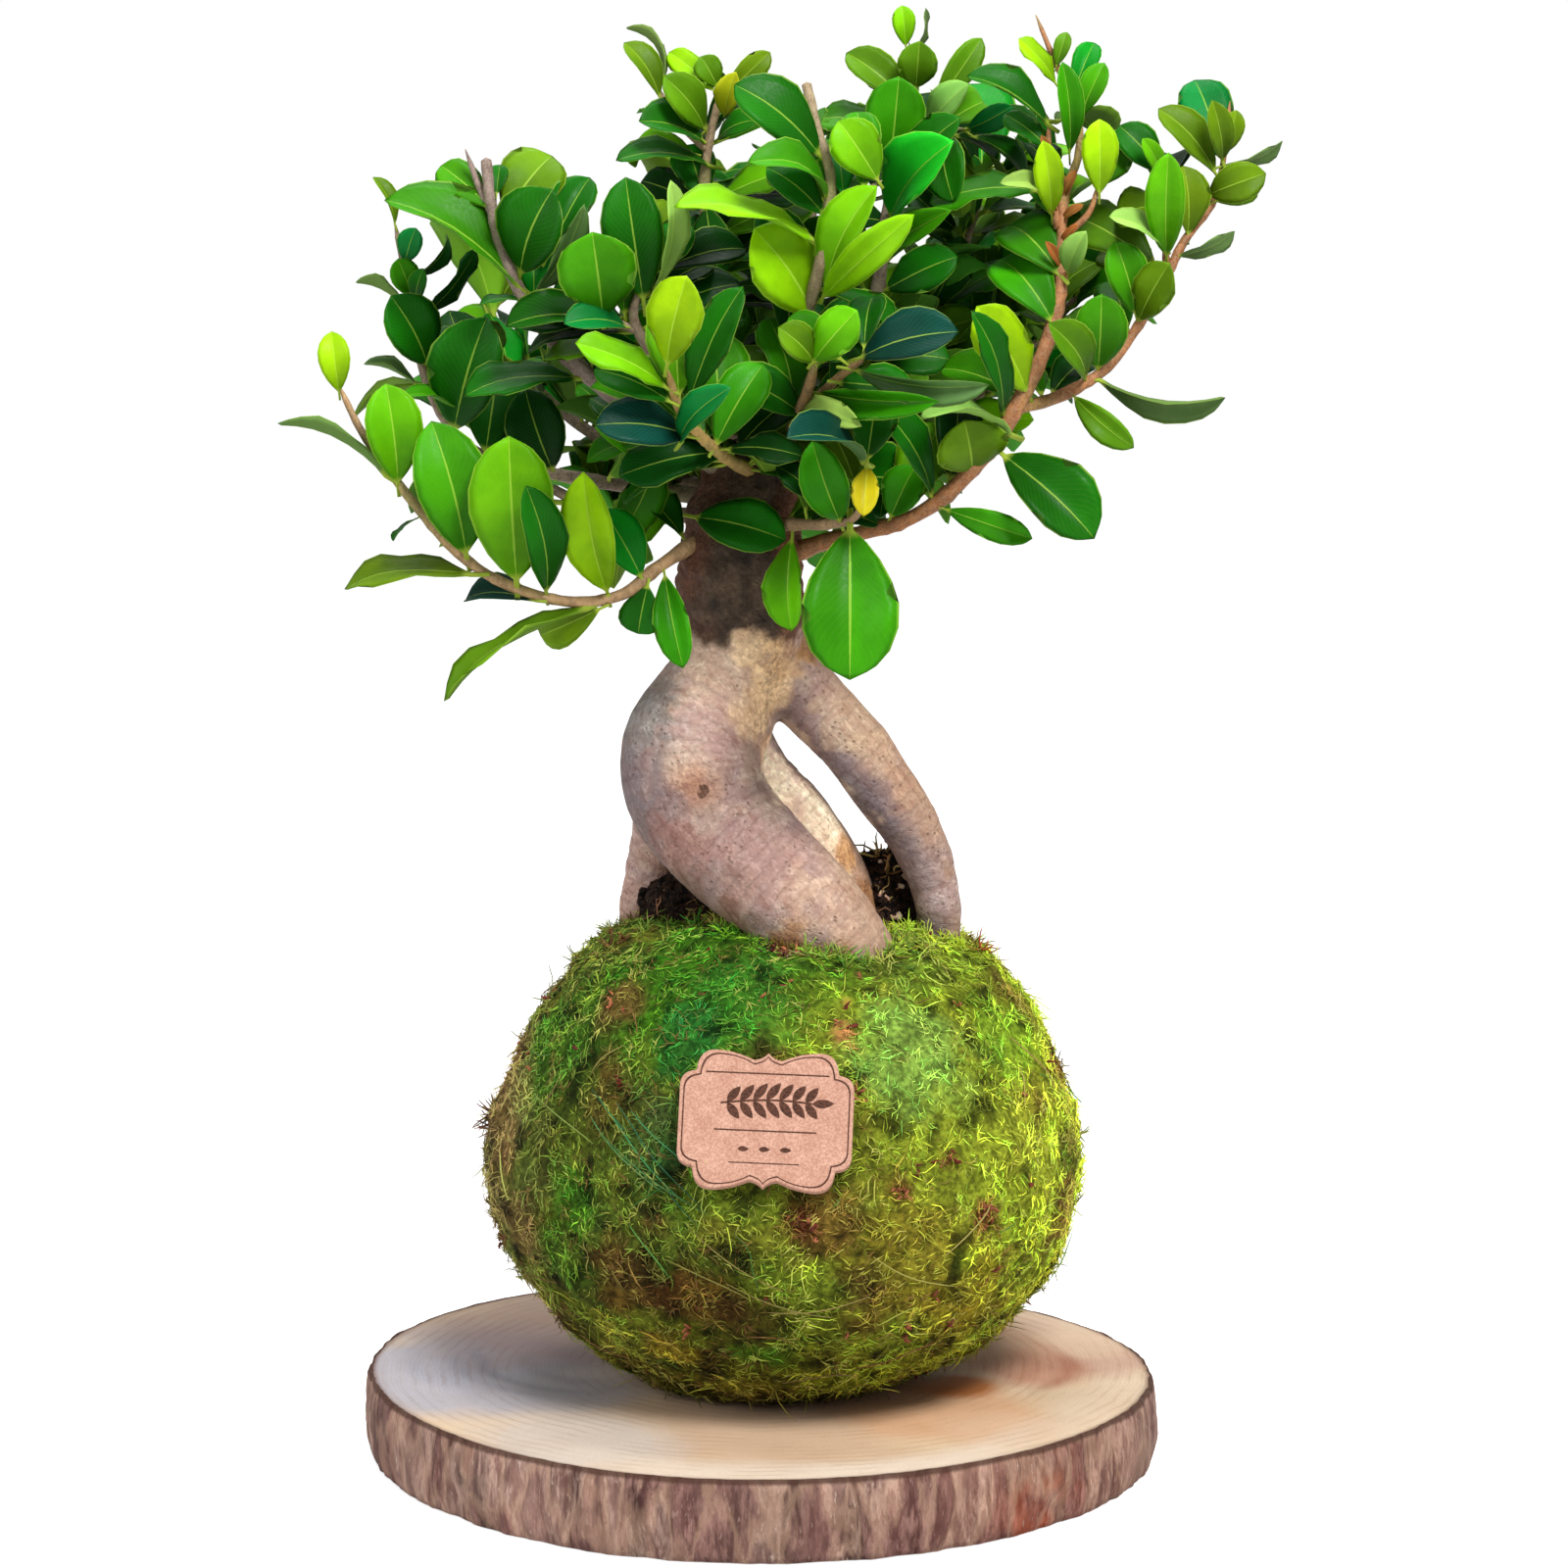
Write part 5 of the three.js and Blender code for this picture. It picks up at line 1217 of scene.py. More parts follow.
def strew(bed, name, shapes, density, seed, sizes, lean, finish, cover="cover"):
    """A piece of small shapes strewn over a bed, so many on a square metre where its cover is full."""
    collection = shape_collection(name, shapes)
    values = {
        "Shapes": collection, "Per square metre": density, "Cover": cover, "Seed": seed,
        "Smallest": sizes[0], "Largest": sizes[1], "Lean": lean, "Material": finish,
    }
    piece = grow(bed, bpy.data.node_groups["Strewn shapes"], values, name)
    drop_collection(collection)
    return piece


# Leaves and branches


def leaf_width(v):
    """Share of the full width at a share v of the length: narrow at the base, fullest past the middle."""
    peak = 0.655
    full = peak**0.95 * (1 - peak) ** 0.5
    blade = v**0.95 * (1 - v) ** 0.5 / full if v > 0 else 0
    return max(blade, 0.07)


def leaf_shape(index, arch, cup, curl, wave):
    """A leaf of unit length along +Y and unit width along X, its face up, with a stalk behind its base."""
    columns, half = LEAF_COLUMNS, LEAF_COLUMNS // 2
    swung = [0.5 - 0.5 * math.cos(math.pi * i / LEAF_ROWS) for i in range(LEAF_ROWS + 1)]
    shares = [-LEAF_STALK] + [0.02 + 0.96 * part for part in swung]
    last = len(shares) - 1
    points, uvs, faces = [], [], []

    def height(u, v):
        inside = min(max(v, 0), 1)
        rise = arch * 4 * inside * (1 - inside)
        fold = cup * 0.5 * leaf_width(inside) * 0.62 * (abs(u) ** 1.25)
        drop_at_tip = curl * max(0.0, inside - 0.55) ** 2 * 4
        ripple = wave * abs(u) ** 2 * math.sin(11 * inside + 1.7 * index + (1.4 if u > 0 else 0))
        groove = -0.006 * math.exp(-((u / 0.12) ** 2))
        return rise + fold - drop_at_tip + ripple * leaf_width(inside) + groove

    grid = {}
    for i, v in enumerate(shares):
        for j in range(columns + 1):
            u = (j - half) / half
            bulge = LEAF_HALF_THICKNESS * math.sqrt(max(0.0, 1 - u * u)) * (1.6 if v < 0.05 else 1)
            x = 0.5 * u * leaf_width(min(max(v, 0), 0.999))
            for side in (1, -1):
                if side == -1 and abs(u) == 1:
                    grid[i, j, -1] = grid[i, j, 1]
                    continue
                grid[i, j, side] = len(points)
                points.append((x, v, height(u, v) + side * bulge))
    base, tip = len(points), len(points) + 1
    points.append((0, shares[0] - 0.005, height(0, shares[0])))
    points.append((0, 1.02, height(0, 1.0)))
    under = []
    for side in (1, -1):
        for i in range(last):
            for j in range(columns):
                a, b = grid[i, j, side], grid[i, j + 1, side]
                c, d = grid[i + 1, j + 1, side], grid[i + 1, j, side]
                faces.append((a, b, c, d) if side == 1 else (d, c, b, a))
                uvs.append([(j, i), (j + 1, i), (j + 1, i + 1), (j, i + 1)][::side])
                under.append(side == -1)
        for j in range(columns):
            a, b = grid[0, j, side], grid[0, j + 1, side]
            c, d = grid[last, j, side], grid[last, j + 1, side]
            faces.append((base, b, a) if side == 1 else (a, b, base))
            uvs.append([(half, 0), (j + 1, 0), (j, 0)][::side])
            faces.append((tip, c, d) if side == 1 else (d, c, tip))
            uvs.append([(half, last), (j, last), (j + 1, last)][::side])
            under.extend([side == -1] * 2)
    mesh = mesh_from(f"leaf_{index}", np.array(points) / MM, faces)
    flat = [value for spots in uvs for j, i in spots for value in (j / columns, shares[i])]
    mesh.uv_layers.new(name="blade").data.foreach_set("uv", flat)
    mesh.attributes.new("under", "FLOAT", "FACE").data.foreach_set("value", [float(below) for below in under])
    return mesh


class LeafPoints:
    """The places, turns, sizes, shapes and tints of one branch's leaves."""

    def __init__(self):
        self.points, self.turns, self.sizes, self.kinds, self.tints = [], [], [], [], []
        self.samples = []

    def add(self, base, tip, face, width, kind, tint):
        """Keeps a leaf from its base to its tip, in millimetres, with its upper side towards face."""
        along = (tip - base).normalized()
        up = (face - along * face.dot(along)).normalized()
        side = along.cross(up)
        turn = Matrix((side, along, up)).transposed().to_euler("XYZ")
        length = (tip - base).length
        self.points.append(base)
        self.turns.append(turn)
        self.sizes.append((width * MM, length * MM, length * MM))
        self.kinds.append(kind)
        self.tints.append(tint)
        self.samples.extend(leaf_samples(base, tip, up, width))

    def build(self, name):
        mesh = bpy.data.meshes.new(name)
        mesh.from_pydata([tuple(point * MM) for point in self.points], [], [])
        for label, rows in (("turn", self.turns), ("size", self.sizes)):
            stored = mesh.attributes.new(label, "FLOAT_VECTOR", "POINT")
            stored.data.foreach_set("vector", np.array([list(row) for row in rows], np.float32).ravel())
        mesh.attributes.new("kind", "INT", "POINT").data.foreach_set("value", self.kinds)
        paint(mesh, self.tints)
        return new_object(name, mesh)


class TipFinder:
    """Finds which of a leaf's possible places the frame's own branch has, by its tip."""

    def __init__(self, node):
        points = places(frame["nodes"][node].data)
        self.tree = KDTree(len(points))
        for i, point in enumerate(points):
            self.tree.insert(point, i)
        self.tree.balance()

    def has(self, tip):
        return self.tree.find(tip)[2] < TIP_MATCH


def nearest_seen(stems, x, z):
    """The place on the stems that is seen nearest to x, z, outside the trunk."""
    best = None
    for stations in stems:
        for (start, _), (end, _) in zip(stations, stations[1:]):
            for k in range(5):
                spot = start.lerp(end, k / 4)
                far = (seen(x, z, spot.y) - spot).length
                if (best is None or far < best[0]) and not in_trunk(spot):
                    best = (far, spot)
    return best[1]


def shown_leaves(name, stems, leaves, chance):
    """The listed leaves of a branch, each at the depth where the frame's own branch has its tip."""
    found = LeafPoints()
    tips = TipFinder(f"leafy_branch_{name}")
    for base_x, base_z, tip_x, tip_z, behind, width, roll, tint in leaves:
        spot = nearest_seen(stems, base_x, base_z)
        base = seen(base_x, base_z, spot.y - 1)
        for trial in DEPTH_TRIALS:
            tip = seen(tip_x, tip_z, base.y + behind + trial)
            if not tips.has(tip):
                continue
            along = (tip - base).normalized()
            facing = (FACING - along * FACING.dot(along)).normalized()
            face = Matrix.Rotation(math.radians(roll), 3, along) @ facing
            add_leaf(found, base, tip, face, width, tint, chance)
            break
    if name == "right":
        for base_x, base_z, tip_x, tip_z in DRY_SCALES:
            spot = nearest_seen(stems, base_x, base_z)
            tip = seen(tip_x, tip_z, spot.y - 5)
            add_leaf(found, spot - (tip - spot).normalized(), tip, FACING, 3.0, "dry", chance)
    return found


def add_leaf(found, base, tip, face, width, tint, chance):
    """Adds a leaf with a shape and a slight change of colour by chance."""
    warmth = chance.uniform(0.8, 1.25)
    colour = np.array(display(LEAF_TINTS[tint])) * chance.uniform(0.86, 1.12) * np.array([warmth, 1, 1])
    small = (tip - base).length < SMALL_LEAF
    kind = chance.choice(SMALL_LEAF_SHAPES) if small else chance.randrange(len(LEAF_SHAPES))
    found.add(base, tip, face, width, kind, colour)


def ruled_leaves(name, seed, stations, chance):
    """The leaves of a hidden branch, by the same rule that the frame's own branch was grown with."""
    state = seed

    def draw():
        nonlocal state
        state = (state * 1664525 + 1013904223) & 0xFFFFFFFF
        return state / 4294967296

    found = LeafPoints()
    tips = TipFinder(f"leafy_branch_{name}")
    curve = SmoothCurve([point for point, _ in stations])
    turn = draw() * 360
    at = HIDDEN_FIRST_LEAF
    while at <= curve.length:
        share = min(at / curve.length, 1)
        at += HIDDEN_LEAF_STEP
        spot = curve.point_at(share)
        if in_trunk(spot):
            continue
        stem = curve.tangent_at(share)
        size = HIDDEN_LEAF_LENGTHS[0] + (HIDDEN_LEAF_LENGTHS[1] - HIDDEN_LEAF_LENGTHS[0]) * draw()
        least, most = HIDDEN_LEANS
        lean = math.radians(least + (most - least) * draw())
        across = Vector((0, 0, 1)).cross(stem).normalized()
        for shrink, swing in [(a, b) for a in HIDDEN_SHRINKS for b in HIDDEN_SWINGS]:
            out = Matrix.Rotation(math.radians(turn + swing), 3, stem) @ across
            along = stem * math.cos(lean) + out * math.sin(lean)
            along.z += HIDDEN_LIFT
            along.normalize()
            tip = spot + along * (HIDDEN_STALK + size * shrink)
            if tips.has(tip):
                face = stem * 0.5 + Vector((0, 0, 1))
                tint = chance.choice(HIDDEN_TINTS)
                add_leaf(found, spot + along * HIDDEN_STALK, tip, face, WIDE * size * shrink, tint, chance)
                break
        turn += HIDDEN_LEAF_TURN
    return found


def on_front(point):
    """Where a point is seen on the upright plane y = 0."""
    scale = (EYE_DISTANCE + point.y) / EYE_DISTANCE
    return EYE_X + (point.x - EYE_X) / scale, EYE_HEIGHT - (EYE_HEIGHT - point.z) / scale


def in_crown(point):
    """Whether a point is seen inside the outline of the crown."""
    x, z = on_front(point)
    inside = False
    for (x0, z0), (x1, z1) in zip(CROWN_OUTLINE, CROWN_OUTLINE[1:] + CROWN_OUTLINE[:1]):
        if (z0 > z) != (z1 > z) and x < x0 + (x1 - x0) * (z - z0) / (z1 - z0):
            inside = not inside
    return inside


def leaf_samples(base, tip, face, width):
    """A few points of a leaf, to tell how near it comes to others."""
    along = tip - base
    side = along.normalized().cross(face).normalized() * (0.45 * width)
    middle = [base + along * share for share in (0.15, 0.4, 0.65, 0.95)]
    return [*middle, middle[1] + side, middle[1] - side, middle[2] + side, middle[2] - side]


def on_fronts(points):
    """For points as an array: where each is seen on the plane y = 0, and its depth."""
    scale = (EYE_DISTANCE + points[:, 1]) / EYE_DISTANCE
    x = EYE_X + (points[:, 0] - EYE_X) / scale
    return np.column_stack([x, EYE_HEIGHT - (EYE_HEIGHT - points[:, 2]) / scale, points[:, 1]])


def fill_crown(found, taken, listed, routes, chance):
    """Adds leaves from the branch's own twigs where the crown has room, behind the leaves that are listed."""
    for _ in range(FILLER_TRIES):
        stations = chance.choice(routes)
        i = chance.randrange(len(stations) - 1)
        start, end = stations[i][0], stations[i + 1][0]
        spot = start.lerp(end, chance.random())
        stem = (end - start).normalized()
        out = Vector((chance.gauss(0, 1), chance.gauss(0.25, 0.8), chance.gauss(0.2, 0.7))).normalized()
        along = (out + stem * 0.35).normalized()
        length = chance.uniform(*FILLER_LENGTHS)
        width = length * chance.uniform(0.52, 0.66)
        base, tip = spot + along * FILLER_STALK, spot + along * (FILLER_STALK + length)
        lean = Vector((chance.gauss(0, 0.35), -0.55, 0.75 + chance.gauss(0, 0.2)))
        face = lean - along * lean.dot(along)
        if face.length < 0.2 or in_trunk(spot) or in_trunk(base.lerp(tip, 0.5)):
            continue
        face.normalize()
        if tip.y < spot.y - 6 and spot.y < -10:
            continue
        samples = leaf_samples(base, tip, face, width)
        if not all(in_crown(point) for point in samples):
            continue
        near = np.array(samples)
        seen_near = on_fronts(near)
        beside = np.linalg.norm(listed[:, None, :2] - seen_near[None, :, :2], axis=2) < FILLER_SIDESTEP
        if np.any(beside & (seen_near[None, :, 2] < listed[:, None, 2] + 1)):
            continue
        gaps = np.linalg.norm(np.array(taken)[:, None, :] - near[None, 1:, :], axis=2)
        if np.min(gaps) < FILLER_CLEARANCE:
            continue
        taken.extend([tuple(point) for point in samples])
        tint = chance.choice(FILLER_TINTS)
        add_leaf(found, base, tip, face, width, tint, chance)
        # painted shade: a filling leaf inside the crown is made darker
        found.tints[-1] = found.tints[-1] * FILLER_PAINTED_SHADE


def stem_mesh(name, routes, bark, chance):
    """The twigs of a branch: fine tubes with swollen rings here and there, where leaves stood."""
    parts = []
    for stations in routes:
        fine = refined(stations, STEM_STEP)
        knots = [chance.uniform(0, 0.16) if chance.random() < 0.35 else 0 for _ in fine]
        phase = chance.uniform(0, 6)
        last = len(fine) - 1
        cut = stations[-1][1] >= 1.5

        def profile(i, angle):
            ending = 1 if cut else min(1, (last - i + 0.6) / 2.6)
            return (0.9 + knots[i] + 0.05 * math.sin(2 * angle + 0.7 * i + phase)) * ending

        parts.append(tube(fine, STEM_SIDES, profile))
    points, faces = joined(parts)
    mesh = mesh_from(name, points, faces)
    spots = np.array(points)
    base = np.array(display(bark)) * (1 + 0.22 * lumps(spots, 7, 3))[:, None]
    green = np.clip((lumps(spots, 16, 8) - 0.35) * 1.4, 0, 0.5)[:, None]
    paint(mesh, toward(base, (0.5, 0.55, 0.2), green))
    return mesh


def stems_of_branch(name):
    """The stations of a branch's stems, as the frame's own branch has them."""
    if name in BRANCHES:
        return [route_stations(route, STEM_SPACING) for route in BRANCHES[name]["stems"]]
    route = HIDDEN_BRANCHES[name][1]
    points = [Vector(point) for *point, _ in route]
    curve = SmoothCurve(points)
    steps = round(curve.length / STEM_SPACING)
    first, last = route[0][3], route[-1][3]
    return [[(curve.point_at(i / steps), first + (last - first) * i / steps) for i in range(steps + 1)]]


class KOKEDAMA_OT_branches(bpy.types.Operator):
    """Makes each branch of the crown: its twigs, and its leaves with their stalks, ribs and folds"""

    bl_idname = "kokedama.branches"
    bl_label = "Leafy branches"

    def execute(self, context):
        sizes = context.scene.kokedama_sizes
        leaf, stem = leaf_material(), stem_material()
        tree = foliage_tree()
        blades = [leaf_shape(i, *shape) for i, shape in enumerate(LEAF_SHAPES)]
        shapes = shape_collection("leaf_shape", blades)
        grown, taken = [], []
        for number, name in enumerate([*BRANCHES, *HIDDEN_BRANCHES]):
            chance = random.Random(100 + number)
            routes = stems_of_branch(name)
            if name in BRANCHES:
                bark = BRANCHES[name]["bark"]
                found = shown_leaves(name, routes, BRANCHES[name]["leaves"], chance)
            else:
                bark = HIDDEN_BARK
                found = ruled_leaves(name, HIDDEN_BRANCHES[name][0], routes[0], chance)
            if not found.points:
                raise RuntimeError(f"no leaf of {name} matches the frame")
            grown.append((name, routes, bark, found, chance))
            taken.extend(tuple(point) for point in found.samples)
        listed = on_fronts(np.vstack([found.samples for name, _, _, found, _ in grown if name in BRANCHES]))
        for name, routes, bark, found, chance in grown:
            fill_crown(found, taken, listed, routes, chance)
            twigs = new_object(f"twigs_{name}", stem_mesh(f"twigs_{name}", routes, bark, chance))
            twigs.data.materials.append(stem)
            spots = found.build(f"leaf_points_{name}")
            values = {
                "Leaf points": spots, "Leaf shapes": shapes, "Size factor": sizes.leaf_size, "Material": leaf,
            }
            piece = grow(twigs, tree, values, f"branch_{name}")
            drop(twigs)
            drop(spots)
            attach(piece, "root")
            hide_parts(f"leafy_branch_{name}")
        drop_collection(shapes)
        return {"FINISHED"}


# Trunk

TRUNK_BASE = (0.71, 0.60, 0.56)
# How bright each root is, in the order of their routes: the behind and left roots are painted lighter to make
# up for the shade they lie in
TRUNK_LEVELS = [0.88, 1.13, 0.82, 1.4]
# Places that differ in colour, some painted lighter to make up for shade, as seen from the front: x, z, y,
# radius, colour, strength
TRUNK_ZONES = [
    # the grey band down the left edge: partly the bark's own grey, partly painted shade on the side away from
    # the light
    (-34, 226, -18, 14, (0.59, 0.58, 0.57), 0.85),
    (-37, 206, -16, 13, (0.54, 0.49, 0.50), 0.85),
    (-28, 238, -16, 9, (0.58, 0.55, 0.52), 0.65),
    (-27, 228, -27, 5, (0.52, 0.48, 0.42), 0.5),
    (-32, 190, -18, 9, (0.54, 0.47, 0.46), 0.7),
    (-12, 238, -22, 15, (0.86, 0.76, 0.66), 0.7),
    (-14, 222, -30, 12, (0.80, 0.67, 0.64), 0.6),
    (-22, 214, -28, 7, (0.82, 0.74, 0.68), 0.6),
    (-24, 186, -28, 12, (0.68, 0.50, 0.46), 0.6),
    (-8, 190, -36, 12, (0.68, 0.55, 0.53), 0.6),
    (-16, 195, -34, 6, (0.76, 0.68, 0.62), 0.6),
    (-6, 205, -32, 8, (0.68, 0.58, 0.57), 0.65),
    (4, 198, -28, 6, (0.82, 0.74, 0.68), 0.5),
    # painted light: the golden bark below, lighter than its own colour to make up for the shade of the hollow
    # it lies in
    (-4, 247, -16, 8, (0.98, 0.85, 0.67), 0.75),
    (1, 236, -12, 10, (1.0, 0.88, 0.71), 0.8),
    (-3, 226, -16, 9, (0.96, 0.83, 0.66), 0.7),
    (-2, 216, -10, 8, (0.92, 0.77, 0.60), 0.7),
    (5, 244, -10, 8, (0.84, 0.68, 0.49), 0.5),
    # painted light: the cream of the behind root, made lighter to make up for its shade
    (6, 206, -6, 14, (1.0, 0.91, 0.80), 0.9),
    (18, 192, -5, 13, (1.0, 0.90, 0.78), 0.9),
    (10, 200, -8, 4, (0.70, 0.66, 0.58), 0.5),
    (27, 186, -2, 6, (0.74, 0.54, 0.32), 0.8),
    (34, 172, 0, 6, (0.62, 0.44, 0.26), 0.8),
    (-22, 206, -30, 6, (0.76, 0.56, 0.42), 0.4),
    (4, 180, -40, 14, (0.74, 0.60, 0.56), 0.6),
    (14, 174, -42, 9, (0.84, 0.72, 0.62), 0.7),
    (-8, 176, -34, 7, (0.62, 0.48, 0.42), 0.5),
    (26, 160, -38, 9, (0.80, 0.68, 0.58), 0.6),
    (-8, 166, -30, 8, (0.56, 0.41, 0.33), 0.6),
    (8, 156, -36, 8, (0.70, 0.52, 0.34), 0.7),
    (-20, 175, -22, 8, (0.54, 0.42, 0.36), 0.7),
    (20, 152, -40, 7, (0.66, 0.50, 0.34), 0.6),
    (13, 256, -4, 6, (0.62, 0.32, 0.18), 0.9),
    (15, 246, -6, 5, (0.70, 0.50, 0.24), 0.7),
    (-6, 246, 14, 20, (0.50, 0.42, 0.36), 0.6),
    (26, 224, -10, 12, (0.84, 0.74, 0.62), 0.6),
    (34, 214, -10, 8, (0.82, 0.69, 0.54), 0.4),
    (46, 178, -2, 12, (0.72, 0.64, 0.62), 0.5),
    (54, 172, -2, 9, (0.80, 0.71, 0.70), 0.6),
    (28, 206, -2, 9, (0.64, 0.60, 0.59), 0.6),
    # painted light: the left root, made lighter to make up for the shade it lies in
    (-36, 168, 22, 14, (0.70, 0.58, 0.53), 0.75),
    (-31, 184, 14, 9, (0.60, 0.48, 0.43), 0.6),
    (-40, 160, 20, 6, (0.58, 0.38, 0.30), 0.6),
    (48, 196, -8, 9, (0.76, 0.62, 0.50), 0.4),
    (44, 206, -6, 7, (0.78, 0.62, 0.48), 0.4),
]
# Where the bark is coarse, as seen from the front: x, z, y, radius, strength
COARSE_BARK = [
    (4, 247, -12, 8, 1), (1, 237, -13, 8, 1), (-2, 227, -15, 7, 0.9), (0, 217, -10, 6, 0.8),
    (14, 254, -4, 8, 1), (-20, 206, -30, 9, 0.5), (-17, 203, -31, 4, 0.9), (8, 157, -36, 9, 0.7),
    (-8, 166, -30, 8, 0.6), (28, 184, -2, 8, 0.8), (34, 172, 0, 8, 0.8), (20, 152, -40, 9, 0.6),
    (-24, 187, -27, 9, 0.4),
]
# The round scar on the front root, as seen from the front: x, z, y
TRUNK_SCAR = (-18, 203, -31)
# Distance between two folds, and how far the places of two roots are kept apart along their length
FOLD_LENGTH = 7.5
ROOT_STRIDE = 500
SAME_ROOT = 50


def places_along(points, spine):
    """For each point its place along the nearest root, and how bright that root is."""
    lookup = KDTree(len(spine))
    for i, (point, _) in enumerate(spine):
        lookup.insert(point, i)
    lookup.balance()
    along, level = np.empty(len(points)), np.empty(len(points))
    for i, point in enumerate(points):
        (_, first, near), (_, second, far) = lookup.find_n(point, 2)
        share = near / (near + far + 1e-6)
        here, there = spine[first][1], spine[second][1]
        other = there if abs(there - here) < SAME_ROOT else here
        along[i] = here * (1 - share) + other * share
        bright, beside = TRUNK_LEVELS[here // ROOT_STRIDE], TRUNK_LEVELS[there // ROOT_STRIDE]
        level[i] = bright * (1 - share) + beside * share
    return along, level


def trunk_rise(points, outward, along, wrinkle_depth):
    """How far the bark stands out at each point, and each point's distance from the scar."""
    wrinkle = np.sin(along * 2 * math.pi / FOLD_LENGTH) * np.clip(0.2 + lumps(points, 17, 23), 0, 1)
    rough_neck = np.clip((points[:, 2] - 244 - 0.3 * points[:, 0]) / 8, 0, 1)
    rise_of_neck = np.clip((points[:, 2] - 242) / 8, 0, 1) * np.clip(0.55 - outward[:, 0], 0, 1)
    wrinkle *= 1 - 0.65 * np.clip((points[:, 0] - 8) / 12, 0, 1)
    rise = wrinkle_depth * 0.5 * wrinkle + 0.5 * lumps(points, 14, 24) + 0.25 * lumps(points, 6, 25)
    rise += rough_neck * (1.3 * lumps(points, 7, 26) + 1.0 * lumps(points, 3.6, 27)) + 2.4 * rise_of_neck
    swell = np.exp(-(((points[:, 2] - 208) / 20) ** 2)) * np.clip((-20 - points[:, 0]) / 6, 0, 1)
    rise += 1.8 * swell * np.clip(-outward[:, 0] - 0.2, 0, 1)
    scar = np.linalg.norm(points - np.array(seen(*TRUNK_SCAR)), axis=1)
    rise -= 1.6 * np.exp(-((scar / 2.4) ** 2)) - 0.7 * np.exp(-(((scar - 5) / 2) ** 2))
    return rise, scar


def trunk_colours(points, outward, level):
    """Colours of the roots with painted light and shade, and of the dark neck, and how far each point is of
    the neck.
    """
    zones = [(tuple(seen(x, z, y)), *rest) for x, z, y, *rest in TRUNK_ZONES]
    base = np.array(display(TRUNK_BASE)) * (1 + 0.14 * lumps(points, 20, 4))[:, None]
    patch = np.clip(lumps(points, 12, 34) * 1.6 - 0.25, 0, 0.6)[:, None]
    base = toward(base, (0.84, 0.75, 0.66), patch)
    patch = np.clip(lumps(points, 9, 38) * 1.8 - 0.4, 0, 0.6)[:, None]
    base = toward(base, (0.60, 0.50, 0.50), patch)
    right = np.clip((points[:, 0] - 14) / 12, 0, 1)[:, None]
    # painted light: the upper side of the right root is made lighter
    top = np.clip(outward @ np.array([0.5, -0.1, 0.6]), 0, 1)[:, None] * right
    base = toward(base, (0.82, 0.68, 0.55), 0.8 * top)
    # painted shade: the undersides of the roots are made darker, most on the right root
    under = np.clip((outward @ np.array([-0.65, -0.2, -0.7])) * 1.2 + 0.2, 0, 1)[:, None]
    base = toward(base, (0.50, 0.46, 0.48), under * (0.35 + 0.6 * right))
    colours = zoned(points, base, zones, 0.45, 5) * level[:, None]
    ragged = 4 * lumps(points, 6, 35) + 2.6 * lumps(points, 2.8, 46)
    neck = np.clip((points[:, 2] - 250.5 + ragged) / 2.6, 0, 1)
    uneven = 1 + 0.55 * lumps(points, 4.5, 36) + 0.35 * lumps(points, 2.4, 37)
    # the neck: its own darker bark, with painted shade from the crown above it in the colour too
    dark = np.array(display((0.31, 0.255, 0.21))) * uneven[:, None]
    strip = np.clip(-outward[:, 0] * 2.2 - 0.9 + 0.5 * lumps(points, 7, 39), 0, 1)[:, None]
    dark = toward(dark, (0.44, 0.29, 0.23), 0.8 * strip)
    strip = np.clip(outward[:, 0] * 2.5 - 1.3 + 0.5 * lumps(points, 6, 40), 0, 1)[:, None]
    dark = toward(dark, (0.52, 0.32, 0.20), 0.7 * strip)
    return np.clip(colours + (dark - colours) * neck[:, None], 0.005, 1), neck


def coarse_share(points, neck):
    """How coarse the bark is at each point, from 0 to 1."""
    coarse = neck * 0.9
    for x, z, y, radius, strength in COARSE_BARK:
        far = np.linalg.norm(points - np.array(seen(x, z, y)), axis=1) / radius
        far = far + 0.35 * lumps(points, 4, 45)
        coarse = np.maximum(coarse, strength * np.clip((1.3 - far) / 0.8, 0, 1))
    return coarse


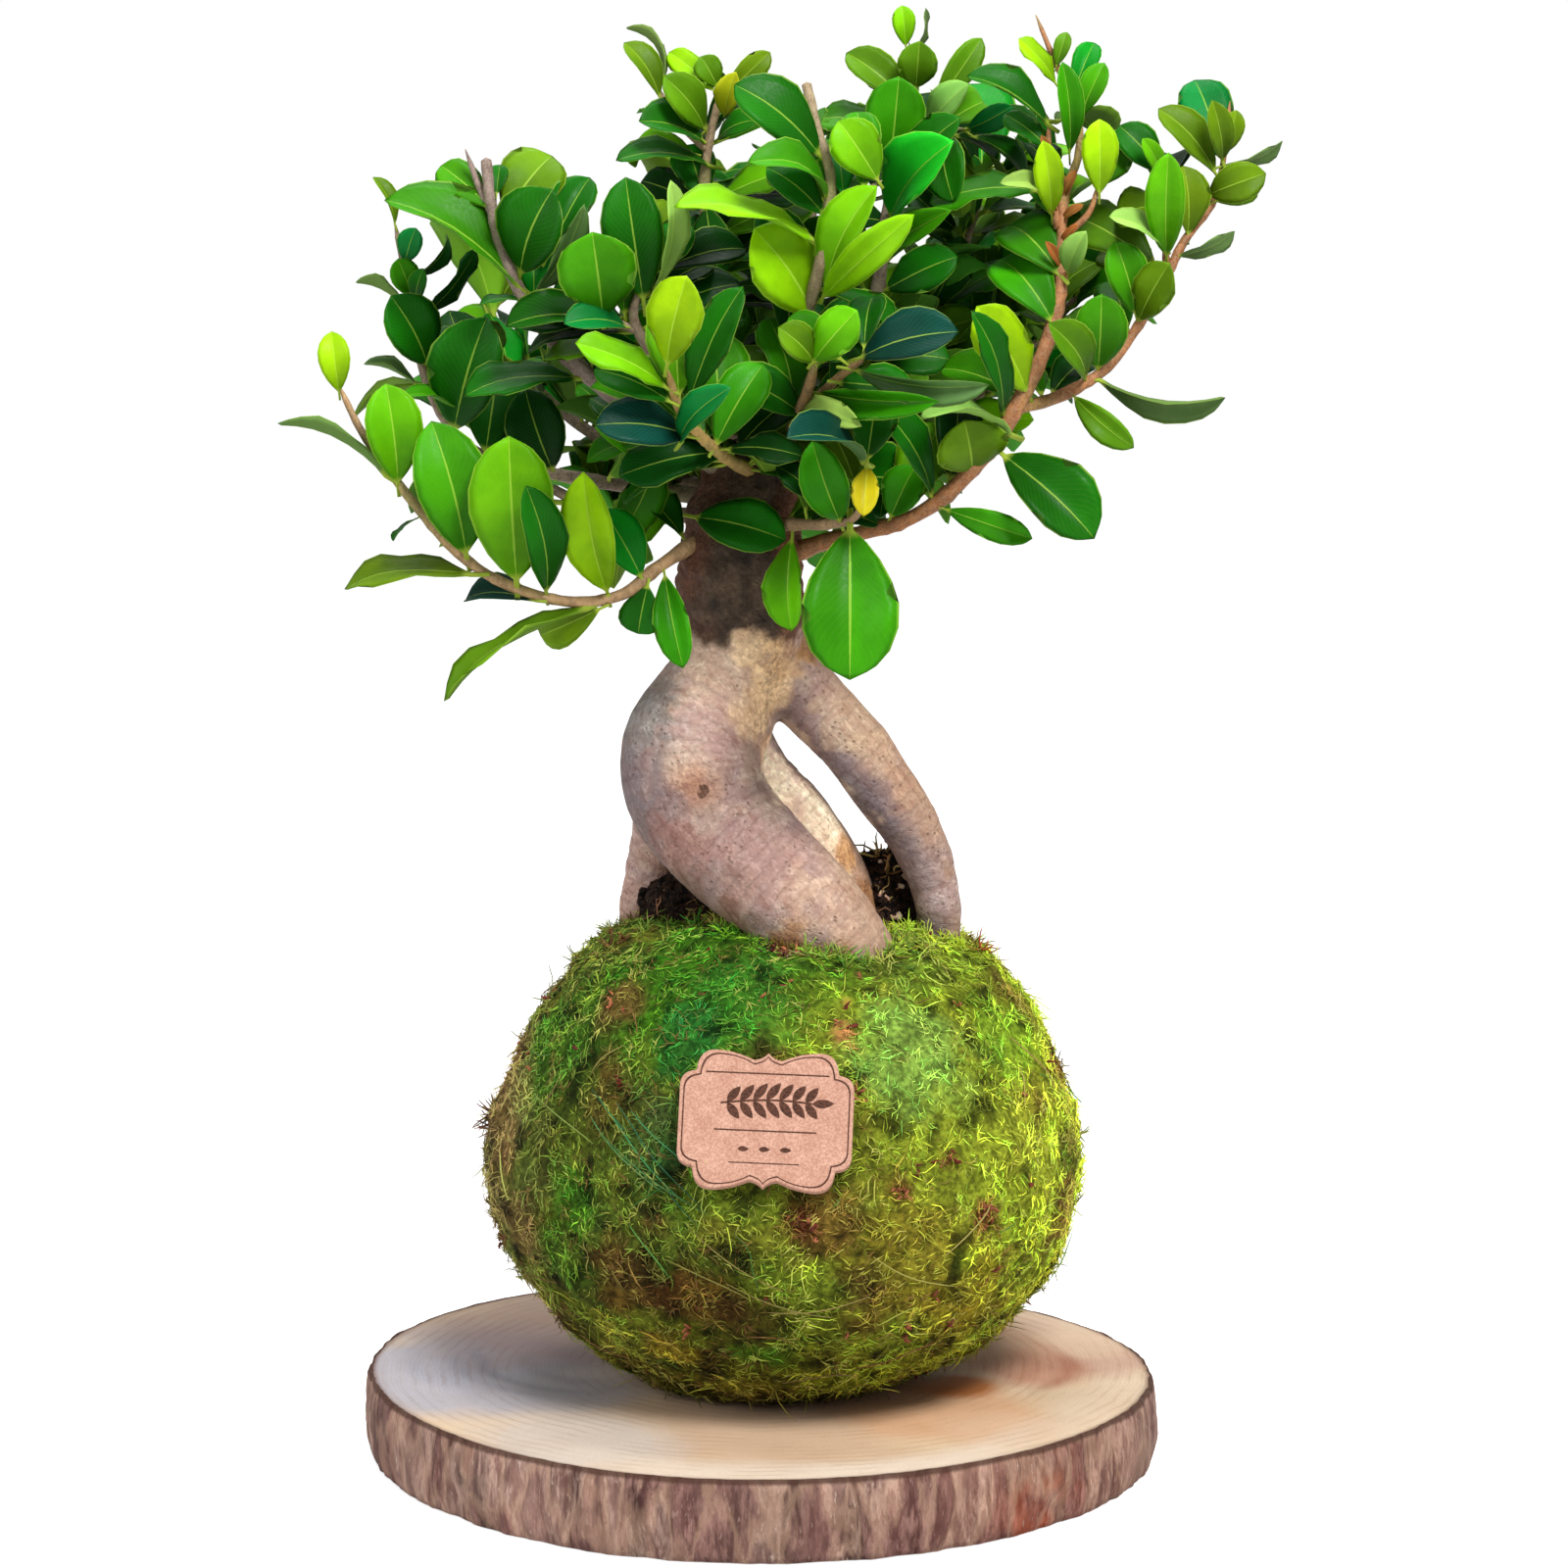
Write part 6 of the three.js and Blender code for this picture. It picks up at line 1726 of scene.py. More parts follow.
class KOKEDAMA_OT_trunk(bpy.types.Operator):
    """Makes the trunk: the neck and its four thick roots, grown together, wrinkled and pitted"""

    bl_idname = "kokedama.trunk"
    bl_label = "Trunk and roots"

    def execute(self, context):
        sizes = context.scene.kokedama_sizes
        parts, spine = [], []
        for turn, stations in enumerate(TRUNK_STATIONS.values()):
            fine = refined(stations, TRUNK_STEP)

            def profile(i, angle, turn=turn):
                oval = 0.03 * math.sin(2 * angle + 0.3 * i + turn)
                return 0.985 + oval + 0.02 * math.cos(3 * angle - 0.5 * i)

            parts.append(tube(fine, TRUNK_SIDES, profile))
            spine.extend((point, TRUNK_STEP * i + ROOT_STRIDE * turn) for i, (point, _) in enumerate(fine))
        mesh = remeshed("trunk_bark", mesh_from("roots", *joined(parts)), TRUNK_VOXEL, smoothing=6)
        points, outward = places(mesh), normals(mesh)
        along, level = places_along(points, spine)
        along = along + (5.5 * lumps(points, 15, 21) + 1.8 * lumps(points, 6, 22))
        rise, scar = trunk_rise(points, outward, along, sizes.trunk_wrinkle * 1000)
        points = points + outward * rise[:, None]
        move(mesh, points)
        colours, neck = trunk_colours(points, outward, level)
        paint(mesh, colours)
        mark(mesh, coarse_share(points, neck), "coarse")
        mark(mesh, scar, "scar")
        stored = mesh.attributes.new("grain", "FLOAT_VECTOR", "POINT")
        vectors = np.column_stack([along, lumps(points, 30, 6) * 20, lumps(points, 30, 7) * 20]) * MM
        stored.data.foreach_set("vector", vectors.astype(np.float32).ravel())
        piece = new_object("trunk_and_roots", mesh)
        piece.data.materials.append(trunk_material())
        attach(piece, "root")
        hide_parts("trunk")
        return {"FINISHED"}


# Soil


def crumb_mesh(index):
    """A small uneven lump of soil."""
    chance = random.Random(500 + index)
    shape = bmesh.new()
    bmesh.ops.create_icosphere(shape, subdivisions=1, radius=1.0 * MM)
    for vertex in shape.verts:
        vertex.co *= chance.uniform(0.7, 1.25)
        vertex.co.z += 0.4 * MM
    mesh = bpy.data.meshes.new(f"crumb_{index}")
    shape.to_mesh(mesh)
    shape.free()
    return mesh


def bent_strand(chance, length, radius, tilt, bend, segments, sides=3):
    """One strand from the origin, leaning by tilt degrees from flat and curling as it goes."""
    heading = chance.uniform(0, 2 * math.pi)
    rise = math.radians(tilt)
    point = Vector((chance.uniform(-1, 1), chance.uniform(-1, 1), -0.5))
    stations = []
    for i in range(segments + 1):
        stations.append((point.copy(), radius * (1 - 0.45 * i / segments)))
        step = length / segments
        flat = math.cos(rise)
        point += Vector((math.cos(heading) * flat, math.sin(heading) * flat, math.sin(rise))) * step
        heading += math.radians(chance.uniform(-bend, bend))
        rise += math.radians(chance.uniform(-0.6 * bend, 0.35 * bend))
    points, faces = [], []
    across = Vector((0, 0, 1))
    for i, (spot, size) in enumerate(stations[:-1]):
        along = (stations[i + 1][0] - spot).normalized()
        across = (across - along * across.dot(along)).normalized()
        other = along.cross(across)
        for j in range(sides):
            angle = 2 * math.pi * j / sides
            points.append(spot + across * (size * math.cos(angle)) + other * (size * math.sin(angle)))
    points.append(stations[-1][0])
    tip = len(points) - 1
    for i in range(segments - 1):
        for j in range(sides):
            a, b = i * sides + j, i * sides + (j + 1) % sides
            faces.append((a, b, b + sides, a + sides))
    last = (segments - 1) * sides
    faces.extend((last + j, last + (j + 1) % sides, tip) for j in range(sides))
    faces.append(tuple(reversed(range(sides))))
    return points, faces


def tuft_mesh(name, seed, strands, length, radius, tilt, bend, segments):
    """Some strands from one root, each leaning by an angle from the range of tilt."""
    chance = random.Random(seed)
    parts = []
    for _ in range(strands):
        size = length * chance.uniform(0.7, 1.25)
        parts.append(bent_strand(chance, size, radius, chance.uniform(*tilt), bend, segments))
    return mesh_from(name, *joined(parts))


# Soil piled between the left and the front root: centre, radius
SOIL_MOUNDS = [((-22, 10, 158), 15), ((-14, 16, 154), 16), ((-28, 4, 152), 11), ((-25, 14, 165), 13)]
SOIL_VOXEL = 2.6
SOIL_COLOUR = (0.55, 0.42, 0.28)
CHIP_COLOUR = (0.80, 0.70, 0.60)
# How many lie on a square metre
CRUMB_DENSITY = 80000.0
CHIP_DENSITY = 5000.0
ROOTLET_DENSITY = 9000.0
# Straws and pale bits on the soil, as seen from the front: x, z, strands, length, radius, colour
SOIL_STRAWS = [
    (34, 184, 7, 9, 0.45, (0.68, 0.56, 0.34)), (38, 185, 8, 9, 0.45, (0.62, 0.50, 0.30)),
    (41, 181, 7, 9, 0.45, (0.72, 0.60, 0.38)), (37, 178, 6, 8, 0.4, (0.60, 0.47, 0.30)),
    (43, 178, 5, 3.6, 1.3, (0.84, 0.70, 0.60)), (36, 171, 3, 3, 1.0, (0.74, 0.60, 0.50)),
    (38, 165, 2, 3, 0.9, (0.78, 0.66, 0.56)), (30, 183, 3, 6, 0.35, (0.44, 0.34, 0.22)),
    (40, 172, 4, 6, 0.3, (0.58, 0.44, 0.28)), (-24, 168, 3, 5, 0.3, (0.42, 0.32, 0.22)),
]


class Strands:
    """Single strands with colours of their own, set on a surface and gathered into one mesh."""

    def __init__(self, mesh, seed):
        corners = [vertex.co for vertex in mesh.vertices]
        self.surface = BVHTree.FromPolygons(corners, [face.vertices for face in mesh.polygons])
        self.chance = random.Random(seed)
        self.parts, self.colours, self.shades = [], [], []

    def keep(self, part, colour, level=1.0):
        """Adds a strand in a colour, made brighter or darker by level."""
        self.parts.append(part)
        self.colours.extend([tuple(c * level for c in display(colour))] * len(part[0]))
        self.shades.extend([self.chance.random()] * len(part[0]))

    def met(self, x, z):
        """The place of the surface that is seen at x, z, and which way it faces there."""
        aim = Vector((x, 0, z))
        spot, outward, _, _ = self.surface.ray_cast(EYE * MM, (aim - EYE).normalized())
        if spot is None:
            spot, outward, _, _ = self.surface.find_nearest(aim * MM)
        return spot / MM, outward

    def tufts(self, rows):
        """Adds tufts as rows of x, z, strands, length, radius and colour tell."""
        chance = self.chance
        for x, z, count, length, radius, colour in rows:
            spot, outward = self.met(x, z)
            turn = outward.to_track_quat("Z", "Y").to_matrix()
            for _ in range(count):
                size = length * chance.uniform(0.6, 1.2)
                points, faces = bent_strand(chance, size, radius, chance.uniform(5, 75), 40, 4)
                placed = [spot + turn @ Vector(point) for point in points]
                self.keep((placed, faces), colour, chance.uniform(0.7, 1.3))

    def build(self, name, finish):
        made = mesh_from(name, *joined(self.parts))
        paint(made, np.array(self.colours))
        mark(made, self.shades, "shade")
        made.materials.append(finish)
        return new_object(name, made)


class KOKEDAMA_OT_soil(bpy.types.Operator):
    """Makes the soil between the roots: a crumbly bed, loose crumbs and fine dead rootlets"""

    bl_idname = "kokedama.soil"
    bl_label = "Soil"

    def execute(self, context):
        soil = soil_material()
        shape = bmesh.new()
        shape.from_mesh(merged_copy("soil_ball"))
        for (x, y, z), size in SOIL_MOUNDS:
            place = Matrix.Translation(Vector((x, y, z)) * MM)
            bmesh.ops.create_icosphere(shape, subdivisions=3, radius=size * MM, matrix=place)
        mesh = bpy.data.meshes.new("soil")
        shape.to_mesh(mesh)
        shape.free()
        mesh = remeshed("soil_bed", mesh, SOIL_VOXEL, smoothing=2)
        points, outward = places(mesh), normals(mesh)
        shown = np.clip((points[:, 2] - 140) / 10, 0, 1)
        rise = shown * (2.0 * lumps(points, 7, 31) + 1.0 * lumps(points, 3.5, 32)) - 0.2
        move(mesh, points + outward * rise[:, None])
        mark(mesh, shown * (outward[:, 2] > 0.1), "cover")
        paint(mesh, np.tile(display(SOIL_COLOUR), (len(points), 1)))
        bed = new_object("soil_bed", mesh)
        bed.data.materials.append(soil)
        crumbs = [crumb_mesh(i) for i in range(4)]
        loose = strew(bed, "soil_crumbs", crumbs, CRUMB_DENSITY, 5, (0.5, 1.8), 1.0, soil)
        pale, _, shader, _ = new_material("pale_chip", 0.8, 0.2)
        shader.inputs["Base Color"].default_value = rgba(CHIP_COLOUR)
        chips = strew(bed, "soil_chips", crumbs, CHIP_DENSITY, 6, (0.7, 1.7), 1.0, pale)
        twigs = [tuft_mesh(f"rootlet_{i}", 600 + i, 3, 8, 0.3, (5, 60), 70, 4) for i in range(4)]
        fibre = moss_material("dead_rootlet", 0.8)
        fibres = strew(bed, "soil_rootlets", twigs, ROOTLET_DENSITY, 9, (0.5, 1.2), 0.5, fibre)
        listed = Strands(mesh, 93)
        listed.tufts(SOIL_STRAWS)
        straws = listed.build("soil_straws", moss_material("straw", 0.8))
        for piece in (bed, loose, chips, fibres, straws):
            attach(piece, "root")
        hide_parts("soil_ball")
        return {"FINISHED"}


# Moss

# The moss of the left side, the right side and the bottom; the lighter right side is partly the moss's own
# colour and partly painted light
MOSS_LEFT = (0.42, 0.53, 0.17)
MOSS_RIGHT = (0.68, 0.80, 0.21)
MOSS_BOTTOM = (0.50, 0.47, 0.14)
# Blotches all round by chance: seed, size, colour, strength
MOSS_BLOTCHES = [
    (13, 24, (0.30, 0.56, 0.12), 0.8), (14, 15, (0.48, 0.36, 0.18), 0.75), (15, 11, (0.60, 0.62, 0.20), 0.7),
    (16, 8, (0.30, 0.22, 0.12), 0.55),
]
# Patches of other colours, as seen from the front: x, z, radius, colour, strength
MOSS_ZONES = [
    (-23, 143, 30, (0.30, 0.60, 0.10), 0.85),
    (10, 148, 22, (0.38, 0.62, 0.14), 0.7),
    (-6, 137, 18, (0.28, 0.62, 0.18), 0.75),
    (-64, 122, 22, (0.30, 0.54, 0.14), 0.7),
    (-23, 126, 10, (0.14, 0.52, 0.22), 0.65),
    (-41, 135, 9, (0.52, 0.38, 0.22), 0.8),
    (-60, 142, 8, (0.48, 0.42, 0.18), 0.5),
    (62, 104, 40, (0.70, 0.79, 0.23), 0.85),
    (45, 124, 19, (0.61, 0.83, 0.38), 0.75),
    (72, 128, 14, (0.56, 0.78, 0.20), 0.7),
    (40, 146, 14, (0.46, 0.62, 0.22), 0.6),
    (24, 136, 4, (0.92, 0.64, 0.38), 0.9),
    (24, 129, 4, (0.90, 0.66, 0.40), 0.9),
    (5, 155, 5, (0.34, 0.12, 0.09), 0.9),
    (66, 152, 6, (0.72, 0.46, 0.22), 0.7),
    (88, 122, 5, (0.44, 0.26, 0.14), 0.7),
    (-32, 100, 15, (0.20, 0.46, 0.24), 0.6),
    (-62, 96, 20, (0.40, 0.46, 0.15), 0.6),
    (-79, 92, 9, (0.54, 0.42, 0.24), 0.8),
    (-74, 68, 12, (0.50, 0.38, 0.18), 0.7),
    (-60, 76, 10, (0.30, 0.60, 0.12), 0.7),
    (-40, 52, 15, (0.48, 0.34, 0.17), 0.8),
    (-20, 46, 14, (0.44, 0.28, 0.13), 0.8),
    (-5, 36, 14, (0.32, 0.22, 0.11), 0.7),
    (-28, 30, 8, (0.66, 0.58, 0.18), 0.7),
    (18, 72, 13, (0.60, 0.42, 0.22), 0.6),
    (12, 71, 5, (0.50, 0.24, 0.16), 0.85),
    (43, 81, 4.5, (0.50, 0.28, 0.18), 0.85),
    (68, 74, 5.5, (0.56, 0.32, 0.18), 0.85),
    (57, 90, 4.5, (0.46, 0.26, 0.14), 0.8),
    (44, 58, 20, (0.68, 0.60, 0.21), 0.7),
    (30, 50, 8, (0.30, 0.22, 0.12), 0.7),
    (64, 46, 18, (0.72, 0.68, 0.20), 0.75),
    (-10, 62, 10, (0.40, 0.42, 0.14), 0.6),
    (-84, 103, 6, (0.30, 0.18, 0.12), 0.8),
    (-68, 142, 5, (0.30, 0.24, 0.14), 0.6),
    (-42, 159, 6, (0.50, 0.32, 0.20), 0.7),
]


def on_ball(x, z):
    """The place on the ball's front that is seen at x, z."""
    ray = (Vector((x, 0, z)) - EYE).normalized()
    scale = Vector((1, 1, BALL_RADIUS / BALL_HALF_HEIGHT))
    centre = Vector((BALL_X, 0, BALL_Z))
    start = (EYE - centre) * scale
    step = ray * scale
    half, full = start.dot(step), step.length_squared
    root = half * half - full * (start.length_squared - BALL_RADIUS**2)
    reach = (-half - math.sqrt(max(root, 0))) / full
    return EYE + ray * reach


def off_trunk(points):
    """How far points lie outside the skin of the roots, less than 0 inside."""
    nearest = np.full(len(points), 1e9)
    for stations in TRUNK_STATIONS.values():
        for (start, radius), (end, after) in zip(stations, stations[1:]):
            first, line = np.array(start), np.array(end - start)
            part = np.clip((points - first) @ line / (line @ line), 0, 1)
            away = np.linalg.norm(points - first - part[:, None] * line, axis=1)
            nearest = np.minimum(nearest, away - radius - (after - radius) * part)
    return nearest


def moss_colours(points):
    """Colours of the moss at points of the ball: patches seen in front, like them all round by chance,
    painted light and shade.
    """
    # left to right: the lighter right side is partly painted light
    side = (points[:, 0] - BALL_X) / BALL_RADIUS * 0.9 + 0.5 + 0.3 * lumps(points, 26, 11)
    side = np.clip(side, 0, 1)[:, None]
    base = np.array(display(MOSS_LEFT)) * (1 - side) + np.array(display(MOSS_RIGHT)) * side
    low = np.clip((70 - points[:, 2]) / 40 + 0.35 * lumps(points, 18, 12), 0, 1)[:, None]
    base = toward(base, MOSS_BOTTOM, 0.8 * low)
    for seed, size, colour, strength in MOSS_BLOTCHES:
        share = np.clip((lumps(points, size, seed) - 0.28) * 2.6, 0, 1)[:, None] * strength
        base = toward(base, colour, share)
    zones = [(tuple(on_ball(x, z)), *rest) for x, z, *rest in MOSS_ZONES]
    colours = zoned(points, base, zones, 0.35, 7)
    edge = (points[:, 0] - BALL_X) / BALL_RADIUS
    # painted light: the moss is made lighter towards its right edge
    colours *= 1 + np.clip((edge - 0.68) / 0.25, 0, 1)[:, None] * np.array([0.75, 0.5, 0.6])
    # the left edge lighter and browner: partly brown moss, partly painted light
    brown = np.clip((-edge - 0.78) / 0.18 + 0.5 * lumps(points, 12, 17), 0, 1)[:, None] * 0.65
    colours = toward(colours, (0.72, 0.60, 0.40), brown)
    # painted light and shade: clumps made lighter and darker, more so lower down, and darker hollows between
    # them
    depth = 1 + 0.75 * np.clip((96 - points[:, 2]) / 40, 0, 1)
    clump_light_and_shade = 1.08 + depth * (0.42 * lumps(points, 6.5, 18) + 0.34 * lumps(points, 3.2, 19))
    painted_hollow_shade = 1 - 0.75 * np.clip((lumps(points, 5.5, 20) - 0.42) * 6, 0, 1)
    colours *= (np.clip(clump_light_and_shade, 0.2, 2.4) * painted_hollow_shade)[:, None]
    # painted shade: darker towards the foot, where the ball sits on the slice
    return colours * (0.35 + 0.65 * np.clip((points[:, 2] - 26) / 9, 0, 1))[:, None]


# Dry reddish buds in the moss, as seen from the front
MOSS_BUDS = [(12, 71), (43, 81), (68, 74), (57, 90), (5, 155), (24, 136), (24, 130), (-40, 134), (88, 122)]


def bud_mesh(index):
    """A small dry bud: a few curled scales on a short axis."""
    chance = random.Random(900 + index)
    parts = []
    for _ in range(3):
        length = chance.uniform(2.2, 3.6)
        parts.append(bent_strand(chance, length, 0.55, chance.uniform(10, 70), 50, 3, sides=4))
    return mesh_from(f"bud_{index}", *joined(parts))


def bud_material():
    """Dry reddish buds."""
    made, tree, shader, place = new_material("dry_bud", 0.75, 0.25)
    shade = stored(tree, "shade")
    colour = blend(tree, spread(tree, shade, 0.2, 0.8), rgba((0.40, 0.15, 0.11)), rgba((0.66, 0.40, 0.26)))
    noise = put(tree, "ShaderNodeTexNoise", {"Vector": place, "Scale": 500.0, "Detail": 3.0})
    colour = blend(tree, spread(tree, noise.outputs[0], 0.5, 0.7), colour, rgba((0.30, 0.13, 0.09)))
    tree.links.new(colour, shader.inputs["Base Color"])
    return made


# Long strands that lie across the front: both ends as seen from the front, then the colour
LONG_STRANDS = [
    ((-51, 112), (-21, 71), (0.16, 0.40, 0.22)),
    ((-49, 110), (-25, 78), (0.20, 0.44, 0.24)),
    ((-44, 108), (-18, 76), (0.14, 0.36, 0.20)),
    ((-40, 106), (-14, 84), (0.18, 0.38, 0.20)),
    ((-46, 96), (-16, 74), (0.22, 0.42, 0.22)),
    ((-52, 104), (-30, 80), (0.24, 0.44, 0.24)),
    ((-22, 69), (6, 50), (0.52, 0.47, 0.24)),
    ((-11, 52), (21, 42), (0.52, 0.46, 0.25)),
    ((-30, 60), (-4, 47), (0.46, 0.42, 0.20)),
    ((34, 60), (58, 52), (0.48, 0.44, 0.22)),
    ((-70, 112), (-52, 96), (0.40, 0.44, 0.20)),
]
# Others that lie all round by chance
LAID_STRANDS = 80
LAID_COLOURS = [(0.46, 0.42, 0.22), (0.24, 0.42, 0.18), (0.40, 0.46, 0.16), (0.40, 0.27, 0.16)]
# Tufts that stand out from the moss, as seen from the front: x, z, strands, length, radius, colour
STRAY_TUFTS = [
    (-83, 105, 20, 8, 0.32, (0.30, 0.19, 0.13)), (-84, 101, 14, 6, 0.3, (0.36, 0.24, 0.17)),
    (-80, 108, 6, 4, 0.28, (0.30, 0.22, 0.13)), (-75, 130, 5, 5, 0.28, (0.32, 0.36, 0.14)),
    (-69, 143, 7, 6, 0.28, (0.27, 0.31, 0.14)), (-56, 152, 6, 5, 0.28, (0.31, 0.38, 0.14)),
    (66, 155, 10, 7, 0.35, (0.56, 0.34, 0.17)), (60, 157, 8, 7, 0.35, (0.52, 0.38, 0.18)),
    (93, 121, 6, 6, 0.28, (0.27, 0.29, 0.16)), (96, 98, 5, 7, 0.28, (0.36, 0.42, 0.16)),
    (93, 76, 5, 8, 0.28, (0.31, 0.33, 0.16)), (88, 58, 5, 6, 0.28, (0.36, 0.40, 0.16)),
    (-72, 58, 6, 5, 0.28, (0.32, 0.30, 0.14)), (-62, 42, 8, 5, 0.28, (0.27, 0.22, 0.14)),
    (50, 156, 10, 7, 0.28, (0.45, 0.56, 0.20)), (44, 155, 12, 6, 0.28, (0.42, 0.54, 0.18)),
    (-35, 161, 10, 6, 0.28, (0.36, 0.44, 0.16)), (-42, 158, 10, 5, 0.32, (0.40, 0.24, 0.15)),
    (-46, 156, 8, 6, 0.32, (0.38, 0.24, 0.14)), (-28, 162, 12, 6, 0.28, (0.28, 0.42, 0.12)),
    (-20, 163, 12, 6, 0.28, (0.24, 0.46, 0.12)), (-12, 160, 10, 5, 0.28, (0.22, 0.40, 0.12)),
    (4, 154.5, 16, 3.2, 0.55, (0.26, 0.07, 0.06)), (6, 153, 16, 3, 0.55, (0.22, 0.06, 0.06)),
    (1, 155, 6, 4, 0.4, (0.12, 0.07, 0.06)), (10, 154, 7, 6, 0.4, (0.60, 0.50, 0.34)),
    (14, 153, 14, 6, 0.28, (0.36, 0.44, 0.16)), (19, 152.5, 16, 7, 0.28, (0.42, 0.54, 0.18)),
    (24, 152, 16, 7, 0.28, (0.40, 0.56, 0.17)), (29, 152, 16, 7, 0.28, (0.46, 0.58, 0.18)),
    (34, 152.5, 16, 8, 0.28, (0.44, 0.60, 0.20)), (38, 154, 14, 9, 0.28, (0.46, 0.60, 0.20)),
    (31, 150, 14, 7, 0.28, (0.48, 0.60, 0.22)), (25, 149.5, 12, 6, 0.28, (0.40, 0.54, 0.18)),
    (-3, 28, 6, 5, 0.28, (0.22, 0.26, 0.10)), (22, 27, 6, 5, 0.28, (0.20, 0.24, 0.10)),
]


def laid_strand(surface, start, end, radius, lift, chance):
    """A strand laid on a surface between two points."""
    count = max(6, int((end - start).length / 4))
    sway = Vector((chance.uniform(-1, 1), chance.uniform(-1, 1), chance.uniform(-1, 1)))
    spots = []
    for i in range(count + 1):
        share = i / count
        spot = start.lerp(end, share) + sway * (2.0 * math.sin(math.pi * share))
        near, outward, _, _ = surface.find_nearest(spot * MM)
        spots.append(near / MM + outward * lift)
    for _ in range(3):
        inner = [(a + b * 2 + c) / 4 for a, b, c in zip(spots, spots[1:], spots[2:])]
        spots = [spots[0], *inner, spots[-1]]
    stations = []
    for i, spot in enumerate(spots):
        stations.append((spot, radius * (1 - 0.5 * abs(2 * i / count - 1) ** 3)))
    return tube(stations, 4)


MOSS_VOXEL = 2.6
# Heights where the open top begins, and below which no strands stand
MOSS_TOP = 136
MOSS_FOOT = 25
WISP_DENSITY = 8000.0
COLLAR_DENSITY = 300000.0
BUD_DENSITY = 260000.0


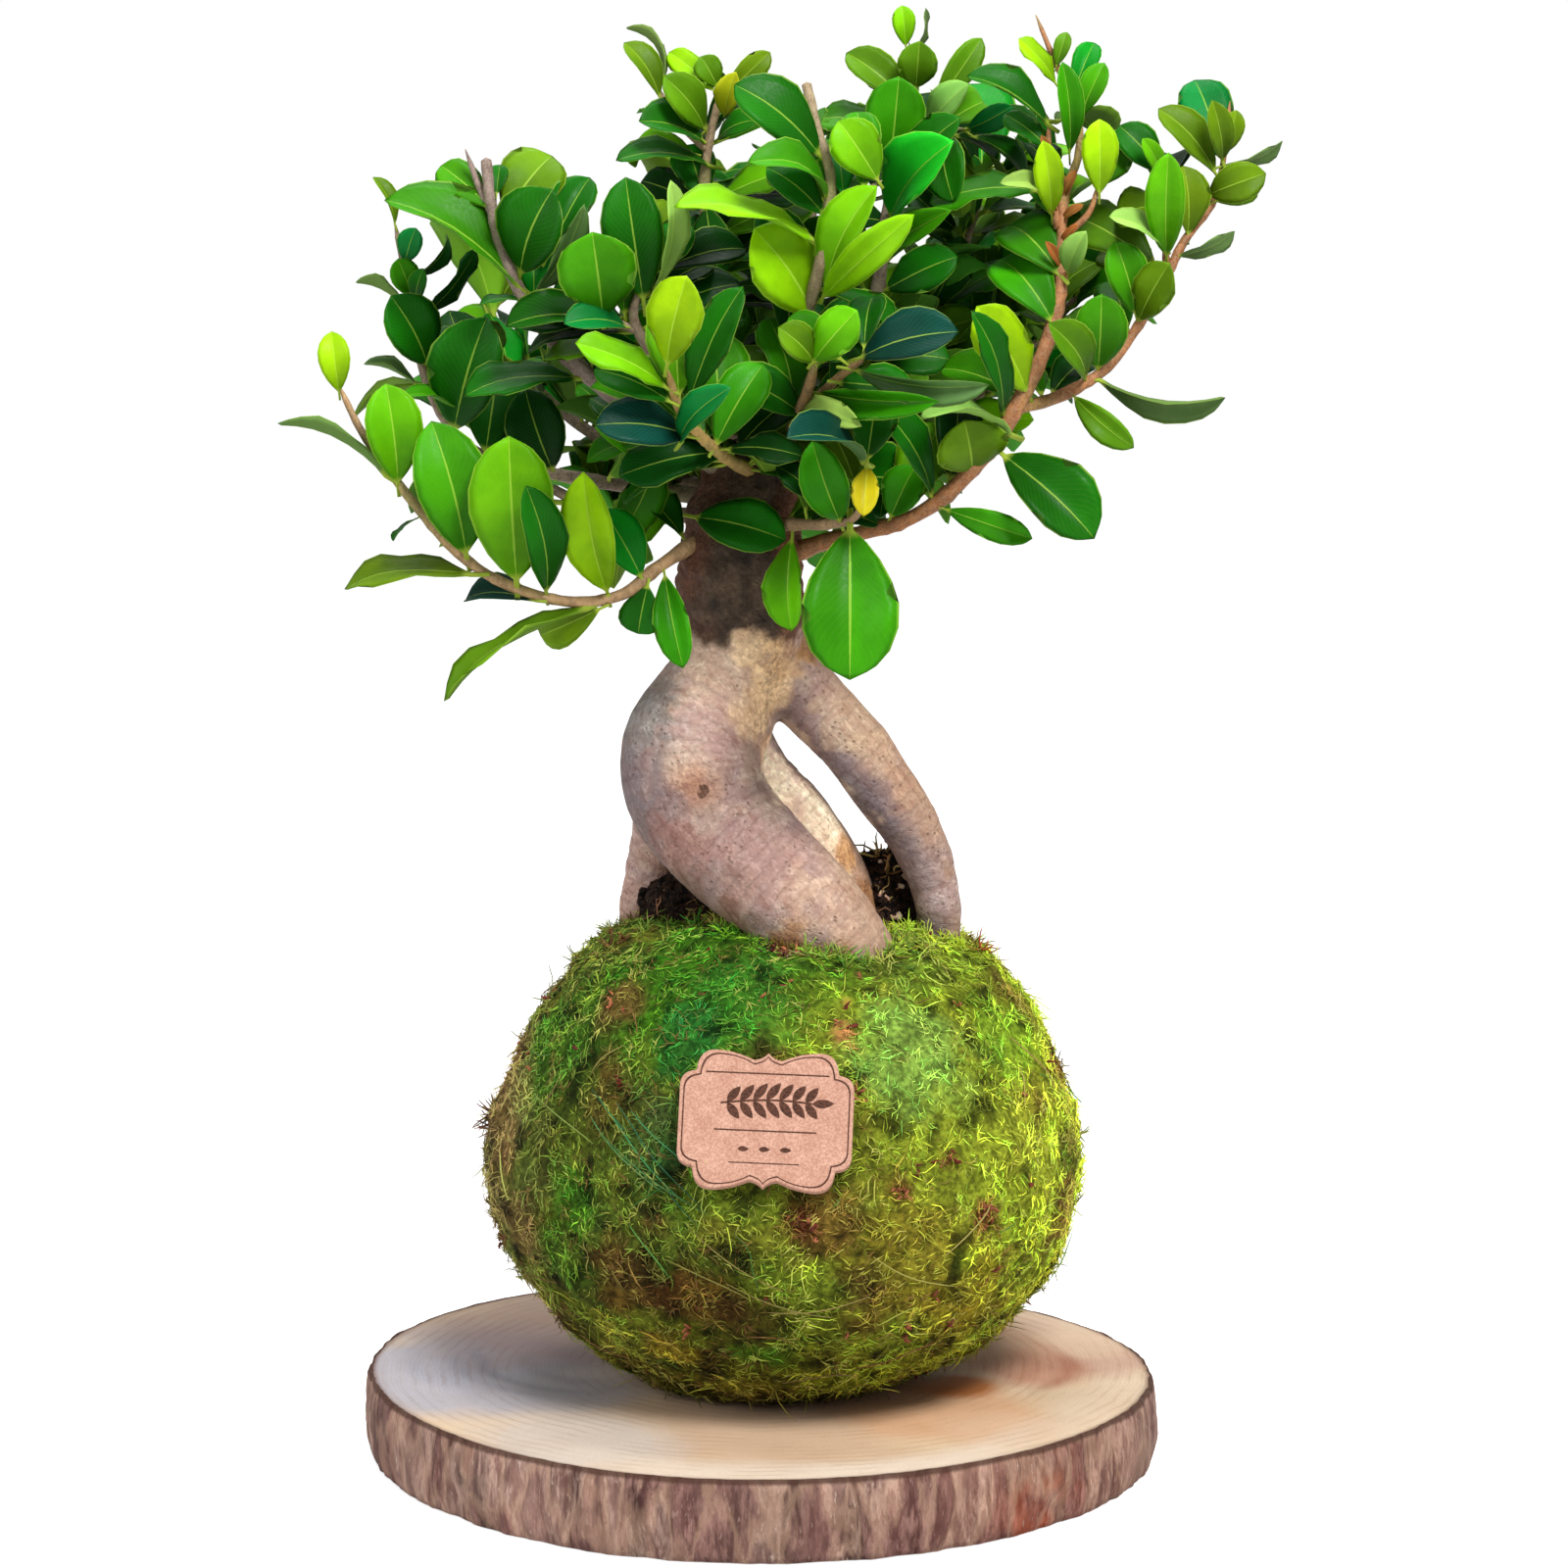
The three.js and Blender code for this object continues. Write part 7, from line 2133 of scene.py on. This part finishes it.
class KOKEDAMA_OT_moss(bpy.types.Operator):
    """Makes the moss: an uneven bed, short strands, wisps, upright tufts, long strands and dry buds"""

    bl_idname = "kokedama.moss"
    bl_label = "Moss"

    def execute(self, context):
        sizes = context.scene.kokedama_sizes
        finish = moss_material("moss_strand", 1.0)
        mesh = remeshed("moss_bed", merged_copy("moss_cover"), MOSS_VOXEL, smoothing=6)
        points, outward = places(mesh), normals(mesh)
        centre = np.array([BALL_X, 0, BALL_Z])
        away = points - centre
        away /= np.linalg.norm(away, axis=1)[:, None]
        facing = np.sum(away * outward, axis=1)
        outer = np.clip((facing - 0.2) * 4, 0, 1)
        rise = outer * (1.6 * lumps(points, 12, 41) + 1.1 * lumps(points, 4.5, 42) - 0.8)
        rise *= np.clip((points[:, 2] - 26) / 6, 0, 1)
        points = points + outward * rise[:, None]
        move(mesh, points)
        paint(mesh, moss_colours(points))
        cover = outer * np.clip((points[:, 2] - MOSS_FOOT) / 3, 0, 1)
        angle = np.degrees(np.arctan2(away[:, 1], away[:, 0]))
        thick = 0.75 + 0.35 * lumps(points, 12, 43)
        for i in range(4):
            inside = ((angle + 180) // 90).astype(int) % 4 == i
            mark(mesh, cover * thick * inside, f"cover_{i}")
        mark(mesh, cover, "cover")
        bed = new_object("moss_bed", mesh)
        bed.data.materials.append(bed_material())
        share = 1.0
        length, radius = sizes.strand_length * 1000, sizes.strand_radius * 1000
        density, tuft_sizes = sizes.moss_density * share, (0.6, 1.25)
        tufts = [tuft_mesh(f"tuft_{i}", 700 + i, 6, length, radius, (0, 26), 75, 2) for i in range(8)]
        pieces = [bed]
        for i in range(4):
            name, quarter = f"moss_strands_{i + 1}", f"cover_{i}"
            pieces.append(strew(bed, name, tufts, density, 20 + i, tuft_sizes, 0.22, finish, quarter))
        wisps = [
            tuft_mesh(f"wisp_{i}", 800 + i, 3, 1.9 * length, 0.75 * radius, (0, 34), 45, 3) for i in range(5)
        ]
        pieces.append(strew(bed, "moss_wisps", wisps, WISP_DENSITY * share, 51, (0.6, 1.2), 0.3, finish))
        # Upright tufts where the roots go in, and along the edge of the opening
        high = (points[:, 2] > MOSS_TOP) & (outward[:, 2] > 0.1)
        collar = np.clip(1 - np.abs(off_trunk(points) - 1.2) / 3.2, 0, 1)
        lip = np.clip(1 - np.abs(facing - 0.3) / 0.35, 0, 1) * 0.3
        mark(mesh, np.maximum(collar, lip) * high, "collar")
        upright = [
            tuft_mesh(f"collar_{i}", 850 + i, 7, 1.05 * length, radius, (25, 75), 50, 3) for i in range(5)
        ]
        pieces.append(
            strew(bed, "moss_collars", upright, COLLAR_DENSITY, 57, tuft_sizes, 0.4, finish, "collar")
        )
        pieces.append(self.long_strands(mesh, finish))
        spots = np.array([tuple(on_ball(x, z)) for x, z in MOSS_BUDS])
        far = np.min(np.linalg.norm(points[:, None, :] - spots[None], axis=2), axis=1)
        strewn = np.clip(lumps(points, 7, 71) * 9 - 5.6, 0, 1) * cover * 0.2
        mark(mesh, np.maximum(np.clip(1.6 - far / 2.6, 0, 1), strewn), "buds")
        buds = [bud_mesh(i) for i in range(4)]
        pieces.append(strew(bed, "moss_buds", buds, BUD_DENSITY, 61, (0.6, 1.3), 1.3, bud_material(), "buds"))
        for piece in pieces:
            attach(piece, "root")
        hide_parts("moss_cover")
        return {"FINISHED"}

    def long_strands(self, mesh, finish):
        """One piece of all strands and tufts that are set singly."""
        listed = Strands(mesh, 77)
        surface, chance = listed.surface, listed.chance
        for (x0, z0), (x1, z1), colour in LONG_STRANDS:
            listed.keep(laid_strand(surface, on_ball(x0, z0), on_ball(x1, z1), 0.22, 1.4, chance), colour)
        listed.tufts(STRAY_TUFTS)
        for _ in range(LAID_STRANDS):
            turn, level = chance.uniform(0, 2 * math.pi), chance.uniform(-0.75, 0.8)
            flat = math.sqrt(1 - level * level)
            start = Vector((
                BALL_X + BALL_RADIUS * flat * math.cos(turn), BALL_RADIUS * flat * math.sin(turn),
                BALL_Z + BALL_HALF_HEIGHT * level,
            ))
            heading = Vector((chance.gauss(0, 1), chance.gauss(0, 1), chance.gauss(0, 0.7))).normalized()
            end = start + heading * chance.uniform(12, 30)
            colour = chance.choice(LAID_COLOURS)
            listed.keep(laid_strand(surface, start, end, chance.uniform(0.16, 0.26), 1.6, chance), colour)
        return listed.build("moss_long_strands", finish)


# Wood slice

SLICE_BASE = (0.86, 0.76, 0.64)
SLICE_BARK = (0.60, 0.48, 0.43)
# Colours of the sawn top: x, y, radius, colour, strength
SLICE_ZONES = [
    (-88, 6, 52, (0.65, 0.65, 0.70), 0.95),
    (-60, -20, 30, (0.67, 0.65, 0.67), 0.8),
    (-50, 55, 60, (0.62, 0.52, 0.50), 0.7),
    (0, -54, 46, (0.81, 0.69, 0.58), 0.9),
    (-52, -70, 32, (0.80, 0.75, 0.71), 0.9),
    (50, -42, 34, (0.86, 0.68, 0.53), 0.9),
    (58, -12, 15, (0.74, 0.43, 0.17), 0.9),
    (82, 6, 22, (0.79, 0.59, 0.49), 0.9),
    (100, 16, 24, (0.74, 0.55, 0.46), 0.9),
    (60, 44, 44, (0.72, 0.56, 0.46), 0.7),
    (102, 36, 18, (0.82, 0.68, 0.56), 0.7),
    (70, -62, 20, (0.86, 0.72, 0.60), 0.7),
]


# Darker growth lines on the sawn top: centre x, y, radius, half width, from and to angle, colour, strength
SLICE_ARCS = [
    (40, 10, 52.5, 2.4, -40, 42, (0.62, 0.37, 0.27), 0.75),
    (44, 8, 38, 3, -50, 40, (0.68, 0.46, 0.34), 0.4),
    (-40, 24, 48, 2.2, 165, 262, (0.50, 0.50, 0.55), 0.6),
    (-40, 24, 56, 2.2, 175, 250, (0.54, 0.54, 0.60), 0.5),
    (-36, 22, 38, 3, 170, 265, (0.50, 0.48, 0.50), 0.45),
    (-40, 20, 68, 2, 160, 215, (0.56, 0.57, 0.66), 0.45),
]


def rim(angle):
    """Radius of the slice by angle."""
    return (
        SLICE_RADIUS - 2 * np.cos(angle) + 3.3 * np.sin(angle)
        + 1.7 * np.cos(2 * angle) - 3.1 * np.sin(2 * angle)
        + 1.4 * np.cos(3 * angle) + 2 * np.sin(3 * angle)
    )


# Corners round the slice, levels of its bark, and the rings of both sawn faces as shares of the radius
SLICE_SEGMENTS = 640
BARK_LEVELS = 15
LOWER_RINGS = [0.12, 0.3, 0.5, 0.66, 0.8, 0.9, 0.94, 0.966, 0.984, 0.996]
UPPER_RINGS = [
    0.996, 0.984, 0.966, *(round(0.94 - 0.025 * i, 3) for i in range(15)), 0.56, 0.53, 0.5, 0.4, 0.3, 0.12,
]


def slice_ring(kind, level, share, relief):
    """One ring of the slice: of the bark or of a face, at a share of the thickness and of the radius."""
    angle = np.arange(SLICE_SEGMENTS) * 2 * math.pi / SLICE_SEGMENTS
    edge = rim(angle)
    height = np.full(SLICE_SEGMENTS, level * SLICE_THICKNESS)
    ring = np.column_stack([np.cos(angle) * edge, np.sin(angle) * edge, height])
    tall = ring * np.array([1, 1, 0.28])
    furrow = (
        0.8 * lumps(tall, 4.6, 61) + 0.6 * lumps(tall, 2.4, 62) + 0.6 * lumps(tall, 11, 63)
        + 0.35 * lumps(ring, 2.2, 64)
    )
    plates = np.clip(lumps(ring * np.array([1, 1, 0.5]), 8, 65) * 2.5, -1, 1)
    if kind == "bark":
        swollen = math.sin(math.pi * level)
        belly = 0.8 * swollen - 0.6 * (abs(2 * level - 1) ** 6)
        radius = edge + belly - 0.6 + relief * (0.5 * furrow + 0.45 * plates) * (0.55 + 0.45 * swollen)
    else:
        radius = (edge - 1.6 + 0.35 * relief * furrow * (share > 0.95)) * share
    if kind == "face" and level == 1 and share < 0.97:
        height = height + 0.25 * lumps(ring * share, 14, 66)
    return np.column_stack([np.cos(angle) * radius, np.sin(angle) * radius, height])


def slice_faces(kinds):
    """Faces between the rings and in the middle of both sides, and which of them are bark."""
    around, count = SLICE_SEGMENTS, len(kinds)
    faces, slots = [], []
    for i in range(count - 1):
        is_bark = kinds[i] == "bark" or kinds[i + 1] == "bark"
        for j in range(around):
            a, b = i * around + j, i * around + (j + 1) % around
            faces.append((a, b, b + around, a + around))
            slots.append(1 if is_bark else 0)
    for j in range(around):
        k = (j + 1) % around
        faces.append((count * around, k, j))
        faces.append((count * around + 1, (count - 1) * around + j, (count - 1) * around + k))
        slots.extend((0, 0))
    return faces, slots


def wood_colours(points):
    """Colours of the sawn faces: patches, growth lines, the paler outer wood and its dark edge."""
    zones = [((x, y, SLICE_THICKNESS), *rest) for x, y, *rest in SLICE_ZONES]
    colours = zoned(points, np.tile(display(SLICE_BASE), (len(points), 1)), zones, 0.2, 30)
    for x, y, radius, half, start, end, colour, power in SLICE_ARCS:
        heading = np.degrees(np.arctan2(points[:, 1] - y, points[:, 0] - x)) % 360
        off = (heading - (start + end) / 2 + 180) % 360 - 180
        inside = np.clip(((end - start) / 2 - np.abs(off)) / 18, 0, 1)
        away = np.hypot(points[:, 0] - x, points[:, 1] - y) - radius + 2.5 * lumps(points, 16, 74)
        shown = power * inside * np.exp(-((away / half) ** 2)) * (0.8 + 0.4 * lumps(points, 9, 75))
        colours = toward(colours, colour, np.clip(shown, 0, 1)[:, None])
    share = np.hypot(points[:, 0], points[:, 1]) / rim(np.arctan2(points[:, 1], points[:, 0]))
    outer = np.clip((share - 0.80 + 0.05 * lumps(points, 30, 68)) / 0.08, 0, 1)[:, None]
    outer *= np.clip((points[:, 0] + 80) / 50, 0.15, 1)[:, None]
    outer *= 1 - 0.6 * np.clip((points[:, 0] - 60) / 20, 0, 1)[:, None]
    colours = toward(colours, (0.89, 0.83, 0.77), 0.75 * outer)
    line = np.exp(-(((share - 0.988) / 0.011) ** 2))[:, None]
    return toward(colours, (0.40, 0.27, 0.21), 0.9 * line)


def bark_colours(points):
    """Colours of the slice's bark: upright streaks, and two warmer places at the right."""
    turn = np.arctan2(points[:, 1], points[:, 0])
    tall = points * np.array([1, 1, 0.15])
    streak = 1 + 0.4 * lumps(tall, 9, 67) + 0.35 * lumps(tall, 3.5, 69) + 0.15 * lumps(points, 6, 70)
    bark = np.array(display(SLICE_BARK)) * streak[:, None]
    warm = np.exp(-(((turn + 0.74) / 0.4) ** 2))[:, None] * 0.45
    bark = toward(bark, (0.72, 0.49, 0.37), warm)
    red = np.exp(-(((turn + 0.80 + 0.05 * lumps(points, 9, 72)) / 0.12) ** 2))
    red *= np.clip((18 - points[:, 2]) / 8, 0, 1) * np.clip(0.7 + lumps(points, 5, 73), 0, 0.9)
    return toward(bark, (0.90, 0.50, 0.30), red[:, None])


class KOKEDAMA_OT_slice(bpy.types.Operator):
    """Makes the slice of wood: sawn faces with rings, and furrowed, flaking bark round the rim"""

    bl_idname = "kokedama.slice"
    bl_label = "Wood slice"

    def execute(self, context):
        relief = context.scene.kokedama_sizes.bark_relief * 1000
        # Each ring: its kind, its height as a share of the thickness, and its share of the radius
        rings = [("face", 0.0, share) for share in LOWER_RINGS]
        rings += [("bark", i / (BARK_LEVELS - 1), 1.0) for i in range(BARK_LEVELS - 1)]
        rings += [("bark", 0.965, 1.0), ("bark", 1.0, 1.0)]
        rings += [("face", 1.0, share) for share in UPPER_RINGS]
        kinds = [kind for kind, _, _ in rings]
        points = [slice_ring(*ring, relief) for ring in rings]
        points = np.vstack([*points, [[0, 0, 0]], [[0, 0, SLICE_THICKNESS]]])
        faces, slots = slice_faces(kinds)
        mesh = mesh_from("wood_slice_finish", points, faces)
        mesh.materials.append(wood_material())
        mesh.materials.append(bark_material())
        mesh.polygons.foreach_set("material_index", slots)
        mark(mesh, np.clip((points[:, 2] - 22.3) / 0.9, 0, 1), "rim")
        is_bark = np.zeros(len(points), bool)
        is_bark[:-2] = np.repeat([kind == "bark" for kind in kinds], SLICE_SEGMENTS)
        colours = np.where(is_bark[:, None], bark_colours(points), wood_colours(points))
        paint(mesh, np.clip(colours, 0.01, 1))
        piece = new_object("slice_of_wood", mesh)
        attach(piece, "root")
        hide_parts("wood_slice")
        return {"FINISHED"}


# Label


def label_outline(inset):
    """The label's outline with stepped, rounded corners, as points in its own plane."""
    half, high, notch = LABEL_WIDTH / 2 - inset, LABEL_HEIGHT / 2 - inset, LABEL_NOTCH
    start = (-half, -high + 2.4 * notch)
    turns = [
        ((-half, -high + 1.5 * notch), (-half + notch, -high + 1.4 * notch)),
        ((-half + 1.1 * notch, -high), (-half + 2.2 * notch, -high)),
        ((-half + 3.4 * notch, -high + 0.1), (-4, -high + 0.6 * notch)),
        ((-1.2, -high + 0.5 * notch), (0, -high + 0.1 * notch)),
    ]
    quarter = [start]
    for control, end in turns:
        before = quarter[-1]
        for i in range(1, 9):
            t = i / 8
            quarter.append(tuple(
                (1 - t) ** 2 * before[k] + 2 * t * (1 - t) * control[k] + t * t * end[k] for k in (0, 1)
            ))
    right = [(-x, y) for x, y in reversed(quarter[:-1])]
    lower = quarter + right
    upper = [(x, -y) for x, y in reversed(lower)]
    return lower + upper


def label_place():
    """The matrix that carries the label's own plane to its place on the moss."""
    level = (LABEL_CENTRE_Z - BALL_Z) / BALL_HALF_HEIGHT
    front = -BALL_RADIUS * math.sqrt(1 - level * level) + LABEL_SUNK - LABEL_THICKNESS
    move_to = Matrix.Translation((LABEL_CENTRE_X, front, LABEL_CENTRE_Z))
    lean = Matrix.Rotation(math.radians(90 - LABEL_LEAN), 4, "X")
    return move_to @ lean @ Matrix.Rotation(math.radians(LABEL_TURN), 4, "Z")


def slab(outline, low, high):
    """A flat plate between two heights from an outline."""
    count = len(outline)
    points = [(x, y, low) for x, y in outline] + [(x, y, high) for x, y in outline]
    faces = [tuple(reversed(range(count))), tuple(range(count, 2 * count))]
    faces += [(i, (i + 1) % count, count + (i + 1) % count, count + i) for i in range(count)]
    return points, faces


def band(outer, inner, low, high):
    """A flat frame between two outlines of equal count."""
    count = len(outer)
    points = []
    for height in (low, high):
        points += [(x, y, height) for x, y in outer] + [(x, y, height) for x, y in inner]
    faces = []
    for i in range(count):
        k = (i + 1) % count
        a, b, c, d = i, k, count + i, count + k
        top = 2 * count
        faces += [
            (a, c, d, b), (a + top, b + top, d + top, c + top),
            (a, b, b + top, a + top), (c, c + top, d + top, d),
        ]
    return points, faces


def leaf_outline(x, y, length, width, angle):
    """The outline of a printed leaf from its base at x, y."""
    lower = [(t, math.sin(math.pi * t**0.9) ** 0.8) for t in [i / 10 for i in range(11)]]
    ring = [(length * t, -0.5 * width * w) for t, w in lower]
    ring += [(length * t, 0.5 * width * w) for t, w in reversed(lower[1:-1])]
    c, s = math.cos(angle), math.sin(angle)
    return [(x + a * c - b * s, y + a * s + b * c) for a, b in ring]


def rule(half, low, high):
    """The outline of a level line, half of its length to each side."""
    return [(-half, low), (half, low), (half, high), (-half, high)]


def print_outlines():
    """Outlines of what is printed inside the border: rules, a sprig of leaves and three dots."""
    outlines = [rule(half, y - 0.2, y + 0.2) for y, half in ((13.6, 17.5), (-3.2, 14.5))]
    stalk = [(-13 + 26 * i / 14, 4.6 + 1.3 * math.sin(2.6 * i / 14)) for i in range(15)]
    outlines.append([(x, y - 0.28) for x, y in stalk] + [(x, y + 0.28) for x, y in reversed(stalk)])
    for i in range(1, 14, 2):
        x, y = stalk[i]
        length = 6.4 - 0.12 * abs(i - 6)
        for side in (1, -1):
            outlines.append(leaf_outline(x, y + 0.2 * side, length, 2.5, side * math.radians(52)))
    outlines.append(leaf_outline(*stalk[-1], 6.2, 2.5, 0.05))
    outlines.extend(leaf_outline(x - 1.6, -8.6, 3.2, 1.5, 0) for x in (-6, 0, 6))
    outlines.append(rule(10, -12.8, -12.5))
    return outlines


class KOKEDAMA_OT_label(bpy.types.Operator):
    """Makes the cork label with a burnt border, rules and a leaf sprig, and no words"""

    bl_idname = "kokedama.label"
    bl_label = "Cork label"

    def execute(self, context):
        place = label_place()
        blank = mesh_from("label", *slab(label_outline(0.7), -LABEL_THICKNESS, 0), False)
        plate = new_object("label_blank", blank)
        bevel = plate.modifiers.new("Worn edge", "BEVEL")
        bevel.width = 0.35 * MM
        bevel.segments = 2
        bevel.limit_method = "ANGLE"
        mesh = finished_mesh(plate)
        drop(plate)
        move(mesh, np.array([place @ Vector(point) for point in places(mesh)]))
        mesh.materials.clear()
        mesh.materials.append(cork_material())
        piece = new_object("cork_label", mesh)
        marks = [band(label_outline(1.75), label_outline(2.12), *LABEL_PRINT)]
        marks.extend(slab(outline, *LABEL_PRINT) for outline in print_outlines())
        points, faces = joined(marks)
        printed = mesh_from("marks", [place @ Vector(point) for point in points], faces, False)
        lines = new_object("label_marks", printed)
        lines.data.materials.append(ink_material())
        for made in (piece, lines):
            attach(made, "root")
        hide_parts("label_plaque")
        return {"FINISHED"}


# Stage

# The floor's half width and height in millimetres, and its brightness
FLOOR_REACH = 9000
FLOOR_HEIGHT = -0.4
FLOOR_COLOUR = (0.72, 0.72, 0.72, 1)
FLOOR_GLOW = 0.7
# The white ground, and how much of it lights the plant
WHITE = (1, 1, 1, 1)
WORLD_LIGHT = 0.42
# The soft lights: where each stands, what it shines at and its width in metres, and its watts
LIGHTS = {
    "key": ((0.45, -0.95, 1.35), (0, 0, 0.2), 0.5, 28),
    "fill": ((-1.1, -0.8, 0.8), (0, 0, 0.2), 0.8, 7),
    "top": ((-0.1, 0.35, 1.5), (0, 0, 0.25), 0.8, 9),
}


def soft_light(name, place, aim, size, watts):
    """A square light at a place that shines at aim, both in metres."""
    light = bpy.data.lights.new(name, "AREA")
    light.size = size
    light.energy = watts
    made = bpy.data.objects.new(name, light)
    made.location = place
    made.rotation_euler = (Vector(aim) - Vector(place)).to_track_quat("-Z", "Y").to_euler()
    bpy.context.scene.collection.objects.link(made)


class KOKEDAMA_OT_stage(bpy.types.Operator):
    """Makes the pale floor, the soft lights and the camera at the photograph's angle"""

    bl_idname = "kokedama.stage"
    bl_label = "Stage, lights and camera"

    def execute(self, context):
        scene = context.scene
        made, tree, shader, _ = new_material("pale_floor", 0.9, 0.1)
        shader.inputs["Base Color"].default_value = FLOOR_COLOUR
        shader.inputs["Emission Color"].default_value = WHITE
        sight = put(tree, "ShaderNodeLightPath").outputs["Is Camera Ray"]
        tree.links.new(times(tree, sight, FLOOR_GLOW), shader.inputs["Emission Strength"])
        corners = [
            (x * FLOOR_REACH, y * FLOOR_REACH, FLOOR_HEIGHT) for x, y in ((-1, -1), (1, -1), (1, 1), (-1, 1))
        ]
        floor = mesh_from("floor", corners, [(0, 1, 2, 3)])
        floor.materials.append(made)
        new_object("pale_floor", floor)
        world = bpy.data.worlds.new("Studio")
        world.use_nodes = True
        tree = world.node_tree
        tree.nodes.clear()
        shown = put(tree, "ShaderNodeBackground", {"Color": WHITE, "Strength": 1.0})
        light = put(tree, "ShaderNodeBackground", {"Color": WHITE, "Strength": WORLD_LIGHT})
        sight = put(tree, "ShaderNodeLightPath").outputs["Is Camera Ray"]
        both = put(tree, "ShaderNodeMixShader", {0: sight, 1: light.outputs[0], 2: shown.outputs[0]})
        put(tree, "ShaderNodeOutputWorld", {"Surface": both.outputs[0]})
        scene.world = world
        for name, light in LIGHTS.items():
            soft_light(name, *light)
        scene.view_settings.view_transform = "Standard"
        camera = bpy.data.cameras.new("camera")
        camera.lens = CAMERA_LENS
        camera.sensor_width = CAMERA_SENSOR
        camera.clip_end = 50
        eye = bpy.data.objects.new("camera", camera)
        eye.location = (EYE_X * MM, -EYE_DISTANCE * MM, EYE_HEIGHT * MM)
        eye.rotation_euler = (math.radians(90 - CAMERA_PITCH), 0, 0)
        scene.collection.objects.link(eye)
        scene.camera = eye
        return {"FINISHED"}


class KokedamaSizes(bpy.types.PropertyGroup):
    """Sizes that a user would change"""

    leaf_size: bpy.props.FloatProperty(
        name="Leaf size", description="Factor on the size of every leaf", default=1.0, min=0.5, max=1.1,
    )
    trunk_wrinkle: bpy.props.FloatProperty(
        name="Trunk wrinkles", description="Depth of the folds across the roots", default=0.0007,
        unit="LENGTH", precision=5,
    )
    strand_length: bpy.props.FloatProperty(
        name="Moss strand length", description="Length of the short strands of moss", default=0.005,
        unit="LENGTH", precision=5,
    )
    strand_radius: bpy.props.FloatProperty(
        name="Moss strand radius", description="Half the thickness of a strand of moss", default=0.00026,
        unit="LENGTH", precision=5,
    )
    moss_density: bpy.props.FloatProperty(
        name="Moss density", description="Tufts of moss on a square metre", default=120000.0,
    )
    bark_relief: bpy.props.FloatProperty(
        name="Bark relief", description="Depth of the furrows in the slice's bark", default=0.0016,
        unit="LENGTH", precision=5,
    )


OPERATORS = [
    KOKEDAMA_OT_stage,
    KOKEDAMA_OT_slice,
    KOKEDAMA_OT_soil,
    KOKEDAMA_OT_moss,
    KOKEDAMA_OT_label,
    KOKEDAMA_OT_trunk,
    KOKEDAMA_OT_branches,
]


class KOKEDAMA_PT_panel(bpy.types.Panel):
    """Lists the pieces and their sizes"""

    bl_label = "Kokedama"
    bl_idname = "KOKEDAMA_PT_panel"
    bl_space_type = "VIEW_3D"
    bl_region_type = "UI"
    bl_category = "Kokedama"

    def draw(self, context):
        for name in KokedamaSizes.__annotations__:
            self.layout.prop(context.scene.kokedama_sizes, name)
        for operator in OPERATORS:
            self.layout.operator(operator.bl_idname)


def register():
    for kind in (KokedamaSizes, *OPERATORS, KOKEDAMA_PT_panel):
        bpy.utils.register_class(kind)
    bpy.types.Scene.kokedama_sizes = bpy.props.PointerProperty(type=KokedamaSizes)


def unregister():
    del bpy.types.Scene.kokedama_sizes
    for kind in reversed((KokedamaSizes, *OPERATORS, KOKEDAMA_PT_panel)):
        bpy.utils.unregister_class(kind)


def main():
    register()
    mottle_group()
    scatter_tree()
    for operator in OPERATORS:
        group, name = operator.bl_idname.split(".")
        getattr(getattr(bpy.ops, group), name)()


if __name__ == "__main__":
    main()
